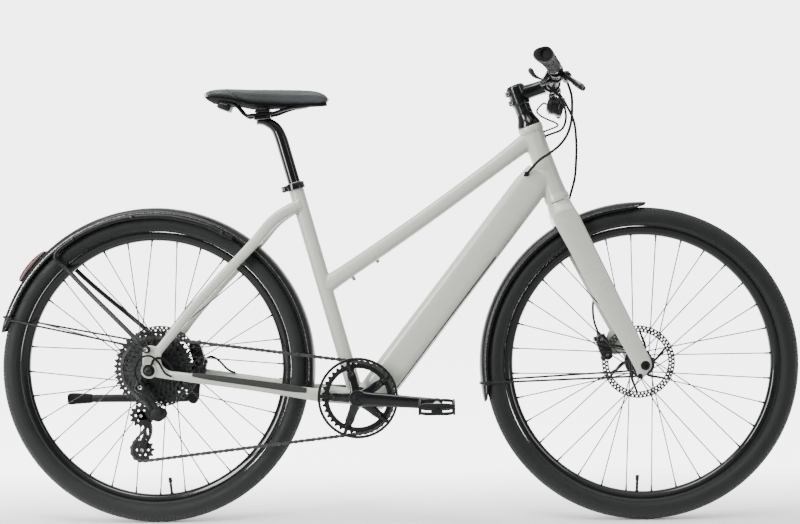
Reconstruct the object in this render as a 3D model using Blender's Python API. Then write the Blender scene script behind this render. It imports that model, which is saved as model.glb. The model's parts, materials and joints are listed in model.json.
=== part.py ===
"""Electric bicycle with a rear hub motor and a battery inside the down tube, modelled at its real size.

Lengths are in millimetres and become metres where a mesh is made. While modelling, x runs forward from
the rear axle, y runs to the rider's left from the centre plane and z runs up from the ground. Steering
parts are placed by their height along the steering axis and their distance in front of it.
"""

import math

import bmesh
import bpy
from mathutils import Matrix, Vector

# Wheels and their places
WHEELBASE = 1060.0
TYRE_RADIUS = 339.0
TYRE_WIDTH = 47.0
TYRE_WALL = 4.0
RIM_OUTER_RADIUS = 298.0
RIM_INNER_RADIUS = RIM_OUTER_RADIUS - 19.5
RIM_WIDTH = 25.0
SPOKES = 32
SPOKE_RADIUS = 0.9
REAR_NIPPLE_TURN = 1.2
FRONT_NIPPLE_TURN = 4.0
HUB_END_Y = 49.7

# Clearances
GAP = 0.3
BEARING_GAP = 0.4

# Frame
BOTTOM_BRACKET_X = 446.0
BOTTOM_BRACKET_Z = 274.0
SHELL_RADIUS = 24.0
SHELL_WIDTH = 73.0
SEAT_ANGLE = 74.35
SEAT_TUBE_SETBACK = 6.6
SEAT_TUBE_LENGTH = 485.0
SEAT_TUBE_RADIUS = 16.5
SEAT_BORE_DEPTH = 250.0
SEATPOST_RADIUS = 13.6
SEATPOST_INSERTION = 150.0
HEAD_ANGLE = 70.0
HEAD_TUBE_LENGTH = 174.5
HEAD_TUBE_RADIUS = 26.0
HEAD_TUBE_WAIST = 23.3
HEADSET_RADIUS = 21.0
FORK_LENGTH = 393.0
FORK_OFFSET = 44.6
STEERER_RADIUS = 14.3
DOWN_TUBE_DEPTH = 74.0
DOWN_TUBE_WIDTH = 58.0
DOWN_TUBE_FOOT_AHEAD = 16.0
DOWN_TUBE_FOOT_DROP = 18.0
DOWN_TUBE_HEAD_DROP = 105.0
TOP_TUBE_DEPTH = 32.0
TOP_TUBE_WIDTH = 34.0
TOP_TUBE_HEIGHT = 248.0
TOP_TUBE_HEAD_DROP = 25.0
TOP_TUBE_SAG = 5.0
SEAT_STAY_HEIGHT = SEAT_TUBE_LENGTH - 49.0
DROPOUT_INNER_Y = 68.0
DROPOUT_THICKNESS = 9.0
BRIDGE_RADIUS = 6.0

# Battery bay, measured along the down tube from its lower end
BAY_START = 45.0
BAY_END = 425.0
BAY_HALF_WIDTH = 23.0
BAY_ROOF = 28.0
DOOR_THICKNESS = 5.0

# Drivetrain
CHAIN_PITCH = 12.7
CHAINRING_TEETH = 38
CHAIN_COG_TEETH = 34
BIG_COG_TEETH = 42
SMALL_COG_TEETH = (28, 24, 21, 18, 15, 13, 11)
COG_SPACING = 4.2
COG_THICKNESS = 1.8
BIG_COG_Y = -30.0
JOCKEY_TEETH = 12
UPPER_JOCKEY = (-27.0, 237.7)
LOWER_JOCKEY = (-25.3, 163.0)
CHAIN_HALF_HEIGHT = 3.9
CHAIN_HALF_WIDTH = 2.9
CHAINLINE = 50.0
CRANK_LENGTH = 170.0
CRANK_ANGLE = 176.2
CRANK_AXLE_RADIUS = 12.0
SPIDER_RADIUS = 55.0
SPIDER_TURN = 33.0
GUARD_RADIUS = 86.5
PEDAL_LENGTH = 76.0
PEDAL_INNER_Y = 91.0
PEDAL_OUTER_Y = 185.0
PEDAL_DEPTH = 26.0
AXLE_RADIUS = 6.0
AXLE_SLEEVE_RADIUS = 9.0
MOTOR_RADIUS = 63.0
FRONT_AXLE_RADIUS = 7.5

# Mudguards
MUDGUARD_RADIUS = 351.0
MUDGUARD_WIDTH = 57.0
MUDGUARD_WALL = 2.0
REAR_MUDGUARD_ARC = (-7.9, 166.5)
FRONT_MUDGUARD_ARC = (88.0, 193.2)
STAY_WIRE_RADIUS = 2.25
CARRIER_TUBE_RADIUS = 5.0

# Brakes
FRONT_ROTOR_RADIUS = 80.0
REAR_ROTOR_RADIUS = 90.0
ROTOR_Y = 39.0
ROTOR_THICKNESS = 2.0
ROTOR_BORE = 22.0
CALIPER_LENGTH = 60.0
CALIPER_DEPTH = 28.0
CALIPER_WIDTH = 22.5
CALIPER_Y = 40.75
REAR_CALIPER_TURN = 17.8
REAR_CALIPER_REACH = 88.0
FRONT_CALIPER_HEIGHT = 56.7
FRONT_CALIPER_AHEAD = -14.6

# Cockpit and saddle
BAR_HALF_WIDTH = 320.0
BAR_RADIUS = 11.1
BAR_CLAMP_RADIUS = 15.9
GRIP_LENGTH = 130.0
GRIP_RADIUS = 15.5
STEM_REACH = 75.0
STEM_RISE = 18.0
SPACER_HEIGHT = 48.0
STEM_CLAMP_HEIGHT = 45.0
LEVER_LENGTH = 127.0
CLAMP_SETBACK = 65.6
CLAMP_RISE = 149.0
SADDLE_LENGTH = 268.0
SADDLE_WIDTH = 162.0
SADDLE_OVERHANG = 124.0
SADDLE_HEIGHT = 53.0
KICKSTAND_LENGTH = 288.0
KICKSTAND_SPLAY = 22.0

MERGE_DISTANCE = 2e-6

X_AXIS = Vector((1.0, 0.0, 0.0))
Y_AXIS = Vector((0.0, 1.0, 0.0))
Z_AXIS = Vector((0.0, 0.0, 1.0))

REAR_AXLE = Vector((0.0, 0.0, TYRE_RADIUS))
FRONT_AXLE = Vector((WHEELBASE, 0.0, TYRE_RADIUS))
CRANK_AXLE = Vector((BOTTOM_BRACKET_X, 0.0, BOTTOM_BRACKET_Z))

STEER_UP = Vector((-math.cos(math.radians(HEAD_ANGLE)), 0.0, math.sin(math.radians(HEAD_ANGLE))))
STEER_AHEAD = Vector((STEER_UP.z, 0.0, -STEER_UP.x))
HEAD_BOTTOM = FORK_LENGTH
HEAD_TOP = FORK_LENGTH + HEAD_TUBE_LENGTH

SEAT_UP = Vector((-math.cos(math.radians(SEAT_ANGLE)), 0.0, math.sin(math.radians(SEAT_ANGLE))))

REAR_REACH = MUDGUARD_RADIUS * math.cos(math.radians(REAR_MUDGUARD_ARC[1]))
ORIGIN = Vector(((REAR_REACH + WHEELBASE + TYRE_RADIUS) / 2.0, 0.0, 0.0))


def point(x, y, z):
    return Vector((float(x), float(y), float(z)))


def steer(height, ahead, y=0.0):
    """Point at a height along the steering axis above the front axle's foot, and a distance ahead of it."""
    return FRONT_AXLE + STEER_UP * height + STEER_AHEAD * (ahead - FORK_OFFSET) + Y_AXIS * y


def seat(height, y=0.0):
    """Point on the seat tube's axis at a height above its foot."""
    return CRANK_AXLE - X_AXIS * SEAT_TUBE_SETBACK + SEAT_UP * height + Y_AXIS * y


def polar(centre, radius, degrees, y=0.0):
    angle = math.radians(degrees)
    return centre + Vector((radius * math.cos(angle), y, radius * math.sin(angle)))


def pitch_radius(teeth):
    return CHAIN_PITCH / 2.0 / math.sin(math.pi / teeth)


# Solids, which are made in world space and later moved onto their joint's axis

def solid(corners, faces):
    """A mesh object in metres from corners in millimetres, with its faces turned outwards."""
    mesh = bpy.data.meshes.new("solid")
    mesh.from_pydata([(corner - ORIGIN) * 0.001 for corner in corners], [], faces)
    work = bmesh.new()
    work.from_mesh(mesh)
    bmesh.ops.recalc_face_normals(work, faces=work.faces)
    work.to_mesh(mesh)
    work.free()
    thing = bpy.data.objects.new("solid", mesh)
    bpy.context.scene.collection.objects.link(thing)
    return thing


def skinned(rings, closed=False):
    """Join rings of corners into a body: capped at both ends, or closed on itself like a tyre."""
    count = len(rings[0])
    corners = [corner for ring in rings for corner in ring]
    faces = []
    for row in range(len(rings) if closed else len(rings) - 1):
        here = row * count
        there = (row + 1) % len(rings) * count
        for step in range(count):
            after = (step + 1) % count
            faces.append((here + step, here + after, there + after, there + step))
    if not closed:
        faces.append(tuple(range(count)))
        faces.append(tuple(range(len(corners) - count, len(corners))))
    return solid(corners, faces)


def circle(centre, radius, first, second, steps):
    turns = [2.0 * math.pi * step / steps for step in range(steps)]
    return [centre + first * (radius * math.cos(turn)) + second * (radius * math.sin(turn)) for turn in turns]


def turned(profile, centre, axis=Y_AXIS, steps=24, closed=False):
    """Turn (radius, distance along the axis) pairs about an axis; a closed profile makes a ring."""
    first = X_AXIS if abs(axis.x) < 0.1 else axis.cross(Y_AXIS).normalized()
    second = axis.cross(first).normalized()
    rings = [circle(centre + axis * along, radius, first, second, steps) for radius, along in profile]
    return skinned(rings, closed)


def rod(centre, radius, low, high, axis=Y_AXIS, steps=16):
    return turned([(radius, low), (radius, high)], centre, axis, steps)


def washer(centre, inner, outer, low, high, axis=Y_AXIS, steps=24):
    profile = [(inner, low), (outer, low), (outer, high), (inner, high)]
    return turned(profile, centre, axis, steps, closed=True)


def oval(half_width, half_height, steps, power):
    """Points of a superellipse: power 2 is an ellipse, and a higher one is squarer."""
    points = []
    for step in range(steps):
        turn = 2.0 * math.pi * (step + 0.5) / steps
        across = math.copysign(abs(math.cos(turn)) ** (2.0 / power), math.cos(turn))
        upward = math.copysign(abs(math.sin(turn)) ** (2.0 / power), math.sin(turn))
        points.append((half_width * across, half_height * upward))
    return points


def tube(path, sizes, steps=12, power=2.0, side=Y_AXIS, closed=False):
    """A body along a path whose sections have the half width and half height of each path point."""
    rings = []
    for place, centre in enumerate(path):
        before = path[place - 1] if closed or place > 0 else centre
        after = path[(place + 1) % len(path)] if closed or place < len(path) - 1 else centre
        along = (after - before).normalized()
        across = (side - along * side.dot(along)).normalized()
        upward = across.cross(along)
        half_width, half_height = sizes[place] if len(sizes) > 1 else sizes[0]
        section = oval(half_width, half_height, steps, power)
        rings.append([centre + across * a + upward * b for a, b in section])
    return skinned(rings, closed)


def plate(outline, low, high, centre=Vector(), along=X_AXIS, upward=Z_AXIS):
    """An outline of (along, upward) points, extruded sideways from low to high."""
    side = upward.cross(along)
    return skinned([[centre + along * a + upward * b + side * depth for a, b in outline]
                    for depth in (low, high)])


def rectangle(length, height, chamfer=0.0):
    a = length / 2.0
    b = height / 2.0
    if chamfer == 0.0:
        return [(-a, -b), (a, -b), (a, b), (-a, b)]
    return [(chamfer - a, -b), (a - chamfer, -b), (a, chamfer - b), (a, b - chamfer),
            (a - chamfer, b), (chamfer - a, b), (-a, b - chamfer), (-a, chamfer - b)]


def block(centre, length, width, height, chamfer=0.0, along=X_AXIS, upward=Z_AXIS):
    """A block centred on a point: length along, height upward and width sideways."""
    return plate(rectangle(length, height, chamfer), -width / 2.0, width / 2.0, centre, along, upward)


def hull(corners):
    """The convex body round a set of corners."""
    work = bmesh.new()
    for corner in corners:
        work.verts.new((corner - ORIGIN) * 0.001)
    result = bmesh.ops.convex_hull(work, input=work.verts)
    inside = {item for item in result["geom_interior"] if isinstance(item, bmesh.types.BMVert)}
    bmesh.ops.delete(work, geom=list(inside), context="VERTS")
    bmesh.ops.dissolve_limit(work, angle_limit=math.radians(0.5), verts=work.verts, edges=work.edges)
    bmesh.ops.recalc_face_normals(work, faces=work.faces)
    mesh = bpy.data.meshes.new("hull")
    work.to_mesh(mesh)
    work.free()
    thing = bpy.data.objects.new("hull", mesh)
    bpy.context.scene.collection.objects.link(thing)
    return thing


def discs(*places, steps=16):
    """Corners of short round discs, each given as centre, radius, low and high along y."""
    corners = []
    for centre, radius, low, high in places:
        for depth in (low, high):
            corners += circle(Vector((centre.x, depth, centre.z)), radius, X_AXIS, Z_AXIS, steps)
    return corners


def combine(base, others, operation):
    """Apply exact Booleans to the base and remove the other bodies."""
    for other in others:
        modifier = base.modifiers.new(operation, "BOOLEAN")
        modifier.operation = operation
        modifier.object = other
    evaluated = base.evaluated_get(bpy.context.evaluated_depsgraph_get())
    mesh = bpy.data.meshes.new_from_object(evaluated)
    tidy = bmesh.new()
    tidy.from_mesh(mesh)
    bmesh.ops.remove_doubles(tidy, verts=tidy.verts, dist=MERGE_DISTANCE)
    bmesh.ops.dissolve_degenerate(tidy, edges=tidy.edges, dist=MERGE_DISTANCE)
    tidy.to_mesh(mesh)
    tidy.free()
    base.modifiers.clear()
    base.data = mesh
    for other in others:
        bpy.data.objects.remove(other)
    return base


def weld(base, *others):
    return combine(base, others, "UNION")


def carve(base, *others):
    return combine(base, others, "DIFFERENCE")


def shared(base, other):
    return combine(base, [other], "INTERSECT")


def joined(bodies):
    """Several bodies that don't touch, gathered in one mesh so that one Boolean can use them all."""
    work = bmesh.new()
    for body in bodies:
        work.from_mesh(body.data)
    base = bodies[0]
    work.to_mesh(base.data)
    work.free()
    for body in bodies[1:]:
        bpy.data.objects.remove(body)
    return base


def smooth_route(points, spacing):
    """Points at an even spacing along a smooth curve through the route's own points."""
    ends = [points[0] * 2.0 - points[1]] + points + [points[-1] * 2.0 - points[-2]]
    fine = []
    for place in range(1, len(ends) - 2):
        p0, p1, p2, p3 = ends[place - 1:place + 3]
        for step in range(16):
            t = step / 16.0
            fine.append(0.5 * (p1 * 2.0 + (p2 - p0) * t + (p0 * 2.0 - p1 * 5.0 + p2 * 4.0 - p3) * t ** 2
                               + (p1 * 3.0 - p0 - p2 * 3.0 + p3) * t ** 3))
    fine.append(points[-1])
    length = sum((b - a).length for a, b in zip(fine, fine[1:]))
    stretch = length / max(2, round(length / spacing))
    route = [fine[0]]
    travelled = 0.0
    for a, b in zip(fine, fine[1:]):
        travelled += (b - a).length
        if travelled >= stretch * len(route) - 1e-6 and (points[-1] - b).length > stretch / 2.0:
            route.append(b)
    return route + [points[-1]]


def cable(points, radius):
    """A round flexible hose or cable along a smooth route, as a bevelled curve with filled caps."""
    route = smooth_route([point(*place) for place in points], 6.4 * radius)
    curve = bpy.data.curves.new("cable", "CURVE")
    curve.dimensions = "3D"
    curve.bevel_depth = radius * 0.001
    curve.bevel_resolution = 2
    curve.use_fill_caps = True
    curve.resolution_u = 1
    spline = curve.splines.new("POLY")
    spline.points.add(len(route) - 1)
    for target, place in zip(spline.points, route):
        target.co = ((place - ORIGIN) * 0.001).to_4d()
    thing = bpy.data.objects.new("cable", curve)
    bpy.context.scene.collection.objects.link(thing)
    return thing


# Materials

def material(name, colour, roughness, metallic=0.0):
    made = bpy.data.materials.new(name)
    made.use_nodes = True
    shader = made.node_tree.nodes["Principled BSDF"]
    shader.inputs["Base Color"].default_value = (*colour, 1.0)
    shader.inputs["Roughness"].default_value = roughness
    shader.inputs["Metallic"].default_value = metallic
    made.diffuse_color = (*colour, 1.0)
    return made


def make_materials():
    return {
        "paint": material("pale_satin_paint", (0.68, 0.70, 0.66), 0.38),
        "black": material("black_satin_paint", (0.02, 0.02, 0.022), 0.4),
        "plastic": material("black_plastic", (0.025, 0.025, 0.027), 0.5),
        "anodised": material("black_anodised_aluminium", (0.03, 0.03, 0.033), 0.35, 0.9),
        "steel": material("plated_steel", (0.42, 0.42, 0.43), 0.32, 1.0),
        "rotor": material("darkened_rotor_steel", (0.16, 0.16, 0.17), 0.35, 1.0),
        "tyre": material("tyre_rubber", (0.018, 0.018, 0.019), 0.85),
        "rubber": material("black_rubber", (0.02, 0.02, 0.021), 0.8),
        "saddle": material("saddle_cover", (0.022, 0.022, 0.024), 0.55),
        "lens": material("dark_red_lens", (0.16, 0.012, 0.015), 0.2),
    }


# Wheels

WHEEL_STEPS = 32
TYRE_ROUND_SHARE = 23.5 / 41.0


def tyre(axle):
    """Open-bottomed casing: round outside, an inner wall, and two beads that stand on the rim."""
    half = TYRE_WIDTH / 2.0
    tall = (TYRE_RADIUS - RIM_OUTER_RADIUS) * TYRE_ROUND_SHARE
    middle = TYRE_RADIUS - tall
    bead = RIM_OUTER_RADIUS + GAP
    bead_half = RIM_WIDTH / 2.0 - 6.5
    outside = [(middle + tall * math.cos(math.radians(turn)), half * math.sin(math.radians(turn)))
               for turn in (-116, -78, -40, 0, 40, 78, 116)]
    inside = [(middle + (tall - TYRE_WALL) * math.cos(math.radians(turn)),
               (half - TYRE_WALL) * math.sin(math.radians(turn))) for turn in (50, -50)]
    profile = outside + [(bead, bead_half)] + inside + [(bead, -bead_half)]
    return turned(profile, axle, steps=WHEEL_STEPS, closed=True)


def rim(axle):
    half = RIM_WIDTH / 2.0
    shoulder = RIM_OUTER_RADIUS - 9.0
    profile = [(RIM_OUTER_RADIUS, -half), (RIM_OUTER_RADIUS, half), (shoulder, half),
               (RIM_INNER_RADIUS, half * 0.6), (RIM_INNER_RADIUS, -half * 0.6), (shoulder, -half)]
    return turned(profile, axle, steps=WHEEL_STEPS, closed=True)


FLANGE_HALF = 2.0


def spoke_reach(degrees):
    """Distance from the axle to a spoke's end, just inside the faceted rim at that angle."""
    facet = 360.0 / WHEEL_STEPS
    from_middle = math.radians(degrees % facet - facet / 2.0)
    return RIM_INNER_RADIUS * math.cos(math.radians(facet / 2.0)) / math.cos(from_middle) - 0.5


def spokes(axle, flange_radius, flange_y, lacing, turn):
    """Spokes from both flanges to the rim, each leaning forward or back by the lacing."""
    made = []
    for place in range(SPOKES):
        nipple = turn + 360.0 / SPOKES * place
        side = -1.0 if place % 2 == 0 else 1.0
        lean = 1.0 if place // 2 % 2 == 0 else -1.0
        head = polar(axle, flange_radius, nipple + lean * lacing, side * (flange_y + lean * (FLANGE_HALF + 0.4)))
        foot = polar(axle, spoke_reach(nipple), nipple)
        along = (foot - head).normalized()
        across = Y_AXIS.cross(along).normalized()
        made.append(skinned([circle(end, SPOKE_RADIUS, along.cross(across) * -side * lean, across, 3)
                             for end in (head, foot)]))
    return joined(made)


def rotor(axle, radius):
    """Brake disc with a drilled rim and slanted arms, which fits over its seat on the hub."""
    low = ROTOR_Y - ROTOR_THICKNESS / 2.0
    high = ROTOR_Y + ROTOR_THICKNESS / 2.0
    disc = washer(axle, ROTOR_BORE, radius, low, high, steps=20)
    outer = radius - 15.0
    inner = ROTOR_BORE + 8.0
    windows = []
    for arm in range(5):
        turn = 72.0 * arm
        corners = [(outer, turn), (outer, turn + 23.0), (outer, turn + 46.0), (inner, turn + 18.0),
                   (inner, turn - 18.0)]
        outline = [(polar(Vector(), r, degrees).x, polar(Vector(), r, degrees).z) for r, degrees in corners]
        windows.append(plate(outline, low - 2.0, high + 2.0, axle))
    return carve(disc, joined(windows))


def rotor_seat(shoulder):
    """Profile points of the hub end that carries the rotor, from its shoulder outwards."""
    seat_radius = ROTOR_BORE - GAP
    return [(seat_radius, shoulder), (seat_radius, ROTOR_Y + 3.0)]


def front_hub():
    bore = FRONT_AXLE_RADIUS + GAP
    flange = 25.0
    flange_y = 28.0
    low = flange_y - FLANGE_HALF
    high = flange_y + FLANGE_HALF
    profile = [(bore, -HUB_END_Y), (10.0, -HUB_END_Y), (14.5, -high), (flange, -high), (flange, -low),
               (14.5, -low), (14.5, low), (flange, low), (flange, high)]
    profile += rotor_seat(high + 1.0) + [(13.0, ROTOR_Y + 3.0), (10.0, HUB_END_Y), (bore, HUB_END_Y)]
    shell = turned(profile, FRONT_AXLE, steps=14, closed=True)
    return weld(shell, spokes(FRONT_AXLE, flange - 4.0, flange_y, 67.5, FRONT_NIPPLE_TURN))


def rear_hub():
    """Hub motor shell: a hollow drum that turns on the axle's sleeve, with a flange at each end."""
    bore = AXLE_SLEEVE_RADIUS + GAP
    flange = MOTOR_RADIUS + 7.0
    inside = MOTOR_RADIUS - 7.0
    profile = [(bore, -27.0), (flange, -27.0), (flange, -23.0), (MOTOR_RADIUS, -23.0), (MOTOR_RADIUS, 23.0),
               (flange, 23.0), (flange, 27.0), (MOTOR_RADIUS - 5.0, 28.0), (30.0, 31.0)]
    profile += rotor_seat(31.5) + [(bore, ROTOR_Y + 3.0), (bore, 27.0), (inside, 24.0), (inside, -22.5),
                                   (bore, -22.5)]
    shell = turned(profile, REAR_AXLE, steps=16, closed=True)
    return weld(shell, spokes(REAR_AXLE, flange - 3.5, 25.0, 22.5, REAR_NIPPLE_TURN))


def rear_axle():
    """Fixed axle with a wider sleeve for the bearings, and a washer and a nut outside each dropout."""
    inner = DROPOUT_INNER_Y - GAP
    outer = DROPOUT_INNER_Y + DROPOUT_THICKNESS + GAP
    half = [(AXLE_SLEEVE_RADIUS, inner), (AXLE_RADIUS, inner), (AXLE_RADIUS, outer), (16.0, outer),
            (16.0, outer + 2.0), (9.5, outer + 2.0), (9.5, outer + 9.0), (AXLE_RADIUS, outer + 9.0),
            (AXLE_RADIUS, outer + 13.0)]
    profile = [(radius, -along) for radius, along in reversed(half)] + half
    return turned(profile, REAR_AXLE, steps=8)


def front_axle():
    """Through axle with a head on each side of the fork."""
    head = 63.3
    profile = [(10.0, -head - 3.0), (10.0, -head), (FRONT_AXLE_RADIUS, -head), (FRONT_AXLE_RADIUS, head),
               (10.0, head), (10.0, head + 3.0)]
    return turned(profile, FRONT_AXLE, steps=14)


# Frame

DOWN_TUBE_FOOT = CRANK_AXLE + point(DOWN_TUBE_FOOT_AHEAD, 0.0, -DOWN_TUBE_FOOT_DROP)
DOWN_TUBE_HEAD = steer(HEAD_TOP - DOWN_TUBE_HEAD_DROP, -15.0)
DOWN_TUBE_LENGTH = (DOWN_TUBE_HEAD - DOWN_TUBE_FOOT).length
DOWN_TUBE_ALONG = (DOWN_TUBE_HEAD - DOWN_TUBE_FOOT).normalized()
DOWN_TUBE_UNDER = Y_AXIS.cross(DOWN_TUBE_ALONG)


def down(along, under, y=0.0):
    """Point at a distance up the down tube from its foot, and below its axis."""
    return DOWN_TUBE_FOOT + DOWN_TUBE_ALONG * along + DOWN_TUBE_UNDER * under + Y_AXIS * y


def down_tube():
    half_depth = DOWN_TUBE_DEPTH / 2.0
    half_width = DOWN_TUBE_WIDTH / 2.0
    places = [0.0, BAY_START - 10.0, DOWN_TUBE_LENGTH * 0.5, DOWN_TUBE_LENGTH - 70.0, DOWN_TUBE_LENGTH]
    sizes = [(half_width - 2.0, half_depth - 8.0), (half_width, half_depth), (half_width, half_depth),
             (half_width - 2.0, half_depth), (half_width - 5.0, half_depth - 5.0)]
    return tube([down(place, 0.0) for place in places], sizes, steps=16, power=2.6)


def top_tube():
    start = seat(TOP_TUBE_HEIGHT)
    end = steer(HEAD_TOP - TOP_TUBE_HEAD_DROP, -4.0)
    path = []
    for share in (0.0, 0.25, 0.5, 0.75, 1.0):
        sag = TOP_TUBE_SAG * math.sin(math.pi * share)
        path.append(start.lerp(end, share) - Z_AXIS * sag)
    depth = TOP_TUBE_DEPTH / 2.0
    width = TOP_TUBE_WIDTH / 2.0
    sizes = [(width - 1.5, depth + 3.0), (width, depth), (width, depth - 0.5), (width, depth),
             (width, depth + 3.0)]
    return tube(path, sizes, steps=12, power=2.4)


def head_tube():
    share = HEAD_TUBE_LENGTH
    profile = [(HEAD_TUBE_RADIUS + 0.5, 0.0), (HEAD_TUBE_RADIUS, 0.055 * share), (HEAD_TUBE_WAIST + 0.6, 0.2 * share),
               (HEAD_TUBE_WAIST, 0.5 * share), (HEAD_TUBE_WAIST + 0.4, 0.77 * share),
               (HEAD_TUBE_RADIUS - 0.5, 0.93 * share), (HEAD_TUBE_RADIUS, share)]
    return turned(profile, steer(HEAD_BOTTOM, 0.0), STEER_UP, steps=18)


CHAINSTAY_Y = 72.5


def chainstay_path(side):
    places = [(48.0, CHAINSTAY_Y, 327.0), (62.0, CHAINSTAY_Y - 0.7, 326.0), (130.0, 66.0, 315.5),
              (230.0, 54.0, 301.0), (340.0, 40.5, 282.5), (380.0, 35.0, 277.0), (432.0, 25.0, 272.0)]
    return [point(x, side * y, z) for x, y, z in places]


def chainstay(side, allowance=0.0):
    sizes = [(7.5, 9.0), (8.0, 9.5), (8.5, 9.5), (8.5, 11.0), (8.5, 13.5), (9.0, 14.5), (10.0, 15.0)]
    sizes = [(width + allowance, height + allowance) for width, height in sizes]
    return tube(chainstay_path(side), sizes, steps=8, power=2.5)


def seat_stay_path(side):
    foot = point(10.0, 0.0, 368.0)
    reach = seat(SEAT_STAY_HEIGHT) - foot
    inward = Y_AXIS.cross(reach).normalized()
    path = []
    for share, bow, y in ((0.0, 0.0, 71.5), (0.1069, -4.6, 65.0), (0.3174, -12.4, 55.0), (0.686, -12.3, 41.0),
                          (0.8633, -15.5, 30.0), (1.0, 0.0, 12.0)):
        path.append(foot + reach * share + inward * bow + Y_AXIS * side * y)
    return path


def seat_stay(side):
    sizes = [(6.5, 9.5), (7.0, 10.0), (7.0, 10.5), (7.5, 11.5), (8.0, 12.5), (8.0, 12.5)]
    return tube(seat_stay_path(side), sizes, steps=8, power=2.4)


def stay_bridge():
    """Place and half length of the rod between the seat stays, just outside the mudguard."""
    distance = MUDGUARD_RADIUS + GAP + BRIDGE_RADIUS
    path = seat_stay_path(1.0)
    for low, high in zip(path, path[1:]):
        inner = math.hypot(low.x - REAR_AXLE.x, low.z - REAR_AXLE.z)
        outer = math.hypot(high.x - REAR_AXLE.x, high.z - REAR_AXLE.z)
        if inner <= distance <= outer:
            place = low.lerp(high, (distance - inner) / (outer - inner))
            angle = math.degrees(math.atan2(place.z - REAR_AXLE.z, place.x - REAR_AXLE.x))
            return polar(REAR_AXLE, distance, angle), place.y
    raise ValueError("the seat stays don't pass the mudguard")


def dropout(side):
    """Flat plate between the stays' ends, with the axle hole and an eye for the mudguard's fittings."""
    outline = [(-15.0, 344.0), (-13.0, 361.0), (-12.0, 388.0), (-4.0, 392.0), (14.0, 390.0), (27.0, 378.0),
               (25.0, 360.0), (30.0, 346.0), (44.0, 337.0), (60.0, 334.0), (60.0, 319.0), (30.0, 322.0),
               (8.0, 327.0), (-5.0, 331.0)]
    low, high = sorted((side * DROPOUT_INNER_Y, side * (DROPOUT_INNER_Y + DROPOUT_THICKNESS)))
    return plate(outline, low, high)


def battery_box(length_gap, low, high, half_width):
    """Block inside the battery bay, from a depth above the down tube's axis to a depth below it."""
    length = BAY_END - BAY_START - 2.0 * length_gap
    centre = down((BAY_START + BAY_END) / 2.0, (low + high) / 2.0)
    return block(centre, length, 2.0 * half_width, high - low, 0.0, DOWN_TUBE_ALONG, DOWN_TUBE_UNDER)


DOOR_LEVEL = DOWN_TUBE_DEPTH / 2.0 - DOOR_THICKNESS
PORT = down(565.0, -8.0, -20.0)
PORT_ALONG = point(0.5, -0.75, 0.45).normalized()
GROMMET_HEIGHT = HEAD_TOP - 22.0


def make_frame():
    """Welded main frame: tubes, stays, bridges and dropouts in one body, then its bores and openings."""
    bridge, bridge_half = stay_bridge()
    low_bridge = point(363.0, 0.0, 283.0)
    frame = weld(
        down_tube(), top_tube(), head_tube(),
        turned([(SEAT_TUBE_RADIUS, 0.0), (SEAT_TUBE_RADIUS, SEAT_TUBE_LENGTH)], seat(0.0), SEAT_UP, 16),
        rod(CRANK_AXLE, SHELL_RADIUS, -SHELL_WIDTH / 2.0, SHELL_WIDTH / 2.0, steps=16),
        chainstay(-1.0), chainstay(1.0), seat_stay(-1.0), seat_stay(1.0), dropout(-1.0), dropout(1.0),
        rod(bridge, BRIDGE_RADIUS, -bridge_half, bridge_half, steps=6), rod(low_bridge, 7.0, -35.0, 35.0, steps=6))
    bore_bottom = SEAT_TUBE_LENGTH - SEAT_BORE_DEPTH
    bay_top = DOWN_TUBE_DEPTH
    axle_holes = joined([rod(REAR_AXLE, AXLE_RADIUS + GAP, side * 73.0 - 9.0, side * 73.0 + 9.0, steps=8)
                         for side in (-1.0, 1.0)])
    grommet = steer(GROMMET_HEIGHT, 0.0)
    return carve(
        frame,
        rod(steer(HEAD_BOTTOM, 0.0), HEADSET_RADIUS + GAP, -2.0, HEAD_TUBE_LENGTH + 2.0, STEER_UP, 16),
        turned([(SEATPOST_RADIUS + GAP, bore_bottom), (SEATPOST_RADIUS + GAP, SEAT_TUBE_LENGTH + 2.0)],
               seat(0.0), SEAT_UP, 16),
        rod(CRANK_AXLE, SHELL_RADIUS - 3.7, -SHELL_WIDTH / 2.0 - 2.0, SHELL_WIDTH / 2.0 + 2.0, steps=16),
        axle_holes,
        battery_box(0.0, -BAY_ROOF, bay_top, BAY_HALF_WIDTH),
        rod(PORT, 4.5, 0.0, 50.0, PORT_ALONG, 8),
        joined([rod(grommet - STEER_UP * drop, 4.0, 12.0, 40.0, STEER_AHEAD, 8) for drop in (0.0, 10.0)]))


def battery_pack():
    return battery_box(GAP, GAP - BAY_ROOF, DOOR_LEVEL - GAP, BAY_HALF_WIDTH - GAP)


def battery_door():
    """Cover that completes the down tube's underside over the bay."""
    return shared(battery_box(GAP, DOOR_LEVEL, DOWN_TUBE_DEPTH, BAY_HALF_WIDTH - GAP), down_tube())


def headset_bearing(low, high):
    return washer(steer(HEAD_BOTTOM, 0.0), STEERER_RADIUS + BEARING_GAP, HEADSET_RADIUS, low, high, STEER_UP, 16)


def bottom_bracket():
    """Bearing cartridge with a cup flange at each end of the shell."""
    bore = CRANK_AXLE_RADIUS + GAP
    half = SHELL_WIDTH / 2.0 + GAP
    seat_radius = SHELL_RADIUS - 4.0
    profile = [(bore, -half - 4.0), (SHELL_RADIUS - 1.5, -half - 4.0), (SHELL_RADIUS - 1.5, -half),
               (seat_radius, -half), (seat_radius, half), (SHELL_RADIUS - 1.5, half),
               (SHELL_RADIUS - 1.5, half + 4.0), (bore, half + 4.0)]
    return turned(profile, CRANK_AXLE, steps=16, closed=True)


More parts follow.
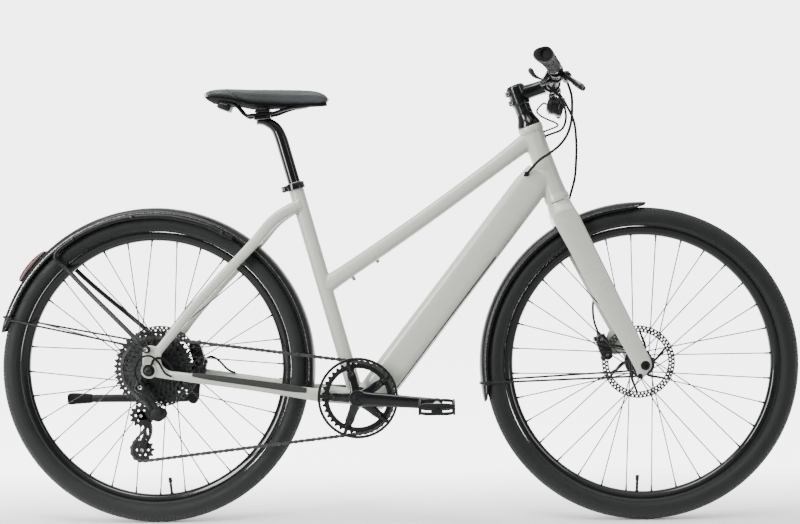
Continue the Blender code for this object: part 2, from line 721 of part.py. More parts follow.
def seat_clamp():
    """Collar round the seat tube's top with a bolt lug behind."""
    inner = SEAT_TUBE_RADIUS + GAP
    low = SEAT_TUBE_LENGTH - 16.0
    collar = rod(seat(0.0), inner + 4.0, low, low + 15.0, SEAT_UP, 16)
    ahead = Y_AXIS.cross(SEAT_UP)
    lug_centre = seat(low + 7.5) - ahead * 24.0
    lug = block(lug_centre, 13.0, 17.0, 13.0, 2.0, ahead, SEAT_UP)
    bore = rod(seat(0.0), inner, low - 2.0, low + 17.0, SEAT_UP, 16)
    return carve(weld(collar, lug), bore)


def mudguard(axle, arc, pointed):
    """Curved blade whose section drops at the sides; it narrows to a point at one end if asked."""
    half = MUDGUARD_WIDTH / 2.0
    outer = [(half, -17.5), (half - 1.5, -9.0), (half - 9.5, -2.8), (0.0, 0.0)]
    section = outer + [(-y, drop) for y, drop in reversed(outer[:-1])]
    wall = MUDGUARD_WALL
    inner_side = [(half - wall, -17.5), (half - 3.0 - wall, -9.5), (0.0, -wall - 0.6)]
    inner = inner_side + [(-y, drop) for y, drop in reversed(inner_side[:-1])]
    outline = section + [(y, drop) for y, drop in reversed(inner)]
    first, last = arc
    steps = round((last - first) / 9.5)
    rings = []
    for step in range(steps + 1):
        turn = first + (last - first) * step / steps
        left = min((last - turn), (turn - first) if pointed == "both" else 999.0)
        width = 1.0 if pointed == "none" else min(1.0, 0.55 + 0.45 * math.sqrt(max(0.0, left / 9.0)))
        rings.append([polar(axle, MUDGUARD_RADIUS + drop * (0.35 + 0.65 * width), turn, y * width)
                      for y, drop in outline])
    return skinned(rings)


def wire_round_mudguard(axle, degrees, end):
    """Wire that follows the blade's back at an angle, with a straight leg down to the axle on each side."""
    half = MUDGUARD_WIDTH / 2.0
    legs = []
    for side in (-1.0, 1.0):
        leg = [Vector((end.x, side * end.y, end.z))]
        for y, drop in ((half + 1.0, -24.0), (half + 0.7, -16.0), (half - 0.8, -8.4), (half - 8.9, -2.0),
                        (half - 19.0, -0.3)):
            leg.append(polar(axle, MUDGUARD_RADIUS + drop, degrees, side * y))
        legs.append(leg)
    route = legs[0] + list(reversed(legs[1]))
    return tube(route, [(STAY_WIRE_RADIUS, STAY_WIRE_RADIUS)], steps=5, side=point(0.3, 0.1, 1.0))


EYE = point(-4.0, 0.0, 384.0)


def rear_mudguard():
    blade = mudguard(REAR_AXLE, REAR_MUDGUARD_ARC, "end")
    reach = DROPOUT_INNER_Y - GAP - STAY_WIRE_RADIUS
    end = EYE + Y_AXIS * reach
    return weld(blade, wire_round_mudguard(REAR_AXLE, 160.8, end))


def front_mudguard():
    blade = mudguard(FRONT_AXLE, FRONT_MUDGUARD_ARC, "both")
    end = steer(-17.0, 26.0) + Y_AXIS * (63.4 + GAP + STAY_WIRE_RADIUS)
    return weld(blade, wire_round_mudguard(FRONT_AXLE, 186.5, end))


def carrier_tube(side):
    """Tube from the dropout's eye up round the mudguard's side and forward to the seat stay bridge."""
    out = DROPOUT_INNER_Y + DROPOUT_THICKNESS + GAP + CARRIER_TUBE_RADIUS
    beside = MUDGUARD_WIDTH / 2.0 + GAP + CARRIER_TUBE_RADIUS
    level = MUDGUARD_RADIUS - 19.0
    places = [EYE + Y_AXIS * side * out, point(-22.0, side * out, 400.0),
              point(-75.0, side * 66.0, 441.0), point(-135.0, side * 48.0, 492.0),
              point(-180.0, side * (beside + 3.0), 542.0), polar(REAR_AXLE, level - 8.0, 130.0, side * beside),
              polar(REAR_AXLE, level, 121.0, side * beside)]
    places += [polar(REAR_AXLE, level, turn, side * beside) for turn in (112.0, 100.0, 85.0, 70.0, 58.0)]
    path = smooth_route(places, 36.0)
    return tube(path, [(CARRIER_TUBE_RADIUS, CARRIER_TUBE_RADIUS)], steps=6)


def rear_lamp():
    """Slim lamp on the mudguard's back, with a flat seat that follows its curve."""
    rings = []
    for turn, lift in ((133.0, 5.0), (136.0, 12.0), (141.0, 16.0), (145.0, 15.0), (146.8, 9.0)):
        low = MUDGUARD_RADIUS + GAP + 0.5
        rings.append([polar(REAR_AXLE, low, turn, -15.0), polar(REAR_AXLE, low + lift * 0.7, turn, -15.0),
                      polar(REAR_AXLE, low + lift, turn, -9.0), polar(REAR_AXLE, low + lift, turn, 9.0),
                      polar(REAR_AXLE, low + lift * 0.7, turn, 15.0), polar(REAR_AXLE, low, turn, 15.0)])
    return skinned(rings)


# Brakes

def caliper(centre, along, axle, disc_radius):
    """Two-piston caliper body astride the rotor, with a slot for the disc."""
    body = block(centre, CALIPER_LENGTH, CALIPER_WIDTH, CALIPER_DEPTH, 6.0, along, along.cross(Y_AXIS))
    slot = rod(axle, disc_radius + 2.5, ROTOR_Y - 1.6, ROTOR_Y + 1.6, steps=48)
    return carve(body, slot)


def rear_caliper():
    """Caliper along the rotor's edge, with a foot that is bolted to the inside of the left chainstay."""
    outward = polar(Vector(), 1.0, REAR_CALIPER_TURN)
    centre = REAR_AXLE + outward * REAR_CALIPER_REACH + Y_AXIS * CALIPER_Y
    body = caliper(centre, Y_AXIS.cross(outward), REAR_AXLE, REAR_ROTOR_RADIUS)
    foot = plate([(64.0, 322.0), (100.0, 316.0), (104.0, 350.0), (70.0, 352.0)], 43.5, 66.0)
    return carve(weld(body, foot), chainstay(1.0, GAP))


def front_caliper():
    """Caliper behind the left fork leg and parallel to it."""
    centre = steer(FRONT_CALIPER_HEIGHT, FRONT_CALIPER_AHEAD, CALIPER_Y)
    return caliper(centre, STEER_UP, FRONT_AXLE, FRONT_ROTOR_RADIUS)


# Drivetrain

def toothed_outline(teeth, root, tip):
    """Outline of a sprocket with one tip and one root to each tooth."""
    outline = []
    for tooth in range(teeth):
        start = 2.0 * math.pi * tooth / teeth
        step = 2.0 * math.pi / teeth
        for radius, share in ((root, 0.0), (tip, 0.5)):
            turn = start + step * share
            outline.append((radius * math.cos(turn), radius * math.sin(turn)))
    return outline


COG_REACH = 64.3
BIG_COG_REACH = 88.0


def cassette():
    """Sprocket cluster: the two largest have teeth here, and the smaller ones are stepped rings."""
    bore = AXLE_SLEEVE_RADIUS + GAP
    half = COG_THICKNESS / 2.0
    big = plate(toothed_outline(BIG_COG_TEETH, BIG_COG_REACH - 5.5, BIG_COG_REACH), BIG_COG_Y - half,
                BIG_COG_Y + half, REAR_AXLE)
    second_y = BIG_COG_Y - COG_SPACING
    second = rod(REAR_AXLE, COG_REACH, second_y - half, second_y + half, steps=20)
    core = 16.0
    profile = [(core + 4.0, BIG_COG_Y + 0.5)]
    for place, teeth in enumerate(SMALL_COG_TEETH):
        y = BIG_COG_Y - COG_SPACING * (place + 2)
        reach = pitch_radius(teeth) + 1.5
        profile += [(reach, y + half), (reach, y - half)]
    profile.append((core, profile[-1][1]))
    profile.append((core, profile[-1][1] - 2.0))
    cluster = turned(profile, REAR_AXLE, steps=10)
    hole = rod(REAR_AXLE, bore, -80.0, -20.0, steps=16)
    return carve(weld(big, second, cluster), hole)


def chain_circles():
    """Centre, pitch radius, turning sense and y of each wheel that the chain goes round, in order."""
    cog_y = BIG_COG_Y - COG_SPACING
    return [(REAR_AXLE, pitch_radius(CHAIN_COG_TEETH), 1.0, cog_y),
            (CRANK_AXLE, pitch_radius(CHAINRING_TEETH), 1.0, -CHAINLINE),
            (point(LOWER_JOCKEY[0], 0.0, LOWER_JOCKEY[1]), pitch_radius(JOCKEY_TEETH), 1.0, cog_y),
            (point(UPPER_JOCKEY[0], 0.0, UPPER_JOCKEY[1]), pitch_radius(JOCKEY_TEETH), -1.0, cog_y)]


def chain_tangent(start, end):
    """Angles at which the straight run leaves one wheel and meets the next, seen from the right side."""
    (a, radius_a, sense_a, _), (b, radius_b, sense_b, _) = start, end
    gap = b - a
    lean = math.atan2(gap.z, gap.x) + math.asin((sense_b * radius_b - sense_a * radius_a)
                                                / math.hypot(gap.x, gap.z))
    across = Vector((math.sin(lean), 0.0, -math.cos(lean)))
    return a - across * (sense_a * radius_a), b - across * (sense_b * radius_b)


def make_chain():
    """Chain as one band along its real path round both sprockets and both jockey wheels."""
    wheels = chain_circles()
    runs = [chain_tangent(wheels[place], wheels[(place + 1) % 4]) for place in range(4)]
    path = []
    for place, (centre, radius, sense, y) in enumerate(wheels):
        arrive = runs[place - 1][1] - centre
        leave = runs[place][0] - centre
        first = math.atan2(arrive.z, arrive.x)
        last = math.atan2(leave.z, leave.x)
        sweep = (first - last) % (2.0 * math.pi) if sense > 0.0 else (last - first) % (2.0 * math.pi)
        steps = max(3, round(sweep * max(radius, 40.0) / CHAIN_PITCH))
        for step in range(steps + 1):
            turn = first - sense * sweep * step / steps
            path.append(centre + Vector((radius * math.cos(turn), y, radius * math.sin(turn))))
    rings = []
    for place, centre in enumerate(path):
        along = path[(place + 1) % len(path)] - path[place - 1]
        along.y = 0.0
        along.normalize()
        upward = along.cross(Y_AXIS)
        rings.append([centre + Y_AXIS * a + upward * b
                      for a, b in rectangle(2.0 * CHAIN_HALF_WIDTH, 2.0 * CHAIN_HALF_HEIGHT)])
    return skinned(rings, closed=True)


RING_REACH = 72.5
ARM_LOW = -73.0
ARM_HIGH = -57.0


def pedal_place(side):
    """Foot of the pedal's axis: the left crank points to CRANK_ANGLE and the right one is opposite."""
    degrees = CRANK_ANGLE if side > 0.0 else CRANK_ANGLE + 180.0
    return polar(CRANK_AXLE, CRANK_LENGTH, degrees)


def crank_arm(side, inner, outer):
    """Tapering arm from the bottom bracket to the pedal, with the pedal's spindle at its end."""
    end = pedal_place(side)
    step = 14.0
    low, high = sorted((side * inner, side * outer))
    far_low, far_high = sorted((side * (inner + step), side * (outer + step - 2.0)))
    arm = hull(discs((CRANK_AXLE, 18.5, low, high), (end, 12.5, far_low, far_high), steps=10))
    spindle_low, spindle_high = sorted((side * (inner + step + 3.0), side * (PEDAL_OUTER_Y - 10.0)))
    return weld(arm, rod(end, 5.0, spindle_low, spindle_high, steps=8))


def right_crank():
    """Right arm with the axle through the bottom bracket and a five-armed spider for the chainring."""
    arm = crank_arm(-1.0, -ARM_HIGH, -ARM_LOW)
    axle = rod(CRANK_AXLE, CRANK_AXLE_RADIUS, ARM_HIGH - 6.0, -ARM_LOW - 3.0, steps=16)
    arms = []
    for place in range(5):
        tip = polar(CRANK_AXLE, SPIDER_RADIUS, SPIDER_TURN + 72.0 * place)
        arms.append(hull(discs((CRANK_AXLE, 15.0, -62.0, -52.3), (tip, 6.0, -58.0, -52.3), steps=8)))
    return weld(arm, axle, *arms)


def left_crank():
    arm = crank_arm(1.0, -ARM_HIGH, -ARM_LOW)
    return carve(arm, rod(CRANK_AXLE, CRANK_AXLE_RADIUS + GAP, 50.0, -ARM_LOW - 2.0, steps=16))


def chainring():
    """Toothed ring with five bolt tabs, and a guard ring carried outside it."""
    low = -CHAINLINE - 2.0
    high = -CHAINLINE + 2.0
    ring = plate(toothed_outline(CHAINRING_TEETH, RING_REACH - 3.5, RING_REACH), low, high, CRANK_AXLE)
    ring = carve(ring, rod(CRANK_AXLE, RING_REACH - 9.0, low - 2.0, high + 2.0, steps=24))
    pieces = []
    for place in range(5):
        turn = SPIDER_TURN + 72.0 * place
        tip = polar(CRANK_AXLE, SPIDER_RADIUS, turn)
        outer = polar(CRANK_AXLE, RING_REACH - 9.5, turn)
        pieces.append(hull(discs((tip, 6.5, low, high), (outer, 6.0, low + 0.4, high - 0.4), steps=6)))
        outward = polar(Vector(), 1.0, turn)
        middle = polar(CRANK_AXLE, 73.0, turn, -55.3)
        pieces.append(block(middle, 22.0, 3.4, 11.0, 0.0, outward, outward.cross(Y_AXIS)))
        pieces.append(block(polar(CRANK_AXLE, 66.5, turn, -52.8), 7.0, 5.0, 9.0, 0.0, outward,
                            outward.cross(Y_AXIS)))
    guard = washer(CRANK_AXLE, GUARD_RADIUS - 4.0, GUARD_RADIUS, -57.4, -53.4, steps=24)
    return weld(ring, guard, *pieces)


def pedal(side):
    """Cage pedal: a windowed frame round a bored body that turns on the crank's spindle."""
    place = pedal_place(side)
    middle = side * (PEDAL_INNER_Y + PEDAL_OUTER_Y) / 2.0
    width = PEDAL_OUTER_Y - PEDAL_INNER_Y
    centre = Vector((place.x, middle, place.z))
    cage = block(centre, PEDAL_LENGTH, width, PEDAL_DEPTH, 7.0)
    windows = [block(centre + X_AXIS * way * 21.5, 21.0, width - 22.0, PEDAL_DEPTH + 4.0)
               for way in (-1.0, 1.0)]
    low, high = sorted((side * (PEDAL_INNER_Y - 4.0), side * (PEDAL_OUTER_Y - 6.0)))
    bore = rod(place, 5.0 + 0.4, low, high, steps=8)
    return carve(cage, *windows, bore)


def jockey(place):
    """Small chain wheel that turns on a pin of the derailleur's cage."""
    y = BIG_COG_Y - COG_SPACING
    centre = point(place[0], 0.0, place[1])
    reach = pitch_radius(JOCKEY_TEETH) - CHAIN_HALF_HEIGHT - 0.7
    disc = plate(toothed_outline(JOCKEY_TEETH, reach - 3.5, reach), y - 1.6, y + 1.6, centre)
    return carve(disc, rod(centre, 3.3, y - 4.0, y + 4.0, steps=10))


KNUCKLE = point(14.0, 0.0, 242.0)
HANGER = point(-18.0, 0.0, 304.0)


def derailleur_body():
    """Hanger plate, upper knuckle, slanted link block and lower knuckle with its clutch cover."""
    plate_low = -DROPOUT_INNER_Y - DROPOUT_THICKNESS + 1.0
    hanger = hull(discs((point(-9.0, 0.0, 330.5), 5.0, plate_low, plate_low + 7.0),
                        (HANGER, 9.0, plate_low, plate_low + 7.0), steps=10))
    cut = plate([(-40.0, 350.0), (-40.0, 329.0), (-8.0, 327.0), (10.0, 322.5), (40.0, 318.0), (40.0, 350.0)],
                -90.0, -60.0)
    knuckle = rod(HANGER, 12.0, -88.0, -74.0, steps=14)
    link = hull(discs((HANGER, 8.5, -87.0, -75.0), (KNUCKLE, 10.0, -62.0, -50.0), steps=10))
    low_knuckle = rod(KNUCKLE, 15.5, -60.0, -43.0, steps=12)
    return weld(carve(hanger, cut), knuckle, link, low_knuckle)


def derailleur_cage():
    """Two plates joined by the pins that the jockey wheels turn on."""
    y = BIG_COG_Y - COG_SPACING
    upper = point(UPPER_JOCKEY[0], 0.0, UPPER_JOCKEY[1])
    lower = point(LOWER_JOCKEY[0], 0.0, LOWER_JOCKEY[1])
    outer = weld(hull(discs((upper, 11.0, y - 6.6, y - 5.0), (lower, 10.0, y - 6.6, y - 5.0), steps=10)),
                 hull(discs((upper, 10.0, y - 6.5, y - 5.1), (KNUCKLE, 11.0, y - 6.5, y - 5.1), steps=10)))
    inner = hull(discs((upper, 9.0, y + 5.0, y + 6.4), (lower, 9.0, y + 5.0, y + 6.4), steps=10))
    pivot = rod(KNUCKLE, 6.0, y - 8.5, y - 5.6, steps=10)
    pins = [rod(centre, 3.0, y - 5.8, y + 5.7, steps=8) for centre in (upper, lower)]
    return weld(outer, inner, pivot, *pins)


# Fork, stem and handlebar

def fork_leg(side):
    """Blade-like leg, whose inner face leans out from the crown to the hub."""
    path = []
    sizes = []
    for height, ahead, depth in ((368.0, -1.0, 26.0), (352.0, 0.5, 28.0), (329.0, 2.7, 28.0),
                                 (241.0, 13.0, 26.0), (144.0, 24.5, 23.6), (45.0, 36.5, 20.5),
                                 (0.0, 41.0, 19.5), (-11.0, 36.0, 14.5), (-24.0, 24.5, 8.0)):
        share = min(1.0, max(0.0, (352.0 - height) / 352.0))
        thickness = 10.0 - 3.5 * share
        inner_face = 31.5 + 18.6 * share
        path.append(steer(height, ahead, side * (inner_face + thickness)))
        sizes.append((thickness, depth))
    sections = []
    for centre, (half_width, half_depth) in zip(path, sizes):
        ring = oval(half_width, half_depth, 8, 2.6)
        sections.append([centre + Y_AXIS * a + STEER_AHEAD * b for a, b in ring])
    return skinned(sections)


CROWN_HOLE = (22.0, 26.0)


def make_fork():
    """Rigid fork: steerer, crown over the wheel, two legs and the tab for the brake."""
    crown_rings = []
    for height, half_width, half_depth, power in ((FORK_LENGTH - 0.4, 25.5, 25.5, 2.0), (381.0, 29.5, 27.0, 2.1),
                                                  (367.0, 42.0, 29.0, 2.5), (354.0, 49.5, 29.0, 2.8),
                                                  (346.0, 51.0, 29.0, 2.8)):
        ring = oval(half_width, half_depth, 14, power)
        crown_rings.append([steer(height, b, a) for a, b in ring])
    crown = skinned(crown_rings)
    steerer = rod(steer(0.0, 0.0), STEERER_RADIUS, 380.0, STEM_TOP - 2.0, STEER_UP, 16)
    tab = block(steer(FRONT_CALIPER_HEIGHT, 10.35, 52.0), 21.3, 8.0, 48.0, 3.0, STEER_AHEAD, STEER_UP)
    wheel_arch = rod(FRONT_AXLE, MUDGUARD_RADIUS + GAP + 0.2, -31.0, 31.0, steps=72)
    bore = rod(FRONT_AXLE, FRONT_AXLE_RADIUS + GAP, -70.0, 70.0, steps=14)
    hose_hole = rod(steer(358.0, *CROWN_HOLE), 3.5, 0.0, 50.0, STEER_UP, 8)
    return carve(weld(crown, fork_leg(-1.0), fork_leg(1.0), steerer, tab), wheel_arch, bore, hose_hole)


SPACER_TOP = HEAD_TOP + SPACER_HEIGHT
STEM_TOP = SPACER_TOP + STEM_CLAMP_HEIGHT
BAR_CENTRE = steer(HEAD_TOP + 72.0, 0.0) + Vector((math.cos(math.radians(STEM_RISE)), 0.0,
                                                   math.sin(math.radians(STEM_RISE)))) * STEM_REACH


def headset_spacers():
    """Conical cover and spacers between the head tube and the stem."""
    bore = STEERER_RADIUS + GAP
    low = HEAD_TOP + GAP
    profile = [(bore, low), (HEAD_TUBE_RADIUS, low), (HEAD_TUBE_RADIUS - 1.5, low + 8.0), (19.0, low + 22.0),
               (18.0, SPACER_TOP - 10.0), (18.0, SPACER_TOP), (bore, SPACER_TOP)]
    return turned(profile, steer(0.0, 0.0), STEER_UP, steps=16, closed=True)


def make_stem():
    """Forged stem: a clamp on the steerer, an extension and a clamp for the handlebar, with its top cap."""
    low = SPACER_TOP + GAP
    axis = steer(0.0, 0.0)
    clamp = turned([(19.0, low), (20.5, low + 3.0), (20.5, STEM_TOP - 3.0), (18.5, STEM_TOP)], axis, STEER_UP, 14)
    root = steer(HEAD_TOP + 72.0, 12.0)
    reach = (BAR_CENTRE - root).normalized()
    arm = tube([root, root + reach * 30.0, BAR_CENTRE - reach * 10.0], [(17.0, 17.0), (15.0, 15.5), (19.0, 15.0)],
               steps=10, power=2.5)
    eye = rod(BAR_CENTRE, 20.5, -23.0, 23.0, steps=14)
    steerer_bore = rod(axis, STEERER_RADIUS + GAP, low - 2.0, STEM_TOP - 1.5, STEER_UP, 16)
    bar_bore = rod(BAR_CENTRE, BAR_CLAMP_RADIUS + 0.4, -30.0, 30.0, steps=16)
    return carve(weld(clamp, arm, eye), steerer_bore, bar_bore)


BAR_BEND_Y = BAR_HALF_WIDTH - 170.0


def bar_point(y):
    """Point of the handlebar's centre line: straight in the middle, then swept back and slightly up."""
    places = [(0.0, 0.0, 0.0), (45.0, 0.0, 0.0), (90.0, 4.0, 5.0), (BAR_BEND_Y, -2.0, 12.0),
              (BAR_HALF_WIDTH, -36.0, 20.0)]
    distance = abs(y)
    for (y0, x0, z0), (y1, x1, z1) in zip(places, places[1:]):
        if distance <= y1 or y1 == BAR_HALF_WIDTH:
            share = (distance - y0) / (y1 - y0)
            return BAR_CENTRE + point(x0 + (x1 - x0) * share, y, z0 + (z1 - z0) * share)
    return BAR_CENTRE


BAR_ENDS = BAR_HALF_WIDTH - 3.0


def make_handlebar():
    stations = (-BAR_ENDS, -BAR_BEND_Y, -90.0, -62.0, -28.0, 28.0, 62.0, 90.0, BAR_BEND_Y, BAR_ENDS)
    path = [bar_point(y) for y in stations]
    sizes = []
    for y in stations:
        share = min(1.0, max(0.0, (abs(y) - 28.0) / 34.0))
        radius = BAR_CLAMP_RADIUS + (BAR_RADIUS - BAR_CLAMP_RADIUS) * share
        sizes.append((radius, radius))
    return tube(path, sizes, steps=12, side=X_AXIS)


GRIP_SIDES = 10


def grip(side):
    """Rubber grip with a closed end and a palm rest that widens towards the end."""
    rings = []
    for share, rest in ((0.0, 0.0), (0.3, 1.0), (0.55, 4.0), (0.8, 9.0), (0.94, 10.0), (1.0, 6.0)):
        y = side * (BAR_HALF_WIDTH - GRIP_LENGTH * (1.0 - share))
        centre = bar_point(y)
        radius = GRIP_RADIUS - (1.2 if share == 1.0 else 0.0)
        ring = []
        for step in range(GRIP_SIDES):
            turn = 2.0 * math.pi * step / GRIP_SIDES
            toward_rider = max(0.0, math.cos(turn - math.pi)) ** 3
            reach = radius + rest * toward_rider
            ring.append(centre + X_AXIS * (reach * math.cos(turn)) + Z_AXIS * (reach * math.sin(turn)))
        rings.append(ring)
    start = bar_point(side * (BAR_HALF_WIDTH - GRIP_LENGTH - 5.0))
    end = bar_point(side * (BAR_ENDS + 0.5))
    bore = tube([start, end], [(BAR_RADIUS + GAP + 0.2, BAR_RADIUS + GAP + 0.2)], steps=16, side=X_AXIS)
    return carve(skinned(rings), bore)


LEVER_PIVOT_Y = BAR_HALF_WIDTH - 162.0
BRAKE_CLAMP_Y = LEVER_PIVOT_Y - 17.0


def lever_pivot(side):
    return bar_point(side * LEVER_PIVOT_Y) + point(24.0, 0.0, -16.0)


def lever_tip(side):
    return lever_pivot(side) + point(19.0, side * 122.0, -39.0).normalized() * LEVER_LENGTH


def lever_axis(side):
    """Axis about which a lever turns towards its grip: square to the blade and to the way it closes."""
    blade = lever_tip(side) - lever_pivot(side)
    closing = bar_point(lever_tip(side).y) - lever_tip(side)
    return blade.cross(closing).normalized()


def clamp_on_bar(y, half_width, outer):
    """Ring that grips the handlebar, along the bar's own direction there."""
    along = (bar_point(y + 2.0) - bar_point(y - 2.0)).normalized()
    return rod(bar_point(y), outer, -half_width, half_width, along, 12)


def bar_cutter(y, half_length):
    along = (bar_point(y + 2.0) - bar_point(y - 2.0)).normalized()
    return rod(bar_point(y), BAR_RADIUS + GAP, -half_length, half_length, along, 16)


def cylinder_ends(side):
    """Outer and inner end of the brake's fluid cylinder, which lies along the bar inside the pivot."""
    pivot = lever_pivot(side)
    outer = pivot - (lever_tip(side) - pivot).normalized() * 22.0 + point(4.0, 0.0, -4.0)
    return outer, outer + point(3.0, -side * 26.0, -3.0)


def brake_body(side):
    """Brake lever mount: a clamp, a fluid cylinder along the bar and two ears for the lever's pivot."""
    clamp_y = side * BRAKE_CLAMP_Y
    pivot = lever_pivot(side)
    axis = lever_axis(side)
    outer, inner = cylinder_ends(side)
    start = bar_point(clamp_y) + point(13.0, 0.0, -9.0)
    neck = tube([start, outer], [(8.0, 8.0)], steps=6, side=X_AXIS)
    cylinder = tube([outer, inner], [(9.5, 9.5), (9.0, 9.0)], steps=8, side=X_AXIS)
    arm = pivot - outer
    arm -= axis * arm.dot(axis)
    ears = []
    for way in (-1.0, 1.0):
        low, high = sorted((way * 5.3, way * 9.0))
        ears.append(rod(pivot, 7.5, low, high, axis, 8))
        ears.append(block(pivot - arm * 0.5 + axis * way * 7.1, arm.length, 9.0, 3.2, 0.0, arm.normalized(), axis))
    clamp = clamp_on_bar(clamp_y, 6.0, BAR_RADIUS + 5.0)
    return carve(weld(clamp, neck, cylinder, *ears), bar_cutter(clamp_y, 20.0))


def brake_lever(side):
    """Blade that starts at its pivot between the two ears and hooks at its tip."""
    pivot = lever_pivot(side)
    tip = lever_tip(side)
    axis = lever_axis(side)
    reach = tip - pivot
    closing = axis.cross(reach.normalized())
    eye = rod(pivot, 6.5, -4.8, 4.8, axis, 12)
    path = [pivot + reach * 0.02, pivot + reach * 0.2 - closing * 4.0, pivot + reach * 0.6 - closing * 3.0,
            pivot + reach * 0.92, tip - closing * 5.0]
    blade = tube(path, [(4.5, 4.5), (4.5, 5.0), (4.5, 7.0), (4.5, 7.0), (4.0, 4.5)], steps=10, power=2.6,
                 side=closing)
    return weld(eye, blade)


SHIFTER_Y = 43.0 - BRAKE_CLAMP_Y


def shift_pivot():
    return bar_point(SHIFTER_Y) + point(-24.0, 0.0, -9.0)


def shifter_body():
    """Thumb shifter: a clamp on the bar and a round pod behind and below it."""
    clamp = clamp_on_bar(SHIFTER_Y, 6.0, BAR_RADIUS + 5.0)
    pod = turned([(9.0, -9.5), (12.5, -8.0), (12.5, -2.5), (10.0, -1.0)], shift_pivot(), STEER_UP, 12)
    start = bar_point(SHIFTER_Y) + point(-6.0, 0.0, -12.0)
    neck = tube([start, shift_pivot() - STEER_UP * 6.0], [(6.0, 3.5)], steps=8, power=2.6)
    pin = rod(shift_pivot(), 3.0, -3.0, 6.0, STEER_UP, 8)
    return carve(weld(clamp, pod, neck, pin), bar_cutter(SHIFTER_Y, 20.0))


def shift_lever():
    """Thumb paddle on the pod's pin, which points back towards the rider."""
    pivot = shift_pivot()
    axis = STEER_UP
    washer_part = washer(pivot, 3.3, 7.0, 0.0, 4.0, axis, 12)
    tip = pivot + point(-29.0, 4.0, 22.0)
    paddle = tube([pivot - X_AXIS * 5.5 + axis * 2.0, pivot + point(-14.0, 2.0, 7.0), tip],
                  [(3.0, 1.8), (3.5, 1.8), (7.0, 4.0)], steps=8, power=2.6)
    return weld(washer_part, paddle)


LAMP_CENTRE = BAR_CENTRE + point(11.0, 0.0, -48.0)
LAMP_FACING = point(0.97, 0.0, -0.22).normalized()


def headlamp():
    """Round headlamp in front of the head tube, hung from a bracket under the handlebar clamp."""
    body = turned([(13.0, -20.0), (18.5, -14.0), (21.0, -4.0), (21.5, 12.0), (20.0, 16.0)], LAMP_CENTRE,
                  LAMP_FACING, 16)
    bracket_top = BAR_CENTRE.z - 20.5 - GAP
    low = LAMP_CENTRE.z + 14.0
    bracket = block(point(BAR_CENTRE.x + 2.0, 0.0, (bracket_top + low) / 2.0), 14.0, 12.0, bracket_top - low, 1.5)
    return weld(body, bracket)


# Seat

def seatpost():
    """Round post that bends back at the top, with the clamp that holds the saddle's rails."""
    low = SEAT_TUBE_LENGTH - SEATPOST_INSERTION
    top = seat(SEAT_TUBE_LENGTH + 92.0)
    path = [seat(low), top, top + point(-6.0, 0.0, 12.0), top + point(-18.0, 0.0, 24.0), CLAMP + point(6.0, 0.0, -10.0)]
    radius = SEATPOST_RADIUS
    post = tube(path, [(radius, radius), (radius, radius), (radius, radius - 0.6), (radius - 0.5, radius - 2.0),
                       (radius + 1.0, radius - 3.0)], steps=16)
    lower = block(CLAMP + point(0.0, 0.0, -7.5), 38.0, 52.0, 8.0, 2.0, RAIL_ALONG, RAIL_UP)
    upper = block(CLAMP + point(0.0, 0.0, 7.0), 34.0, 52.0, 6.0, 2.0, RAIL_ALONG, RAIL_UP)
    bolt = rod(CLAMP, 4.5, -9.0, 12.0, RAIL_UP, 8)
    return weld(post, lower, upper, bolt)


RAIL_RADIUS = 3.5
RAIL_HALF_SPREAD = 22.0
RAIL_ALONG = point(1.0, 0.0, 0.08).normalized()
RAIL_UP = RAIL_ALONG.cross(Y_AXIS)
CLAMP = seat(SEAT_TUBE_LENGTH) + point(-CLAMP_SETBACK, 0.0, CLAMP_RISE)


def saddle_rails():
    """One bent wire: both rails run forward under the saddle and meet under its nose."""
    side_points = [CLAMP + point(-80.0, 29.0, 27.4), CLAMP + point(-57.0, 26.0, 19.5)]
    side_points += [CLAMP + point(-38.0, RAIL_HALF_SPREAD, -1.0)]
    side_points += [CLAMP + RAIL_ALONG * reach + Y_AXIS * RAIL_HALF_SPREAD for reach in (-22.0, 0.0, 24.0)]
    side_points += [CLAMP + point(47.0, 20.0, 9.5), CLAMP + point(65.0, 14.0, 14.2), CLAMP + point(78.0, 6.0, 15.2)]
    other = [Vector((place.x, -place.y, place.z)) for place in reversed(side_points)]
    path = smooth_route(side_points + other, 17.0)
    sizes = [(RAIL_RADIUS, RAIL_RADIUS)]
    return tube(path, sizes, steps=6, side=Z_AXIS)


def saddle_cover():
    """Padded saddle: wide and lifted at the back, a long nose, a crowned top and drawn-in sides."""
    stations = ((0.0, 0.55, 0.0, 12.0), (0.03, 0.78, 8.0, 15.0), (0.12, 0.97, 11.0, 19.0),
                (0.24, 1.0, 11.0, 26.0), (0.38, 0.86, 10.0, 34.0), (0.52, 0.6, 10.5, 35.0),
                (0.66, 0.38, 10.0, 34.0), (0.8, 0.27, 8.0, 31.0), (0.92, 0.21, 4.0, 26.0),
                (0.98, 0.14, -4.0, 18.0), (1.0, 0.06, -12.0, 10.0))
    side_shape = ((0.0, 0.0), (0.55, 0.0), (0.86, 0.07), (0.98, 0.28), (1.0, 0.5), (0.93, 0.75), (0.74, 0.92),
                  (0.42, 0.99))
    rings = []
    for share, width, rise, depth in stations:
        x = CLAMP.x - SADDLE_OVERHANG + SADDLE_LENGTH * share
        top = CLAMP.z + SADDLE_HEIGHT - 11.0 + rise
        half = SADDLE_WIDTH / 2.0 * width
        right = [point(x, -half * across, top - depth + depth * up) for across, up in side_shape]
        left = [point(x, half * across, top - depth + depth * up) for across, up in reversed(side_shape[1:])]
        crown = [point(x, 0.0, top)]
        rings.append(right + crown + left)
    return skinned(rings)


# Kickstand

KICK_PIVOT = point(64.0, 98.0, 262.0)


def kickstand_axis():
    """Axis of the leg's joint: a positive turn swings the leg down and out."""
    splay = math.radians(KICKSTAND_SPLAY)
    return point(0.0, -math.cos(splay), -math.sin(splay))


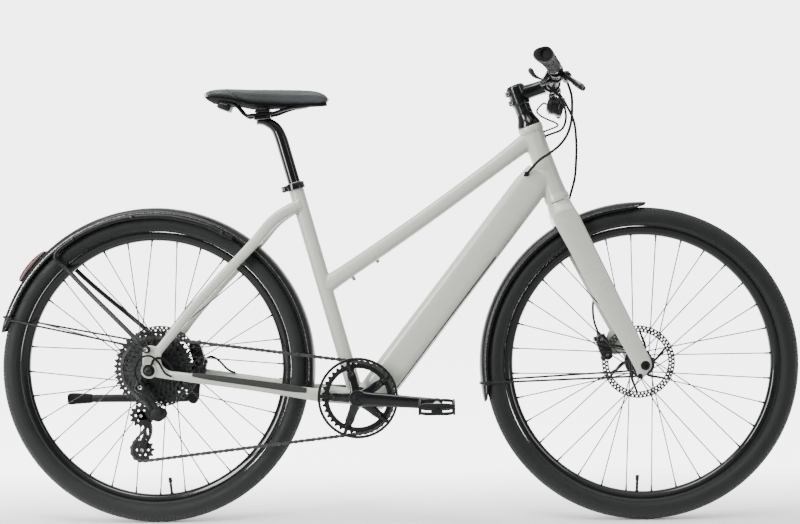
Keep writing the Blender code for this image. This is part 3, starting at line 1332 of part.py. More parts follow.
def kickstand_bracket():
    """Plate bolted outside the left chainstay, with the pin that the leg turns on."""
    body = plate([(57.0, 345.0), (51.0, 332.0), (53.0, 262.0), (59.0, 250.0), (72.0, 250.0), (80.0, 262.0),
                  (86.0, 330.0), (80.0, 343.0)], 79.4, 85.0)
    foot = plate([(62.0, 311.0), (62.0, 298.0), (84.0, 298.0), (84.0, 311.0)], 64.0, 81.5)
    axis = kickstand_axis()
    pin = rod(KICK_PIVOT, 4.0, -7.0, 12.0, axis, 8)
    boss = hull(circle(KICK_PIVOT + axis * 9.0, 11.0, X_AXIS, axis.cross(X_AXIS), 12)
                + circle(Vector((KICK_PIVOT.x, 84.0, KICK_PIVOT.z)), 12.0, X_AXIS, Z_AXIS, 12))
    return carve(weld(body, foot, boss, pin), chainstay(1.0, GAP))


def kickstand_leg():
    """Leg folded back along the bicycle, with a bored eye and a rubber-like foot."""
    axis = kickstand_axis()
    eye = washer(KICK_PIVOT, 4.0 + 0.4, 11.0, -5.0, 8.0, axis, 12)
    start = KICK_PIVOT - X_AXIS * 8.0
    end = KICK_PIVOT - X_AXIS * KICKSTAND_LENGTH
    leg = tube([start, start.lerp(end, 0.15), start.lerp(end, 0.82)], [(8.0, 7.0), (7.0, 7.0), (7.0, 7.0)], steps=10)
    foot = tube([start.lerp(end, 0.8), start.lerp(end, 0.86), start.lerp(end, 0.96), end],
                [(8.5, 8.5), (9.5, 9.5), (10.5, 12.0), (8.0, 9.5)], steps=10)
    return weld(eye, leg, foot)


# Hoses and cables

HOSE_RADIUS = 2.5
LAMP_WIRE_RADIUS = 1.6


def hose_start(side):
    """The first two places of a brake's hose, in line with the inner end of its cylinder."""
    outer, inner = cylinder_ends(side)
    along = (inner - outer).normalized()
    return [inner + along * 1.2, inner + along * 11.0]


def rear_brake_hose():
    """From the right lever's cylinder down in front of the head tube and into the down tube's port."""
    return cable(hose_start(-1.0) + [(907.0, -86.0, 915.0), (909.0, -78.0, 888.0),
                  (908.0, -66.0, 860.0), (900.0, -58.0, 833.0), (884.0, -52.0, 811.0), (862.0, -47.0, 793.0),
                  (838.0, -45.0, 777.0), PORT + PORT_ALONG * 17.0, PORT + PORT_ALONG * 2.0], HOSE_RADIUS)


def shift_cable():
    """From the shifter's pod in front of the head tube to the upper grommet."""
    hole = steer(GROMMET_HEIGHT, 0.0) - STEER_UP * 10.0 + STEER_AHEAD * 23.5
    pod = shift_pivot() - STEER_UP * 5.0
    return cable([pod + point(4.0, 13.2, 1.0), pod + point(9.0, 23.0, -6.0), (884.0, -62.0, 913.0),
                  (896.0, -48.0, 892.0), (900.0, -30.0, 868.0), (892.0, -14.0, 848.0), hole + STEER_AHEAD * 12.0,
                  hole], HOSE_RADIUS - 0.3)


def lamp_wire():
    """Thin wire from the back of the headlamp, looped to let the bars turn, to the grommet."""
    hole = steer(GROMMET_HEIGHT, 0.0) + STEER_AHEAD * 23.5
    back = LAMP_CENTRE - LAMP_FACING * 20.5
    return cable([back, back - LAMP_FACING * 8.0, (839.0, -18.0, 889.0), (846.0, -27.0, 877.0),
                  (862.0, -29.0, 868.0), (878.0, -22.0, 862.0), (884.0, -12.0, 856.0),
                  hole + STEER_AHEAD * 14.0 + Y_AXIS * -2.0, hole], LAMP_WIRE_RADIUS)


def front_brake_hose():
    """From the left lever's cylinder down to the hole in the fork crown."""
    hole = steer(369.0, *CROWN_HOLE)
    return cable(hose_start(1.0) + [(914.0, 84.0, 908.0), (927.0, 66.0, 872.0),
                  (930.0, 50.0, 828.0), (928.0, 38.0, 784.0), (923.0, 28.0, 742.0), hole + STEER_UP * 16.0
                  + STEER_AHEAD * 3.0, hole], HOSE_RADIUS)


def rear_brake_hose_end():
    """From the rear caliper's front face down to the inner top edge of the left chainstay."""
    outward = polar(Vector(), 1.0, REAR_CALIPER_TURN)
    start = REAR_AXLE + outward * (REAR_CALIPER_REACH + CALIPER_DEPTH / 2.0 + 0.9) + Y_AXIS * 47.0
    start += Y_AXIS.cross(outward) * 16.0
    return cable([start, start + outward * 11.0, (127.0, 48.0, 352.0), (138.0, 50.0, 341.0),
                  (148.0, 52.5, 330.0), (157.0, 54.2, 324.4), (166.0, 55.0, 321.3)], HOSE_RADIUS)


def shift_cable_end():
    """From the right chainstay's end round the back of the dropout to the derailleur."""
    return cable([(50.0, -84.0, 326.0), (36.0, -84.5, 334.0), (22.0, -87.0, 358.0), (6.0, -90.5, 371.0),
                  (-13.0, -91.5, 368.0), (-24.0, -91.0, 352.0), (-27.0, -89.0, 334.0),
                  (-21.6, -85.5, 315.8)], HOSE_RADIUS - 0.3)


# Assembly

def clear_scene():
    for thing in list(bpy.data.objects):
        bpy.data.objects.remove(thing)


def make_bodies():
    """Empties on the joints' axes: a body's name gives its pivot and the body that carries it."""
    handed = {"right": -1.0, "left": 1.0}
    pivots = {
        "bicycle_frame": (ORIGIN, None),
        "steering": (steer(HEAD_BOTTOM, 0.0), "bicycle_frame"),
        "front_wheel": (FRONT_AXLE, "steering"),
        "rear_wheel": (REAR_AXLE, "bicycle_frame"),
        "cassette_body": (REAR_AXLE + Y_AXIS * BIG_COG_Y, "bicycle_frame"),
        "crankset": (CRANK_AXLE, "bicycle_frame"),
        "upper_jockey_body": (point(UPPER_JOCKEY[0], BIG_COG_Y - COG_SPACING, UPPER_JOCKEY[1]), "bicycle_frame"),
        "lower_jockey_body": (point(LOWER_JOCKEY[0], BIG_COG_Y - COG_SPACING, LOWER_JOCKEY[1]), "bicycle_frame"),
        "seatpost_body": (seat(SEAT_TUBE_LENGTH), "bicycle_frame"),
        "kickstand": (KICK_PIVOT, "bicycle_frame"),
        "shift_lever_body": (shift_pivot(), "steering"),
    }
    for hand, side in handed.items():
        pivots[hand + "_pedal_body"] = (pedal_place(side), "crankset")
        pivots[hand + "_brake_lever_body"] = (lever_pivot(side), "steering")
    bodies = {}
    for name, (pivot, carrier) in pivots.items():
        empty = bpy.data.objects.new(name, None)
        empty.empty_display_size = 0.03
        bpy.context.scene.collection.objects.link(empty)
        place = (pivot - ORIGIN) * 0.001
        if carrier is not None:
            empty.parent = bodies[carrier][0]
            empty.location = place - bodies[carrier][1]
        bodies[name] = (empty, place)
    return bodies


def add_node(name, thing, finish, body):
    """Name a finished body, give it its material and hang it on its joint's empty."""
    empty, place = body
    thing.name = name
    thing.data.name = name
    thing.data.materials.clear()
    thing.data.materials.append(finish)
    thing.data.transform(Matrix.Translation(-place))
    if thing.type == "MESH":
        thing.data.shade_smooth()
        thing.data.set_sharp_from_angle(angle=math.radians(32.0))
    thing.parent = empty


def make_bicycle():
    finish = make_materials()
    bodies = make_bodies()
    nodes = [
        ("frame", make_frame(), "paint", "bicycle_frame"),
        ("battery_pack", battery_pack(), "plastic", "bicycle_frame"),
        ("battery_door", battery_door(), "paint", "bicycle_frame"),
        ("upper_headset_bearing", headset_bearing(HEAD_TUBE_LENGTH - 7.5, HEAD_TUBE_LENGTH - 0.5), "steel",
         "bicycle_frame"),
        ("lower_headset_bearing", headset_bearing(0.5, 7.5), "steel", "bicycle_frame"),
        ("bottom_bracket", bottom_bracket(), "anodised", "bicycle_frame"),
        ("seat_clamp", seat_clamp(), "anodised", "bicycle_frame"),
        ("rear_mudguard", rear_mudguard(), "black", "bicycle_frame"),
        ("carrier_tube_right", carrier_tube(-1.0), "black", "bicycle_frame"),
        ("carrier_tube_left", carrier_tube(1.0), "black", "bicycle_frame"),
        ("rear_lamp", rear_lamp(), "lens", "bicycle_frame"),
        ("rear_caliper", rear_caliper(), "anodised", "bicycle_frame"),
        ("rear_axle", rear_axle(), "steel", "bicycle_frame"),
        ("motor_core", washer(REAR_AXLE, AXLE_SLEEVE_RADIUS + GAP, MOTOR_RADIUS - 18.0, -20.0, 21.0, steps=16), "steel",
         "bicycle_frame"),
        ("kickstand_bracket", kickstand_bracket(), "black", "bicycle_frame"),
        ("kickstand_leg", kickstand_leg(), "black", "kickstand"),
        ("derailleur_body", derailleur_body(), "anodised", "bicycle_frame"),
        ("derailleur_cage", derailleur_cage(), "anodised", "bicycle_frame"),
        ("upper_jockey", jockey(UPPER_JOCKEY), "plastic", "upper_jockey_body"),
        ("lower_jockey", jockey(LOWER_JOCKEY), "plastic", "lower_jockey_body"),
        ("chain", make_chain(), "steel", "bicycle_frame"),
        ("cassette", cassette(), "steel", "cassette_body"),
        ("right_crank", right_crank(), "anodised", "crankset"),
        ("left_crank", left_crank(), "anodised", "crankset"),
        ("chainring", chainring(), "black", "crankset"),
        ("right_pedal", pedal(-1.0), "plastic", "right_pedal_body"),
        ("left_pedal", pedal(1.0), "plastic", "left_pedal_body"),
        ("seatpost", seatpost(), "anodised", "seatpost_body"),
        ("saddle_rails", saddle_rails(), "steel", "seatpost_body"),
        ("saddle_cover", saddle_cover(), "saddle", "seatpost_body"),
        ("fork", make_fork(), "paint", "steering"),
        ("headset_spacers", headset_spacers(), "anodised", "steering"),
        ("stem", make_stem(), "anodised", "steering"),
        ("handlebar", make_handlebar(), "anodised", "steering"),
        ("headlamp", headlamp(), "plastic", "steering"),
        ("front_mudguard", front_mudguard(), "black", "steering"),
        ("front_caliper", front_caliper(), "anodised", "steering"),
        ("front_axle", front_axle(), "steel", "steering"),
        ("shifter_body", shifter_body(), "plastic", "steering"),
        ("shift_lever", shift_lever(), "plastic", "shift_lever_body"),
        ("front_brake_hose", front_brake_hose(), "rubber", "steering"),
        ("rear_brake_hose", rear_brake_hose(), "rubber", "steering"),
        ("shift_cable", shift_cable(), "rubber", "steering"),
        ("lamp_wire", lamp_wire(), "rubber", "steering"),
        ("rear_brake_hose_end", rear_brake_hose_end(), "rubber", "bicycle_frame"),
        ("shift_cable_end", shift_cable_end(), "rubber", "bicycle_frame"),
    ]
    for hand, side in (("right", -1.0), ("left", 1.0)):
        nodes.append((hand + "_grip", grip(side), "rubber", "steering"))
        nodes.append((hand + "_brake_body", brake_body(side), "anodised", "steering"))
        nodes.append((hand + "_brake_lever", brake_lever(side), "anodised", hand + "_brake_lever_body"))
    for end, axle, hub, radius in (("front", FRONT_AXLE, front_hub, FRONT_ROTOR_RADIUS),
                                   ("rear", REAR_AXLE, rear_hub, REAR_ROTOR_RADIUS)):
        nodes.append((end + "_tyre", tyre(axle), "tyre", end + "_wheel"))
        nodes.append((end + "_rim", rim(axle), "anodised", end + "_wheel"))
        nodes.append((end + "_hub", hub(), "anodised", end + "_wheel"))
        nodes.append((end + "_rotor", rotor(axle, radius), "rotor", end + "_wheel"))
    for name, thing, finish_name, body_name in nodes:
        add_node(name, thing, finish[finish_name], bodies[body_name])


clear_scene()
make_bicycle()
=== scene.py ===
# %% [markdown]
# # An electric bicycle, dressed over its CAD frame
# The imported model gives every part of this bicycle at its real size: it is the skeleton of the lesson.
# Each step below makes one real piece or one real finish on top of it. All the shapes come from a few
# ways of making a mesh: a lathe, a loft, a swept tube, a plate with holes, and tubes melted together.

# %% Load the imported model
import json
import math

import bmesh
import bpy
from mathutils import Matrix, Vector

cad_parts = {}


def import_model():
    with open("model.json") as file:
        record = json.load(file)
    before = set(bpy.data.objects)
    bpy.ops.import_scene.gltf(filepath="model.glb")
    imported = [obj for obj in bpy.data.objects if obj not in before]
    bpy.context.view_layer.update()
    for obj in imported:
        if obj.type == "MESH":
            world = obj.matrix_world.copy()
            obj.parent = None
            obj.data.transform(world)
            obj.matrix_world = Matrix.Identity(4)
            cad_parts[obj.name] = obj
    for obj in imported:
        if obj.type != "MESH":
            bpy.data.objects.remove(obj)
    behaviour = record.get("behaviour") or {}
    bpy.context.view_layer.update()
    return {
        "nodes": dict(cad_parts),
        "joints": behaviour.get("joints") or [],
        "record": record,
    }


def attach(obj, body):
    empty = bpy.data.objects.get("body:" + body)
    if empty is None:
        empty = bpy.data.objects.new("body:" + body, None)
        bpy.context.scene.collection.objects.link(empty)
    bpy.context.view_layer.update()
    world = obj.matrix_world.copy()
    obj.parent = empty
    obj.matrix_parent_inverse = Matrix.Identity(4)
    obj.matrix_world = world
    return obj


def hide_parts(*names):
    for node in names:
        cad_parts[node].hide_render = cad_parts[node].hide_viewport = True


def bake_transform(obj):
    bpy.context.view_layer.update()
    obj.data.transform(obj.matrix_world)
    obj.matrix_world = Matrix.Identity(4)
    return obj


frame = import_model()
joints = {joint["name"]: joint for joint in frame["joints"]}

# %% [markdown]
# ## Where things are
# Lengths are written in millimetres, as on a workshop drawing: x runs forward from the rear axle, y to
# the rider's left and z up from the ground. The rear wheel's joint tells where that rear axle lies in
# the model, so one function turns a drawing point into a scene point.

# %% Points of the drawing
REAR_JOINT = Vector(joints["rear_wheel_spin"]["pos_m"])
X_AXIS = Vector((1, 0, 0))
Y_AXIS = Vector((0, 1, 0))
Z_AXIS = Vector((0, 0, 1))
MM = 0.001
SIDES = (-1, 1)


def world(place):
    return Vector((place.x * MM + REAR_JOINT.x, place.y * MM, place.z * MM))


def point(x, y, z):
    return Vector((x, y, z))


def drawing(place_m):
    """The drawing point of a place that the record gives in metres."""
    return Vector(((place_m[0] - REAR_JOINT.x) / MM, place_m[1] / MM, place_m[2] / MM))


REAR_AXLE = drawing(joints["rear_wheel_spin"]["pos_m"])
FRONT_AXLE = drawing(joints["front_wheel_spin"]["pos_m"])
CRANK_AXLE = drawing(joints["crank_spin"]["pos_m"])
STEER_UP = Vector(joints["steering_turn"]["axis"]).normalized()
STEER_AHEAD = Vector((STEER_UP.z, 0, -STEER_UP.x))
SEAT_UP = Vector(joints["seatpost_slide"]["axis"]).normalized()
CROWN_RACE = drawing(joints["steering_turn"]["pos_m"])
STEER_FOOT = CROWN_RACE - STEER_UP * 393


def steer(height, ahead, y=0):
    """Point at a height along the steering axis, and a distance in front of that axis."""
    return STEER_FOOT + STEER_UP * height + STEER_AHEAD * ahead + Y_AXIS * y


def seat(height, y=0):
    """Point on the seat tube's axis at a height above its foot."""
    return CRANK_AXLE - X_AXIS * 6.6 + SEAT_UP * height + Y_AXIS * y


def polar(centre, radius, degrees, y=0):
    angle = math.radians(degrees)
    return centre + Vector((radius * math.cos(angle), y, radius * math.sin(angle)))


print("wheelbase in mm:", round(FRONT_AXLE.x - REAR_AXLE.x, 1))

# %% [markdown]
# ## Ways of making a mesh
# A lathe turns a profile about an axis, as real hubs and rims are turned. A loft joins sections along a
# path, as a hydroformed tube changes its section. Both make rings of corners, and one function skins
# rings. A plate with holes is a flat filled curve, because Blender fills round the holes by itself.

# %% Skins, lathes and lofts
def linked(mesh):
    """An object of the scene that shows a mesh."""
    piece = bpy.data.objects.new("piece", mesh)
    bpy.context.scene.collection.objects.link(piece)
    return piece


def finished(work, sharp=None):
    """Write worked-on geometry to a new piece; edges sharper than the angle stay crisp."""
    mesh = bpy.data.meshes.new("piece")
    work.to_mesh(mesh)
    work.free()
    if sharp is not None:
        smoothed(mesh, sharp)
    return linked(mesh)


def smoothed(mesh, sharp):
    mesh.shade_smooth()
    mesh.set_sharp_from_angle(angle=math.radians(sharp))


def skinned(rings, closed=False, sharp=35):
    """Join rings of corners: capped at both ends, or closed on itself like a tyre."""
    count = len(rings[0])
    corners = [corner for ring in rings for corner in ring]
    faces = []
    for row in range(len(rings) if closed else len(rings) - 1):
        here = row * count
        there = (row + 1) % len(rings) * count
        for step in range(count):
            after = (step + 1) % count
            faces.append((here + step, here + after, there + after, there + step))
    if not closed:
        faces += [tuple(range(count)), tuple(range(len(corners) - count, len(corners)))]
    mesh = bpy.data.meshes.new("skin")
    mesh.from_pydata([world(corner) for corner in corners], [], faces)
    work = bmesh.new()
    work.from_mesh(mesh)
    bpy.data.meshes.remove(mesh)
    bmesh.ops.recalc_face_normals(work, faces=work.faces)
    return finished(work, sharp)


def circle(centre, radius, first, second, steps):
    turns = [2 * math.pi * step / steps for step in range(steps)]
    return [centre + first * (radius * math.cos(turn)) + second * (radius * math.sin(turn))
        for turn in turns]


def turned(profile, centre, axis=Y_AXIS, steps=48, closed=False, sharp=35):
    """Turn (radius, distance along the axis) pairs about an axis; a closed profile makes a ring."""
    first = X_AXIS if abs(axis.x) < 0.1 else axis.cross(Y_AXIS).normalized()
    second = axis.cross(first).normalized()
    rings = [circle(centre + axis * along, radius, first, second, steps) for radius, along in profile]
    return skinned(rings, closed, sharp)


def mirrored(half):
    """A profile from the half that lies below zero on the axis."""
    return half + [(radius, -along) for radius, along in reversed(half)]


def rounded_rod(centre, radius, low, high, axis=Y_AXIS, edge=0.8, steps=32):
    """A short bar with softened edges, such as a bolt head or a pin."""
    profile = [(radius - edge, low), (radius - edge * 0.3, low + edge * 0.3), (radius, low + edge),
        (radius, high - edge), (radius - edge * 0.3, high - edge * 0.3), (radius - edge, high)]
    return turned(profile, centre, axis, steps)


def through(rows, steps):
    """Rows of numbers spread evenly between the given rows, on a smooth curve through them."""
    first = [2 * a - b for a, b in zip(rows[0], rows[1])]
    last = [2 * a - b for a, b in zip(rows[-1], rows[-2])]
    ends = [first] + [list(row) for row in rows] + [last]
    made = []
    for place in range(1, len(ends) - 2):
        for step in range(steps):
            t = step / steps
            made.append([0.5 * (2 * b + (c - a) * t + (2 * a - 5 * b + 4 * c - d) * t * t +
                (3 * b - a - 3 * c + d) * t ** 3) for a, b, c, d in zip(*ends[place - 1:place + 3])])
    return made + [list(rows[-1])]


def route_through(points, steps=8):
    return [Vector(row) for row in through([tuple(place) for place in points], steps)]


def swept(path, radius, sides=12):
    """A round tube along a path, without twist; the radius may be one number or one for each point."""
    rings = []
    across = None
    for place, centre in enumerate(path):
        along = (path[min(place + 1, len(path) - 1)] - path[max(place - 1, 0)]).normalized()
        across = along.orthogonal() if across is None else across - along * across.dot(along)
        across.normalize()
        size = radius if isinstance(radius, (int, float)) else radius[place]
        rings.append(circle(centre, size, across, along.cross(across), sides))
    return skinned(rings, sharp=50)


def oval(half_width, half_height, steps, power):
    """Points of a superellipse: power 2 is an ellipse, and a higher one is squarer."""
    points = []
    for step in range(steps):
        turn = 2 * math.pi * (step + 0.5) / steps
        across = math.copysign(abs(math.cos(turn)) ** (2 / power), math.cos(turn))
        upward = math.copysign(abs(math.sin(turn)) ** (2 / power), math.sin(turn))
        points.append((half_width * across, half_height * upward))
    return points


def lofted(stations, sides=32, power=2, side=Y_AXIS, steps=6):
    """Loft through (place, half width, half height) stations, with smooth changes between them."""
    rows = through([(*place, width, height) for place, width, height in stations], steps)
    rings = []
    for place, row in enumerate(rows):
        centre = Vector(row[:3])
        before = Vector(rows[max(place - 1, 0)][:3])
        after = Vector(rows[min(place + 1, len(rows) - 1)][:3])
        along = (after - before).normalized()
        across = (side - along * side.dot(along)).normalized()
        upward = across.cross(along)
        rings.append([centre + across * a + upward * b for a, b in oval(row[3], row[4], sides, power)])
    return skinned(rings)


print("mesh makers ready")


# %% Plates, hulls and edges
def plate(outline, low, high, centre=Vector(), along=X_AXIS, upward=Z_AXIS):
    """An outline of (along, upward) points, extruded sideways from low to high."""
    side = upward.cross(along)
    return skinned([[centre + along * a + upward * b + side * depth for a, b in outline]
        for depth in (low, high)])


def evaluated(piece):
    """A piece's mesh after its modifiers."""
    return bpy.data.meshes.new_from_object(piece.evaluated_get(bpy.context.evaluated_depsgraph_get()))


def pierced(outline, holes, low, high, centre=Vector(), along=X_AXIS, upward=Z_AXIS, edge=0.2):
    """A plate with holes, with its edges broken by a small chamfer as after deburring."""
    curve = bpy.data.curves.new("outline", "CURVE")
    curve.dimensions = "2D"
    curve.fill_mode = "BOTH"
    for ring in [outline] + holes:
        spline = curve.splines.new("POLY")
        spline.points.add(len(ring) - 1)
        for target, (a, b) in zip(spline.points, ring):
            target.co = (a * MM, b * MM, 0, 1)
        spline.use_cyclic_u = True
    curve.extrude = ((high - low) / 2 - edge) * MM
    curve.bevel_depth = edge * MM
    curve.offset = -edge * MM
    carrier = linked(curve)
    bpy.context.view_layer.update()
    mesh = evaluated(carrier)
    bpy.data.objects.remove(carrier)
    side = upward.cross(along)
    turn = Matrix((along, upward, along.cross(upward))).transposed().to_4x4()
    mesh.transform(Matrix.Translation(world(centre + side * ((low + high) / 2))) @ turn)
    work = bmesh.new()
    work.from_mesh(mesh)
    bpy.data.meshes.remove(mesh)
    bmesh.ops.remove_doubles(work, verts=work.verts, dist=1e-6)
    bmesh.ops.recalc_face_normals(work, faces=work.faces)
    return finished(work, 30)


def round_outline(radius, sides=48, a=0, b=0):
    turns = [2 * math.pi * step / sides for step in range(sides)]
    return [(a + radius * math.cos(turn), b + radius * math.sin(turn)) for turn in turns]


def ring_of(radius, count, hole, turn=0, sides=10):
    """Outlines of round holes spread evenly on a circle."""
    angles = [math.radians(turn) + 2 * math.pi * place / count for place in range(count)]
    return [round_outline(hole, sides, radius * math.cos(angle), radius * math.sin(angle))
        for angle in angles]


def hull(corners):
    """The convex body round a set of corners, as a forging's web wraps its bosses."""
    work = bmesh.new()
    for corner in corners:
        work.verts.new(world(corner))
    result = bmesh.ops.convex_hull(work, input=work.verts)
    inside = {item for item in result["geom_interior"] if isinstance(item, bmesh.types.BMVert)}
    bmesh.ops.delete(work, geom=list(inside), context="VERTS")
    bmesh.ops.dissolve_limit(work, angle_limit=math.radians(1), verts=work.verts, edges=work.edges)
    bmesh.ops.recalc_face_normals(work, faces=work.faces)
    return finished(work, 35)


def discs(*places, steps=24):
    """Corners of short round discs, each given as centre, radius, low and high along y."""
    corners = []
    for centre, radius, low, high in places:
        for depth in (low, high):
            corners += circle(Vector((centre.x, depth, centre.z)), radius, X_AXIS, Z_AXIS, steps)
    return corners


def applied(piece, sharp=35):
    """Make a piece's modifiers final."""
    bpy.context.view_layer.update()
    mesh = evaluated(piece)
    piece.modifiers.clear()
    piece.data = mesh
    smoothed(mesh, sharp)
    return piece


def modified(piece, kind, **settings):
    """Give a piece one more modifier, with its settings."""
    added = piece.modifiers.new(kind.lower(), kind)
    for name, value in settings.items():
        setattr(added, name, value)
    return piece


def softened(piece, width=0.8, segments=2, angle=35):
    """Round a piece's hard edges, which a real casting or moulding always has."""
    return applied(modified(piece, "BEVEL", width=width * MM, segments=segments, limit_method="ANGLE",
        angle_limit=math.radians(angle), harden_normals=False), 50)


def block(centre, length, width, height, edge=1, along=X_AXIS, upward=Z_AXIS):
    """A block with rounded edges: length along, height upward and width sideways."""
    a = length / 2
    b = height / 2
    return softened(plate([(-a, -b), (a, -b), (a, b), (-a, b)], -width / 2, width / 2, centre, along,
        upward), edge, 3)


def gathered(pieces, sharp=None):
    """Several bodies in one mesh."""
    work = bmesh.new()
    for piece in pieces:
        work.from_mesh(piece.data)
        bpy.data.objects.remove(piece)
    return finished(work, sharp)


def melted(pieces, voxel, rounds):
    """Melt bodies into one skin with soft fillets where they meet, like filed and painted welds."""
    made = modified(gathered(pieces), "REMESH", mode="VOXEL", voxel_size=voxel * MM)
    return applied(modified(made, "SMOOTH", factor=0.5, iterations=rounds), 60)


def cut(piece, cutters, keep="DIFFERENCE", sharp=40):
    """Bore or trim a piece with other bodies."""
    for cutter in cutters:
        modified(piece, "BOOLEAN", operation=keep, solver="EXACT", object=cutter)
    applied(piece, sharp)
    for cutter in cutters:
        bpy.data.objects.remove(cutter)
    return piece


print("plates, hulls and cuts ready")

# %% [markdown]
# ## Finishes
# Every finish starts from what the real surface is. One function turns the hex colours that a paint
# chart or a screen gives into the linear values that light works with. Another adds one node with its
# settings and links, so that a pattern reads like a recipe. Pattern sizes are given in millimetres.

# %% Colours and nodes
def linear(hex_colour):
    """Linear red, green, blue and full alpha from an sRGB hex colour such as #C8CAC3."""
    values = []
    for place in (1, 3, 5):
        share = int(hex_colour[place:place + 2], 16) / 255
        values.append(share / 12.92 if share <= 0.04045 else ((share + 0.055) / 1.055) ** 2.4)
    return (*values, 1)


def add_node(tree, kind, settings=None, links=None):
    """Add a node: settings are its own choices or its sockets' values, and links feed its sockets."""
    node = tree.nodes.new(kind)
    for name, value in (settings or {}).items():
        if name in node.inputs:
            node.inputs[name].default_value = value
        else:
            setattr(node, name, value)
    for name, source in (links or {}).items():
        tree.links.new(source, node.inputs[name])
    return node


def start_finish(name, colour, roughness, metallic=0, **sockets):
    """A material with its shader, and the coordinates that its patterns are drawn in."""
    made = bpy.data.materials.new(name)
    made.use_nodes = True
    tree = made.node_tree
    shader = tree.nodes["Principled BSDF"]
    shader.inputs["Base Color"].default_value = linear(colour)
    shader.inputs["Roughness"].default_value = roughness
    shader.inputs["Metallic"].default_value = metallic
    for socket, value in sockets.items():
        shader.inputs[socket.replace("_", " ")].default_value = value
    place = add_node(tree, "ShaderNodeTexCoord").outputs["Object"]
    made.diffuse_color = linear(colour)
    return made, tree, shader, place


def mottle(tree, shader, place, period_mm, dark, light, rough_low, rough_high):
    """Uneven tone and gloss at one size, as dust, handling and casting leave on a real surface."""
    noise = add_node(tree, "ShaderNodeTexNoise", {"Scale": 1000 / period_mm, "Detail": 4,
        "Roughness": 0.55}, {"Vector": place})
    tone = add_node(tree, "ShaderNodeMixRGB", {"Color1": linear(dark), "Color2": linear(light)},
        {"Fac": noise.outputs["Fac"]})
    tree.links.new(tone.outputs["Color"], shader.inputs["Base Color"])
    gloss = add_node(tree, "ShaderNodeMapRange", {"From Min": 0.3, "From Max": 0.7, "To Min": rough_low,
        "To Max": rough_high}, {"Value": noise.outputs["Fac"]})
    tree.links.new(gloss.outputs["Result"], shader.inputs["Roughness"])


def relief(tree, shader, height, depth_mm, strength=1):
    """Raise the surface by a pattern of that real depth."""
    bump = add_node(tree, "ShaderNodeBump", {"Distance": depth_mm * MM, "Strength": strength},
        {"Height": height})
    tree.links.new(bump.outputs["Normal"], shader.inputs["Normal"])


print("finish helpers ready")

# %% [markdown]
# The frame and fork are aluminium under polyester powder coat with a satin clear layer. Powder flows
# into a faint orange peel about two millimetres across, and the pale grey-green tone drifts very
# slightly along the tubes.

# %% Satin powder coat on the frame and fork
def finish(name, colour, roughness, metallic=0, tones=None, grain=None, **sockets):
    """A whole finish. Tones are mottle's values; grain is a pattern with its period and depth in mm."""
    made, tree, shader, place = start_finish(name, colour, roughness, metallic, **sockets)
    if tones:
        mottle(tree, shader, place, *tones)
    if grain:
        pattern, period_mm, depth_mm, strength, settings = grain
        source = add_node(tree, "ShaderNodeTex" + pattern, {"Scale": 1000 / period_mm, **settings},
            {"Vector": place})
        relief(tree, shader, source.outputs["Fac" if pattern == "Noise" else "Distance"], depth_mm,
            strength)
    return made


# Reads as pale, softly glossy paint with a slight orange peel.
PAINT = finish("satin_powder_coat", "#B4B7AC", 0.3, 0, (90, "#AEB2A6", "#B6BAAF", 0.22, 0.3),
    ("Noise", 2.2, 0.02, 0.35, {"Detail": 1.5}), IOR=1.5, Coat_Weight=0.35, Coat_Roughness=0.18)
print("made", PAINT.name)

# %% [markdown]
# Black shows on this bicycle in five ways that the eye tells apart: glossy enamel on the crank, rims
# and seatpost, satin coat on the mudguards and their tubes, bead-blasted anodising on small metal
# parts, moulded nylon with a spark-eroded grain, and soft rubber.

# %% The black finishes
# Deep black with crisp, narrow highlights.
GLOSS = finish("gloss_black_enamel", "#060708", 0.2, 0, (25, "#07080A", "#0D0E0F", 0.11, 0.2),
    ("Noise", 3, 0.01, 0.02, {"Detail": 1}), IOR=1.42, Coat_Weight=0.3, Coat_Roughness=0.1)
# Black with broad, dull highlights.
SATIN = finish("satin_black_coat", "#0E0F10", 0.34, 0, (40, "#0B0C0D", "#141516", 0.28, 0.42),
    ("Noise", 0.9, 0.02, 0.12, {"Detail": 2}), IOR=1.33, Coat_Weight=0.05, Coat_Roughness=0.3)
# Dark metal with a fine blasted sparkle.
ANODISED = finish("black_anodised_aluminium", "#131416", 0.3, 0.35, (12, "#0F1011", "#1B1C1E", 0.24, 0.38),
    ("Noise", 0.5, 0.015, 0.15, {"Detail": 1}))
# Flat, slightly greyer plastic with a pebbled grain.
NYLON = finish("moulded_black_nylon", "#121314", 0.44, 0, (15, "#0D0E0F", "#161718", 0.4, 0.54),
    ("Voronoi", 0.7, 0.03, 0.4, {}), IOR=1.38)
# Matt and soft, with hardly any highlight.
RUBBER = finish("soft_black_rubber", "#111212", 0.6, 0, (10, "#0C0D0D", "#151616", 0.54, 0.72),
    ("Noise", 0.8, 0.03, 0.5, {"Detail": 3}), IOR=1.25)
print("black finishes:", 5)

# %% [markdown]
# Tyre rubber is filled with carbon black. Its tread is matt from the road and its side wall keeps fine
# moulded rings from the turned mould, with a little grey bloom on them.

# %% Tyre rubber
# Dull black with a faint grey bloom at glancing angles.
TYRE = finish("tyre_rubber", "#181A1A", 0.55, 0, (30, "#121414", "#1C1E1E", 0.5, 0.68),
    ("Noise", 1.2, 0.05, 0.5, {"Detail": 3}), IOR=1.3, Sheen_Weight=0.12, Sheen_Roughness=0.5)
print("made", TYRE.name)

# %% [markdown]
# Steel shows as a dark oiled cassette and chain, as the darkened brake discs, and as bright stainless
# bolts. Rolled and ground steel has fine lines, drawn here as stretched noise.

# %% The steels
# Dark metal with worn, uneven gloss.
STEEL = finish("oiled_dark_steel", "#333535", 0.34, 0.95, (6, "#222424", "#474948", 0.26, 0.48),
    ("Noise", 1, 0.02, 0.4, {"Detail": 3}))
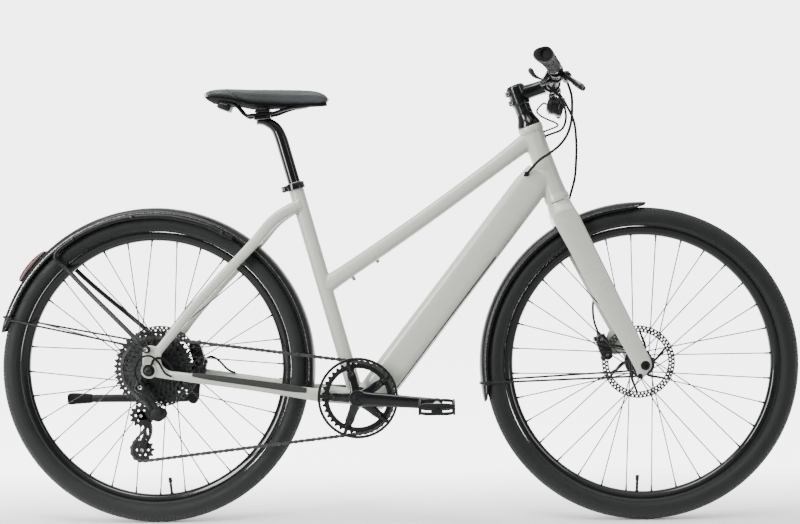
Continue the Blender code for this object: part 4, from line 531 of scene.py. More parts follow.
# Mid-grey metal that catches light link by link.
CHAIN = finish("plated_chain_steel", "#4E4F4D", 0.34, 0.9, (5, "#373837", "#626360", 0.26, 0.46))
# Small bright points of light on bolt heads; the mudguards' painted highlight strips use it too.
BRIGHT = finish("bright_steel_and_painted_highlight", "#B9BAB8", 0.24, 1, (4, "#A2A3A1", "#C9CAC8", 0.18, 0.34))


def disc_steel():
    """Darkened sheet with fine ground lines along it."""
    made, tree, shader, place = start_finish("darkened_disc_steel", "#4E4F4F", 0.4, 0.85)
    stretch = add_node(tree, "ShaderNodeMapping", {"Scale": (1, 1, 9)}, {"Vector": place})
    lines = add_node(tree, "ShaderNodeTexNoise", {"Scale": 1000 / 4, "Detail": 4},
        {"Vector": stretch.outputs["Vector"]})
    tone = add_node(tree, "ShaderNodeMixRGB", {"Color1": linear("#3E3F3F"), "Color2": linear("#5C5D5D")},
        {"Fac": lines.outputs["Fac"]})
    tree.links.new(tone.outputs["Color"], shader.inputs["Base Color"])
    relief(tree, shader, lines.outputs["Fac"], 0.01, 0.4)
    return made


DISC = disc_steel()
print("steels:", 4)

# %% [markdown]
# The saddle's cover is a smooth synthetic leather: polyurethane embossed with pebbles about a
# millimetre across. The lamps have clear acrylic over a dark red or a silvered inside.

# %% Saddle cover, lenses and guard strip
# Soft dark grey with a leather grain.
LEATHER = finish("embossed_synthetic_leather", "#404445", 0.46, 0, (35, "#3A3E3F", "#484C4D", 0.4, 0.54),
    ("Voronoi", 1.1, 0.06, 0.5, {"Randomness": 0.9}), IOR=1.36, Sheen_Weight=0.15, Sheen_Roughness=0.4)
# A nearly black moulding that stays dark from below.
UNDERSIDE = finish("matt_black_shell", "#0C0D0D", 0.9, 0, (18, "#0A0B0B", "#121313", 0.85, 0.95),
    ("Noise", 1.5, 0.05, 0.4, {"Detail": 2}), Specular_IOR_Level=0.02)
# Unlit red with moulded reflector cells.
RED_LENS = finish("dark_red_acrylic", "#47070B", 0.3, 0, None, ("Voronoi", 2.5, 0.15, 0.6,
    {"Randomness": 0}), IOR=1.33, Coat_Weight=0.15, Coat_Roughness=0.1)
# Clear face over a silvered, faceted bowl.
LENS = finish("silvered_lens", "#C9CDD0", 0.08, 0.6, None, ("Voronoi", 4, 0.3, 0.6, {"Randomness": 0.2}),
    IOR=1.49, Coat_Weight=1, Coat_Roughness=0.03)
# Dull dark grey strip beside the chain.
GUARD = finish("grey_guard_rubber", "#222422", 0.6, 0, (12, "#1E201E", "#282A27", 0.54, 0.66),
    ("Noise", 0.8, 0.03, 0.4, {"Detail": 2}))
print("finishes:", len(bpy.data.materials))


# %% Name, finish and hang a piece
SLOTS = {"pale_satin_paint": [PAINT], "black_satin_paint": [SATIN], "black_plastic": [NYLON, LENS,
    UNDERSIDE], "black_anodised_aluminium": [ANODISED, GLOSS], "plated_steel": [STEEL, BRIGHT, CHAIN],
    "darkened_rotor_steel": [DISC], "tyre_rubber": [TYRE], "black_rubber": [RUBBER, GUARD],
    "saddle_cover": [LEATHER], "dark_red_lens": [RED_LENS]}


def dressed(piece, name, material):
    """Name a piece and give it its finish."""
    piece.name = name
    piece.data.name = name
    piece.data.materials.clear()
    piece.data.materials.append(material)


def hang(piece, name, body, material, *replaced, slot=None):
    """Dress a piece or a list of bodies, and let it ride on its body in place of CAD nodes."""
    piece = gathered(piece) if isinstance(piece, list) else piece
    slot = slot or next(usual for usual, finishes in SLOTS.items() if material in finishes)
    dressed(piece, name, material)
    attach(piece, body)
    if replaced:
        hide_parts(*replaced)
    return piece


for item in frame["record"]["subparts"]:
    node = frame["nodes"][item["node"]]
    node.data.materials.clear()
    node.data.materials.append(SLOTS[item["material_slot"]][0])

# %% [markdown]
# ## Wheels
# A tyre is moulded in two halves round its tread, so it is a lathe whose skin is then pushed in where
# the tread has grooves. The shoulder's short slits show along the whole edge in the photo. The middle
# has a shallow file pattern, which rolls fast on a road.

# %% Tyres
TYRE_RADIUS = 339
TYRE_HALF = 23.5
TREAD_PITCHES = 240
STEPS_PER_PITCH = 4


def tread_depth(step, degrees):
    """How far the skin lies below the full tread at a place round the tyre and across it."""
    across = abs(degrees)
    if across < 30:
        slant = (step + round(across / 6)) % 2
        return 0.35 if slant else 0
    if across < 36:
        return 0.9
    if across < 54:
        return 1.3 if step % STEPS_PER_PITCH == 0 else 0
    if across < 58:
        return 0.6
    if across < 66:
        return 0.5 if step % (2 * STEPS_PER_PITCH) == 0 else 0.15
    return 0


def make_tyre(end, axle):
    middle = TYRE_RADIUS - TYRE_HALF
    steps = TREAD_PITCHES * STEPS_PER_PITCH
    across = [-116, -108, -100, -92, -84, -76, -69, -66, -62, -58, -54, -51, -45, -39, -36, -33, -30, -24,
        -18, -12, -6, 0]
    across += [-degrees for degrees in reversed(across[:-1])]
    rings = []
    for step in range(steps):
        turn = 360 * step / steps
        ring = []
        for degrees in across:
            reach = TYRE_HALF - tread_depth(step, degrees)
            rib = 0.25 if degrees in (-100, 100, -84, 84) else 0
            angle = math.radians(degrees)
            ring.append(polar(axle, middle + (reach + rib) * math.cos(angle), turn,
                (reach + rib) * math.sin(angle)))
        for radius, y in ((301.5, 16.5), (299.2, 13.2), (298.6, 10), (303, 8), (303, -8), (298.6, -10),
                (299.2, -13.2), (301.5, -16.5)):
            ring.append(polar(axle, radius, turn, y))
        rings.append(ring)
    hang(skinned(rings, True, 24), end + "_tyre_rubber", end + "_wheel", TYRE, end + "_tyre")


AXLES = (("rear", REAR_AXLE), ("front", FRONT_AXLE))
for end, axle in AXLES:
    make_tyre(end, axle)
print("tyre lugs:", 2 * TREAD_PITCHES)

# %% [markdown]
# The rim is a bent and welded aluminium extrusion with a double wall: two straight flanges hold the
# tyre and a rounded box below them takes the spokes. Gloss black enamel gives its thin bright rings.

# %% Rims with their valves
VALVE_PLACES = {"rear": -83.7, "front": -92.5}


def make_rim(end, axle):
    half = [(297.2, 0), (297.2, 10.2), (298, 11.4), (298, 12.2), (296.6, 12.5), (291, 12.4), (288.5, 11.4),
        (284, 9.6), (281, 7.2), (279.3, 4.4), (278.5, 1.8)]
    profile = [(radius, -y) for radius, y in reversed(half[1:])] + half
    rim = turned(profile, axle, steps=192, closed=True, sharp=28)
    hang(rim, end + "_rim_extrusion", end + "_wheel", GLOSS, end + "_rim")
    inward = polar(Vector(), -1, VALVE_PLACES[end])
    foot = polar(axle, 278.5, VALVE_PLACES[end])
    stem = turned([(3.9, -1), (3.9, 1.2), (3, 1.6), (3, 24), (4.1, 24.5), (4.1, 33), (3.4, 35)], foot,
        inward, 20)
    hang(stem, end + "_valve_and_cap", end + "_wheel", NYLON)


for end, axle in AXLES:
    make_rim(end, axle)
print("rims made")

# %% [markdown]
# Spokes leave the hub almost at a tangent and cross their neighbours, so that the wheel can carry
# torque. Each has a bent head in the flange and a small nipple at the rim. The hubs are lathe work:
# flanges for the spokes, with a long body in front and a flat motor drum behind.

# %% Spokes, nipples and hubs
SPOKES = 32
FIRST_NIPPLE = {"rear": 1.2, "front": 4}
FLANGE = {"rear": (66.5, 25, 22.5), "front": (21, 28, 67.5)}


def make_spokes(end, axle):
    radius, flange_y, lacing = FLANGE[end]
    wires = []
    nipples = []
    for place in range(SPOKES):
        degrees = FIRST_NIPPLE[end] + 360 / SPOKES * place
        side = -1 if place % 2 == 0 else 1
        lean = 1 if place // 2 % 2 == 0 else -1
        head = polar(axle, radius, degrees + lean * lacing, side * (flange_y + lean * 2.6))
        foot = polar(axle, 278.2, degrees, side * 1.5)
        along = (foot - head).normalized()
        through_flange = head - Y_AXIS * side * lean * 5
        wires.append(swept([through_flange, head + along * 1, head + along * 6, foot], 1.25, 8))
        nipples.append(turned([(2.3, 0.4), (2.3, -2), (1.9, -3), (1.7, -11.5), (1.2, -12.5)], foot, along,
            10))
    body = end + "_wheel"
    hang(wires, end + "_spokes", body, STEEL)
    hang(nipples, end + "_spoke_nipples", body, GLOSS)


def make_front_hub():
    profile = [(8, -49), (11.5, -49), (12.5, -47.5), (12.8, -40), (15.5, -38.5), (16, -32), (24, -30.5),
        (25, -29.5), (25, -26.5), (24, -25.5), (17, -24), (14.8, -18), (14, 0), (14.8, 18), (17, 24),
        (24, 25.5), (25, 26.5), (25, 29.5), (24, 30.5), (20.5, 32), (20.5, 41), (16, 42.5), (13, 43.5),
        (12.5, 48.5), (11.5, 49), (8, 49)]
    hub = turned(profile, FRONT_AXLE, steps=64, closed=True)
    hang(hub, "front_hub_shell", "front_wheel", ANODISED, "front_hub")


def make_rear_hub():
    profile = [(10, -27.5), (34, -28), (60, -28.6), (68, -28), (70, -26.8), (70, -23.6), (68.5, -22.6),
        (63.5, -22), (62.4, -19), (62.4, 19), (63.5, 22), (68.5, 22.6), (70, 23.6), (70, 26.8), (68, 28.2),
        (58, 29.2), (54, 31), (32, 32.4), (22, 33), (21.7, 42), (17, 44.5), (10, 45)]
    drum = turned(profile, REAR_AXLE, steps=96, closed=True)
    ribs = [rounded_rod(polar(REAR_AXLE, 50, 30 + 60 * place), 2.6, 28, 33.6, steps=16)
        for place in range(6)]
    hang(drum, "hub_motor_drum", "rear_wheel", SATIN, "rear_hub", slot="black_anodised_aluminium")
    hang(ribs, "hub_motor_screws", "rear_wheel", STEEL)


for end, axle in AXLES:
    make_spokes(end, axle)
make_front_hub()
make_rear_hub()
print("spokes:", 2 * SPOKES)

# %% [markdown]
# A brake disc is punched from stainless sheet, and its darkened rim carries two rows of round holes
# that clear water. A black aluminium carrier with slanted arms holds it on the hub's splines.

# %% Brake discs and their lock rings
DISC_Y = 39


def make_disc(end, axle, radius, arms):
    ring = round_outline(radius, 120)
    holes = [round_outline(radius - 14.5, 96)]
    holes += ring_of(radius - 4.2, arms * 9, 2, 0) + ring_of(radius - 10, arms * 9, 2, 180 / (arms * 9))
    rim = pierced(ring, holes, DISC_Y - 0.9, DISC_Y + 0.9, axle)
    hang(rim, end + "_disc_ring", end + "_wheel", DISC, end + "_rotor")
    slats = [turned([(22, 37.4), (30, 37.4), (31, 38), (31, 40), (30, 40.6), (22, 40.6)], axle, steps=64,
        closed=True)]
    for arm in range(arms):
        turn = 360 / arms * arm
        middle = [polar(Vector(), r, turn + lean) for r, lean in ((28, 0), (radius * 0.5, 9),
            (radius * 0.66, 20), (radius - 12.5, 27))]
        path = route_through([axle + Vector((p.x, DISC_Y, p.z)) for p in middle], 4)
        slats.append(lofted([(place, 1.1, 3.4 - 1.2 * n / len(path)) for n, place in enumerate(path)], 10,
            3, steps=1))
    hang(slats, end + "_disc_carrier", end + "_wheel", ANODISED)
    notches = [round_outline(13.6, 32)] + ring_of(16.4, 12, 1.2)
    lock = pierced(round_outline(20, 48), notches, 41.2, 44, axle, edge=0.4)
    hang(lock, end + "_disc_lock_ring", end + "_wheel", SATIN, slot="black_anodised_aluminium")


make_disc("front", FRONT_AXLE, 80, 6)
make_disc("rear", REAR_AXLE, 90, 6)
print("discs made")

# %% [markdown]
# ## Frame and fork
# The frame is hydroformed aluminium tube with smoothed welds. Lofts follow the tubes' real sections,
# and a voxel remesh with a light smoothing melts them together, which gives the same soft fillets as
# filler and paint do. Bores and the battery bay are cut afterwards, so that they keep clean edges.

# %% Down tube: a flat-sided box with a crease along its upper edge
DOWN_FOOT = CRANK_AXLE + point(16, 0, -18)
DOWN_HEAD = steer(462.5, -15)
DOWN_ALONG = (DOWN_HEAD - DOWN_FOOT).normalized()
DOWN_UNDER = Y_AXIS.cross(DOWN_ALONG)
DOWN_LENGTH = (DOWN_HEAD - DOWN_FOOT).length


def down(along, under, y=0):
    """Point at a distance up the down tube from its foot, and below its axis."""
    return DOWN_FOOT + DOWN_ALONG * along + DOWN_UNDER * under + Y_AXIS * y


DOWN_SECTION = ((0, -37), (9, -36.8), (16, -35.8), (21.5, -32.8), (25.2, -28.2), (27.6, -22.6), (28.6, -15),
    (29, -4), (29, 8), (28.2, 17), (26, 25), (21.5, 31.5), (14.5, 35.6), (7, 36.9))


def down_tube():
    whole = list(DOWN_SECTION) + [(0, 37)] + [(-y, under) for y, under in reversed(DOWN_SECTION[1:])]
    rows = through([(-6, 0.84, 0.66), (10, 0.93, 0.8), (40, 1, 1), (DOWN_LENGTH * 0.5, 1, 1),
        (DOWN_LENGTH - 90, 1, 1), (DOWN_LENGTH - 40, 0.92, 0.98), (DOWN_LENGTH, 0.8, 0.86)], 5)
    return skinned([[down(along, under * deep, y * wide) for y, under in whole]
        for along, wide, deep in rows])


print("down tube length in mm:", round(DOWN_LENGTH))


# %% The other tubes, the stays and the dropouts
def top_tube():
    start = seat(248)
    end = steer(542.5, -4)
    stations = []
    for share, width, depth in ((0, 15.5, 19.5), (0.12, 17, 17.5), (0.3, 17, 17.2), (0.5, 17, 17),
            (0.75, 17, 17), (0.9, 17, 18), (1, 17, 21)):
        sag = 6.5 * math.sin(math.pi * share)
        stations.append((start.lerp(end, share) - Z_AXIS * sag, width, depth))
    return lofted(stations, 40, 2.4, steps=5)


HEAD_TUBE_LENGTH = 174.5


def head_tube():
    profile = [(26, 0), (26.6, 1), (26.6, 13), (25.4, 14.5), (24.8, 22), (23.6, 45), (23.3, 90),
        (23.6, 130), (24.8, 152), (25.3, HEAD_TUBE_LENGTH - 15), (26.4, HEAD_TUBE_LENGTH - 13.6),
        (26.4, HEAD_TUBE_LENGTH - 1), (25.8, HEAD_TUBE_LENGTH)]
    return turned(profile, steer(393, 0), STEER_UP, steps=72)


def chainstay(side):
    rows = ((44, 72.5, 327.2, 7.5, 8.6), (62, 71.8, 326, 8, 9.5), (130, 66, 315.5, 8.5, 9.7),
        (230, 54, 301, 8.5, 11.2), (340, 40.5, 282.5, 8.5, 13.6), (380, 35, 277, 9, 14.6),
        (432, 25, 272, 10, 15))
    return lofted([(point(x, side * y, z), width, height) for x, y, z, width, height in rows], 28, 2.5,
        steps=6)


def seat_stay(side):
    rows = [(6, 72.2, 363, 6.5, 9.3), (40, 65, 406, 7, 10), (100, 55, 480, 7, 10.5),
        (215, 41, 600, 7.5, 11.5), (268, 30, 660, 8, 12.5)]
    stations = [(point(x, side * y, z), width, height) for x, y, z, width, height in rows]
    stations.append((seat(436, side * 12), 8, 12.5))
    return lofted(stations, 28, 2.4, steps=6)


def dropout(side):
    rows = ((-15, 344), (-14, 361), (-12.5, 386), (-5, 392), (12, 391), (26.5, 380), (25, 361), (30, 347),
        (44, 338), (60, 334), (60, 319), (30, 321.5), (8, 326), (-5, 330), (-12, 336))
    outline = [tuple(row) for row in through(list(rows) + [rows[0]], 3)][:-1]
    low, high = sorted((side * 68, side * 77))
    return plate(outline, low, high)


tubes = [down_tube(), top_tube(), head_tube(), turned([(16.5, 0), (16.5, 430), (16.6, 478), (17, 485)],
    seat(0), SEAT_UP, 64), turned([(24, -36.5), (24, 36.5)], CRANK_AXLE, steps=64)]
for side in SIDES:
    tubes += [chainstay(side), seat_stay(side), dropout(side)]
BRIDGE = polar(REAR_AXLE, 357.3, 50.4)
tubes += [turned([(6, -39), (6, 39)], BRIDGE, steps=24), turned([(7, -35), (7, 35)], point(363, 0, 283),
    steps=24)]
bare_frame = melted(tubes, voxel=1.7, rounds=7)
print("melted frame faces:", len(bare_frame.data.polygons))

# %% [markdown]
# The head tube ends in two machined collars, where the headset's bearings are pressed in. Their edges
# stay crisp, so they are turned rings that stand over the melted frame.

# %% Head tube collars
collars = [turned([(24, 393.6), (26.4, 393.6), (27.1, 394.4), (27.1, 405.6), (26.2, 407), (24, 407.4)],
    steer(0, 0), STEER_UP, 72, closed=True), turned([(24, 552.6), (26.3, 553), (27.2, 554.4), (27.2, 566),
    (26.4, 567.2), (24, 567.2)], steer(0, 0), STEER_UP, 72, closed=True)]
hang(collars, "head_tube_collars", "bicycle_frame", PAINT)
print("head tube collars made")

# %% [markdown]
# The battery slides into a bay that is cut out of the down tube's underside, and a painted door
# completes the tube's outline. Both come from the same melted skin: one keeps what lies outside the
# bay's box and the other what lies inside a box that is half a millimetre smaller.

# %% Bay, door and bores
BAY_START = 45
BAY_END = 425
BAY_HALF_WIDTH = 23


def bay_box(inset, low, high):
    length = BAY_END - BAY_START - 2 * inset
    middle = down((BAY_START + BAY_END) / 2, (low + high) / 2)
    a = length / 2
    b = (high - low) / 2
    half = BAY_HALF_WIDTH - inset
    return plate([(-a, -b), (a, -b), (a, b), (-a, b)], -half, half, middle, DOWN_ALONG, DOWN_UNDER)


door = cut(linked(bare_frame.data.copy()), [bay_box(0.5, 32, 70)], "INTERSECT")
hang(door, "battery_door_panel", "bicycle_frame", PAINT, "battery_door")
axle_holes = gathered([turned([(6.4, y - 9), (6.4, y + 9)], REAR_AXLE, steps=32) for y in (-73, 73)])
PORT = down(600, -24, -17)
PORT_ALONG = point(0.5, -0.62, 0.6).normalized()
GROMMET = steer(545.5, 0)
grommet_holes = gathered([turned([(3.6, 12), (3.6, 40)], GROMMET - STEER_UP * drop, STEER_AHEAD, 24)
    for drop in (0, 10)])
painted_frame = cut(bare_frame, [bay_box(0, -28, 70), turned([(21.3, -3), (21.3, 178)], steer(393, 0),
    STEER_UP, 64), turned([(14, 235), (14, 490)], seat(0), SEAT_UP, 48), turned([(20.4, -40), (20.4, 40)],
    CRANK_AXLE, steps=64), axle_holes, grommet_holes, turned([(4.2, 0), (4.2, 50)], PORT, PORT_ALONG, 24)])
hang(painted_frame, "painted_frame", "bicycle_frame", PAINT, "frame")
print("frame faces:", len(painted_frame.data.polygons), "door faces:", len(door.data.polygons))

# %% [markdown]
# Small things are bolted into the frame: a rubber strip that keeps the chain off the paint, two bosses
# under the top tube, rubber plugs round the cables, and the bottom bracket's two cups.

# %% Frame trim
strip_rows = [(93, 329.5, 70.4, 1.6, 3.6), (130, 323.3, 67.2, 1.7, 6), (215, 310.2, 57, 1.8, 7),
    (300, 296.4, 46.4, 1.8, 7.6), (335, 290.4, 42, 1.6, 5.5)]
strip = lofted([(point(x, -y - 7.2, z), thick, tall) for x, z, y, thick, tall in strip_rows], 16, 4,
    steps=6)
hang(strip, "chainstay_guard", "bicycle_frame", GUARD)
BOSS_PLACES = (point(438, 0, 528), point(490, 0, 566))
BOSS_AXIS = point(-0.59, 0, 0.81)
necks = [rounded_rod(place, 4.3, 1, 15, BOSS_AXIS, 0.6, 20) for place in BOSS_PLACES]
bolts = [rounded_rod(place, 3.5, -2, 1.6, BOSS_AXIS, 0.8, 20) for place in BOSS_PLACES]
hang(necks, "top_tube_bosses", "bicycle_frame", PAINT)
hang(bolts, "top_tube_boss_bolts", "bicycle_frame", ANODISED)
plugs = [turned([(2.7, 8), (4.1, 8), (5.6, 9.6), (5.6, 12.2), (4.4, 13.6), (2.7, 13.6)], PORT, PORT_ALONG,
    28, closed=True)]
for drop, radius in ((0, 1.8), (10, 2.5)):
    plugs.append(turned([(radius, 21.5), (3.5, 21.5), (4.9, 23), (4.7, 25.2), (radius, 25.6)],
        GROMMET - STEER_UP * drop, STEER_AHEAD, 28, closed=True))
hang(plugs, "cable_plugs", "bicycle_frame", RUBBER)
cups = turned(mirrored([(12.4, -40.6), (20, -40.8), (22.4, -40.2), (22.6, -37), (20, -36.6)]), CRANK_AXLE,
    steps=64, closed=True)
hang(cups, "bottom_bracket_cups", "bicycle_frame", ANODISED, "bottom_bracket")
print("frame trim made")


# %% [markdown]
# The seat clamp is a turned collar that is slit behind and pulled together by one bolt through a lug.

# %% Seat clamp
def make_seat_clamp():
    ahead = Y_AXIS.cross(SEAT_UP)
    collar = turned([(16.9, 469.2), (20.2, 469.2), (20.8, 470), (20.8, 482.6), (20.2, 483.6),
        (16.9, 483.6)], seat(0), SEAT_UP, 64, closed=True)
    lug = block(seat(476.5) - ahead * 24, 13.5, 17, 13, 2.5, ahead, SEAT_UP)
    clamp = gathered([collar, lug])
    hang(clamp, "seat_clamp_collar", "bicycle_frame", GLOSS, "seat_clamp")
    bolt = rounded_rod(seat(476.5) - ahead * 25.5, 3.6, -10.4, 10.4, Y_AXIS, 0.7, 20)
    hang(bolt, "seat_clamp_bolt", "bicycle_frame", BRIGHT)


make_seat_clamp()
print("seat clamp made")

# %% [markdown]
# The fork is built like the frame: two blade legs grow out of a crown under the head tube. The wheel
# and mudguard run through an arch that is bored after the legs are melted together.

# %% Fork
LEG_ROWS = ((372, -1.5, 25), (352, 0.5, 28), (329, 2.7, 28), (241, 13, 26), (144, 24.5, 23.6),
    (45, 36.5, 20.5), (4, 41, 19.4), (-11, 36.5, 14.5), (-22, 26.5, 8.5))


FRONT_EYE = steer(-17, 26)


def fork_leg(side):
    rows = []
    for height, ahead, depth in LEG_ROWS:
        share = min(1, max(0, (352 - height) / 352))
        thick = 10 - 3.5 * share
        rows.append((height, ahead, 31.5 + 18.6 * share + thick, thick, depth))
    rings = []
    for height, ahead, y, thick, depth in through(rows, 7):
        rings.append([steer(height, ahead + b, side * y + a) for a, b in oval(thick, depth, 36, 2)])
    return skinned(rings)


def fork_crown():
    rows = through([(392.6, 25.6, 25.6, 2), (388, 26.6, 26.2, 2), (381, 30, 27.2, 2.1), (367, 42, 29, 2.5),
        (354, 49.5, 29, 2.8), (344, 51, 29, 2.8)], 4)
    return skinned([[steer(height, b, a) for a, b in oval(wide, deep, 64, power)]
        for height, wide, deep, power in rows])


def brake_mount():
    return plate([(-11, -25), (11, -29), (11, 30), (-4, 27), (-11, 18)], 48, 56, steer(56.7, 10.35),
        STEER_AHEAD, STEER_UP)


bare_fork = melted([fork_crown(), fork_leg(-1), fork_leg(1), brake_mount()], voxel=1.5, rounds=5)
arch = turned([(351.6, -31), (351.6, 31)], FRONT_AXLE, steps=256)
painted_fork = cut(bare_fork, [arch, turned([(7.9, -75), (7.9, 75)], FRONT_AXLE, steps=40),
    turned([(3.2, 0), (3.2, 50)], steer(358, 22, 26), STEER_UP, 20)])
steerer = turned([(14.3, 385), (14.3, 658.5)], steer(0, 0), STEER_UP, 48)
hang(painted_fork, "painted_fork", "steering", PAINT, "fork")
hang(steerer, "fork_steerer", "steering", ANODISED)
bosses = [turned([(8.2, side * 57), (13.5, side * 57), (13.5, side * 62.2), (12.4, side * 63),
    (8.2, side * 63)], FRONT_AXLE, steps=48, closed=True) for side in SIDES]
hang(bosses, "fork_end_bosses", "steering", PAINT)
heads = [turned([(7.4, -62), (7.4, 62)], FRONT_AXLE, steps=32)]
for side in SIDES:
    heads.append(turned([(3.4, 61), (3.4, 64.4), (4.4, 66.2), (9.2, 66.2), (10, 65.2), (10, 63.3),
        (7.4, 63.3), (7.4, 61)], FRONT_AXLE, Y_AXIS * side, 40, closed=True))
    heads.append(rounded_rod(FRONT_EYE, 5.2, 60.5, 63.4, Y_AXIS * side, 0.6, 24))
hang(heads, "front_axle_and_eye_bolts", "steering", GLOSS, "front_axle")
print("fork faces:", len(painted_fork.data.polygons))

# %% [markdown]
# ## Drivetrain
# A chain runs in straight lines between its wheels and on their pitch circles round them. Its length is
# shared out in links of half an inch, so that every roller has a real place, and each sprocket is then
# turned until its valleys lie under the rollers.

# %% The chain's path
CHAIN_PITCH = 12.7
COG_Y = -34.2
RING_Y = -50
RING_TEETH = 38
DRIVEN_TEETH = 34
JOCKEY_TEETH = 12
UPPER_JOCKEY = drawing(joints["upper_jockey_spin"]["pos_m"])
LOWER_JOCKEY = drawing(joints["lower_jockey_spin"]["pos_m"])
UPPER_JOCKEY.y = LOWER_JOCKEY.y = 0


def pitch_radius(teeth):
    return CHAIN_PITCH / (2 * math.sin(math.pi / teeth))


CHAIN_WHEELS = [(REAR_AXLE, pitch_radius(DRIVEN_TEETH), 1, COG_Y), (CRANK_AXLE, pitch_radius(RING_TEETH), 1,
    RING_Y), (LOWER_JOCKEY, pitch_radius(JOCKEY_TEETH), 1, COG_Y), (UPPER_JOCKEY,
    pitch_radius(JOCKEY_TEETH), -1, COG_Y)]


def tangent(start, end):
    """Where the straight run leaves one wheel and where it meets the next."""
    (a, radius_a, sense_a, _), (b, radius_b, sense_b, _) = start, end
    gap = b - a
    lean = math.atan2(gap.z, gap.x) + math.asin((sense_b * radius_b - sense_a * radius_a) /
        math.hypot(gap.x, gap.z))
    across = Vector((math.sin(lean), 0, -math.cos(lean)))
    return a - across * (sense_a * radius_a), b - across * (sense_b * radius_b)


def chain_line():
    """The pitch line as many close points, in order round the loop."""
    runs = [tangent(CHAIN_WHEELS[place], CHAIN_WHEELS[(place + 1) % 4]) for place in range(4)]
    line = []
    for place, (centre, radius, sense, y) in enumerate(CHAIN_WHEELS):
        arrive = runs[place - 1][1] - centre
        leave = runs[place][0] - centre
        first = math.atan2(arrive.z, arrive.x)
        sweep = (sense * (first - math.atan2(leave.z, leave.x))) % (2 * math.pi)
        steps = max(6, round(sweep * radius))
        for step in range(steps + 1):
            turn = first - sense * sweep * step / steps
            line.append(centre + Vector((radius * math.cos(turn), y, radius * math.sin(turn))))
    return line


def shared_out(line, pitch):
    """Places at one even spacing, near the given pitch, along a closed line: an even number of them."""
    lengths = [(line[(place + 1) % len(line)] - start).length for place, start in enumerate(line)]
    count = 2 * round(sum(lengths) / pitch / 2)
    spacing = sum(lengths) / count
    places = []
    travelled = 0
    for start, end, length in zip(line, line[1:] + line[:1], lengths):
        while len(places) < count and len(places) * spacing <= travelled + length:
            places.append(start.lerp(end, (len(places) * spacing - travelled) / length))
        travelled += length
    return places


rollers = shared_out(chain_line(), CHAIN_PITCH)
print("chain links:", len(rollers))


# %% Chain links
def link_outline(length, round_end, waist):
    first = round_outline(round_end, 12)[2:11]
    last = [(length - a, b) for a, b in reversed(first)]
    return first + [(length / 2, -waist)] + last + [(length / 2, waist)]


def make_chain():
    pieces = []
    for place, start in enumerate(rollers):
        reach = rollers[(place + 1) % len(rollers)] - start
        along = reach.normalized()
        side = (Y_AXIS - along * along.y).normalized()
        upward = along.cross(side)
        low, high = (1.15, 1.95) if place % 2 else (2, 2.75)
        outline = link_outline(reach.length, 4.1 if place % 2 else 3.9, 2.9 if place % 2 else 2.5)
        for depth in ((low, high), (-high, -low)):
            pieces.append(plate(outline, *depth, start, along, upward))
        pieces.append(turned([(1.8, -3.1), (1.8, 3.1)], start, side, 8))
        pieces.append(turned([(3.75, -1.05), (3.75, 1.05)], start, side, 12))
    hang(gathered(pieces, 35), "roller_chain", "bicycle_frame", CHAIN, "chain")


make_chain()
print("chain parts:", 4 * len(rollers))

# %% [markdown]
# Sprockets are stamped from steel plate. Each tooth is a valley that holds a roller and a tip with
# slanted flanks, and lightening holes are punched between the rivets of the largest ones.


# %% Sprockets
def sprocket_outline(teeth, valley_degrees, tip=2.3):
    radius = pitch_radius(teeth)
    outline = []
    for tooth in range(teeth):
        for share, lift in ((0, -3.85), (0.15, -3.2), (0.27, -0.9), (0.38, 1.5), (0.45, tip), (0.55, tip),
                (0.62, 1.5), (0.73, -0.9), (0.85, -3.2)):
            turn = math.radians(valley_degrees) + 2 * math.pi * (tooth + share) / teeth
            outline.append(((radius + lift) * math.cos(turn), (radius + lift) * math.sin(turn)))
    return outline


def valley_at(centre, radius):
    """Angle of the roller that lies best on a wheel's pitch circle, so that a valley can meet it."""
    best = min(rollers, key=lambda place: abs(math.hypot(place.x - centre.x, place.z - centre.z) - radius))
    return math.degrees(math.atan2(best.z - centre.z, best.x - centre.x))


def make_cassette():
    cogs = []
    smooth_holes = {42: [(75, 42, 2), (67.5, 28, 2.6), (59, 28, 2.2)], 34: [(59, 34, 1.9), (51.5, 24, 2.4)],
        28: [(47, 28, 1.8), (40, 20, 2)], 24: [(39.5, 24, 1.6)], 21: [(33.5, 20, 1.5)]}
    for place, teeth in enumerate((42, 34, 28, 24, 21, 18, 15, 13, 11)):
        y = -30 - 4.2 * place
        turn = valley_at(REAR_AXLE, pitch_radius(34)) if teeth == 34 else 3 * place
        holes = [round_outline(15.5 if teeth < 16 else pitch_radius(teeth) * 0.5, 40)]
        for radius, count, size in smooth_holes.get(teeth, []):
            holes += ring_of(radius, count, size, 2 * place, 8)
        cogs.append(pierced(sprocket_outline(teeth, turn), holes, y - 0.9, y + 0.9, REAR_AXLE))
    body = [turned([(9.5, -27.5), (25, -27.8), (27, -29), (46, -32), (46, -33.2), (34, -36.4), (30, -40),
        (25, -46), (19, -53), (16.5, -58), (16.3, -66.5), (13, -67.5), (9.5, -67.5)], REAR_AXLE, steps=64,
        closed=True)]
    hang(gathered(cogs + body, 30), "cassette_sprockets", "cassette_body", STEEL, "cassette")
    notched = [(a, b) if place % 4 < 2 else (a * 14.6 / 15.8, b * 14.6 / 15.8)
        for place, (a, b) in enumerate(round_outline(15.8))]
    lock = pierced(notched, [round_outline(10.5, 32)], -67.6, -65, REAR_AXLE, edge=0.3)
    hang(lock, "cassette_lock_ring", "cassette_body", ANODISED)


make_cassette()
print("cassette made")

# %% [markdown]
# The axle's ends come through the dropouts: a serrated washer, a domed nut and a short threaded end,
# with the motor's cable leaving on the right side through a rubber boot.

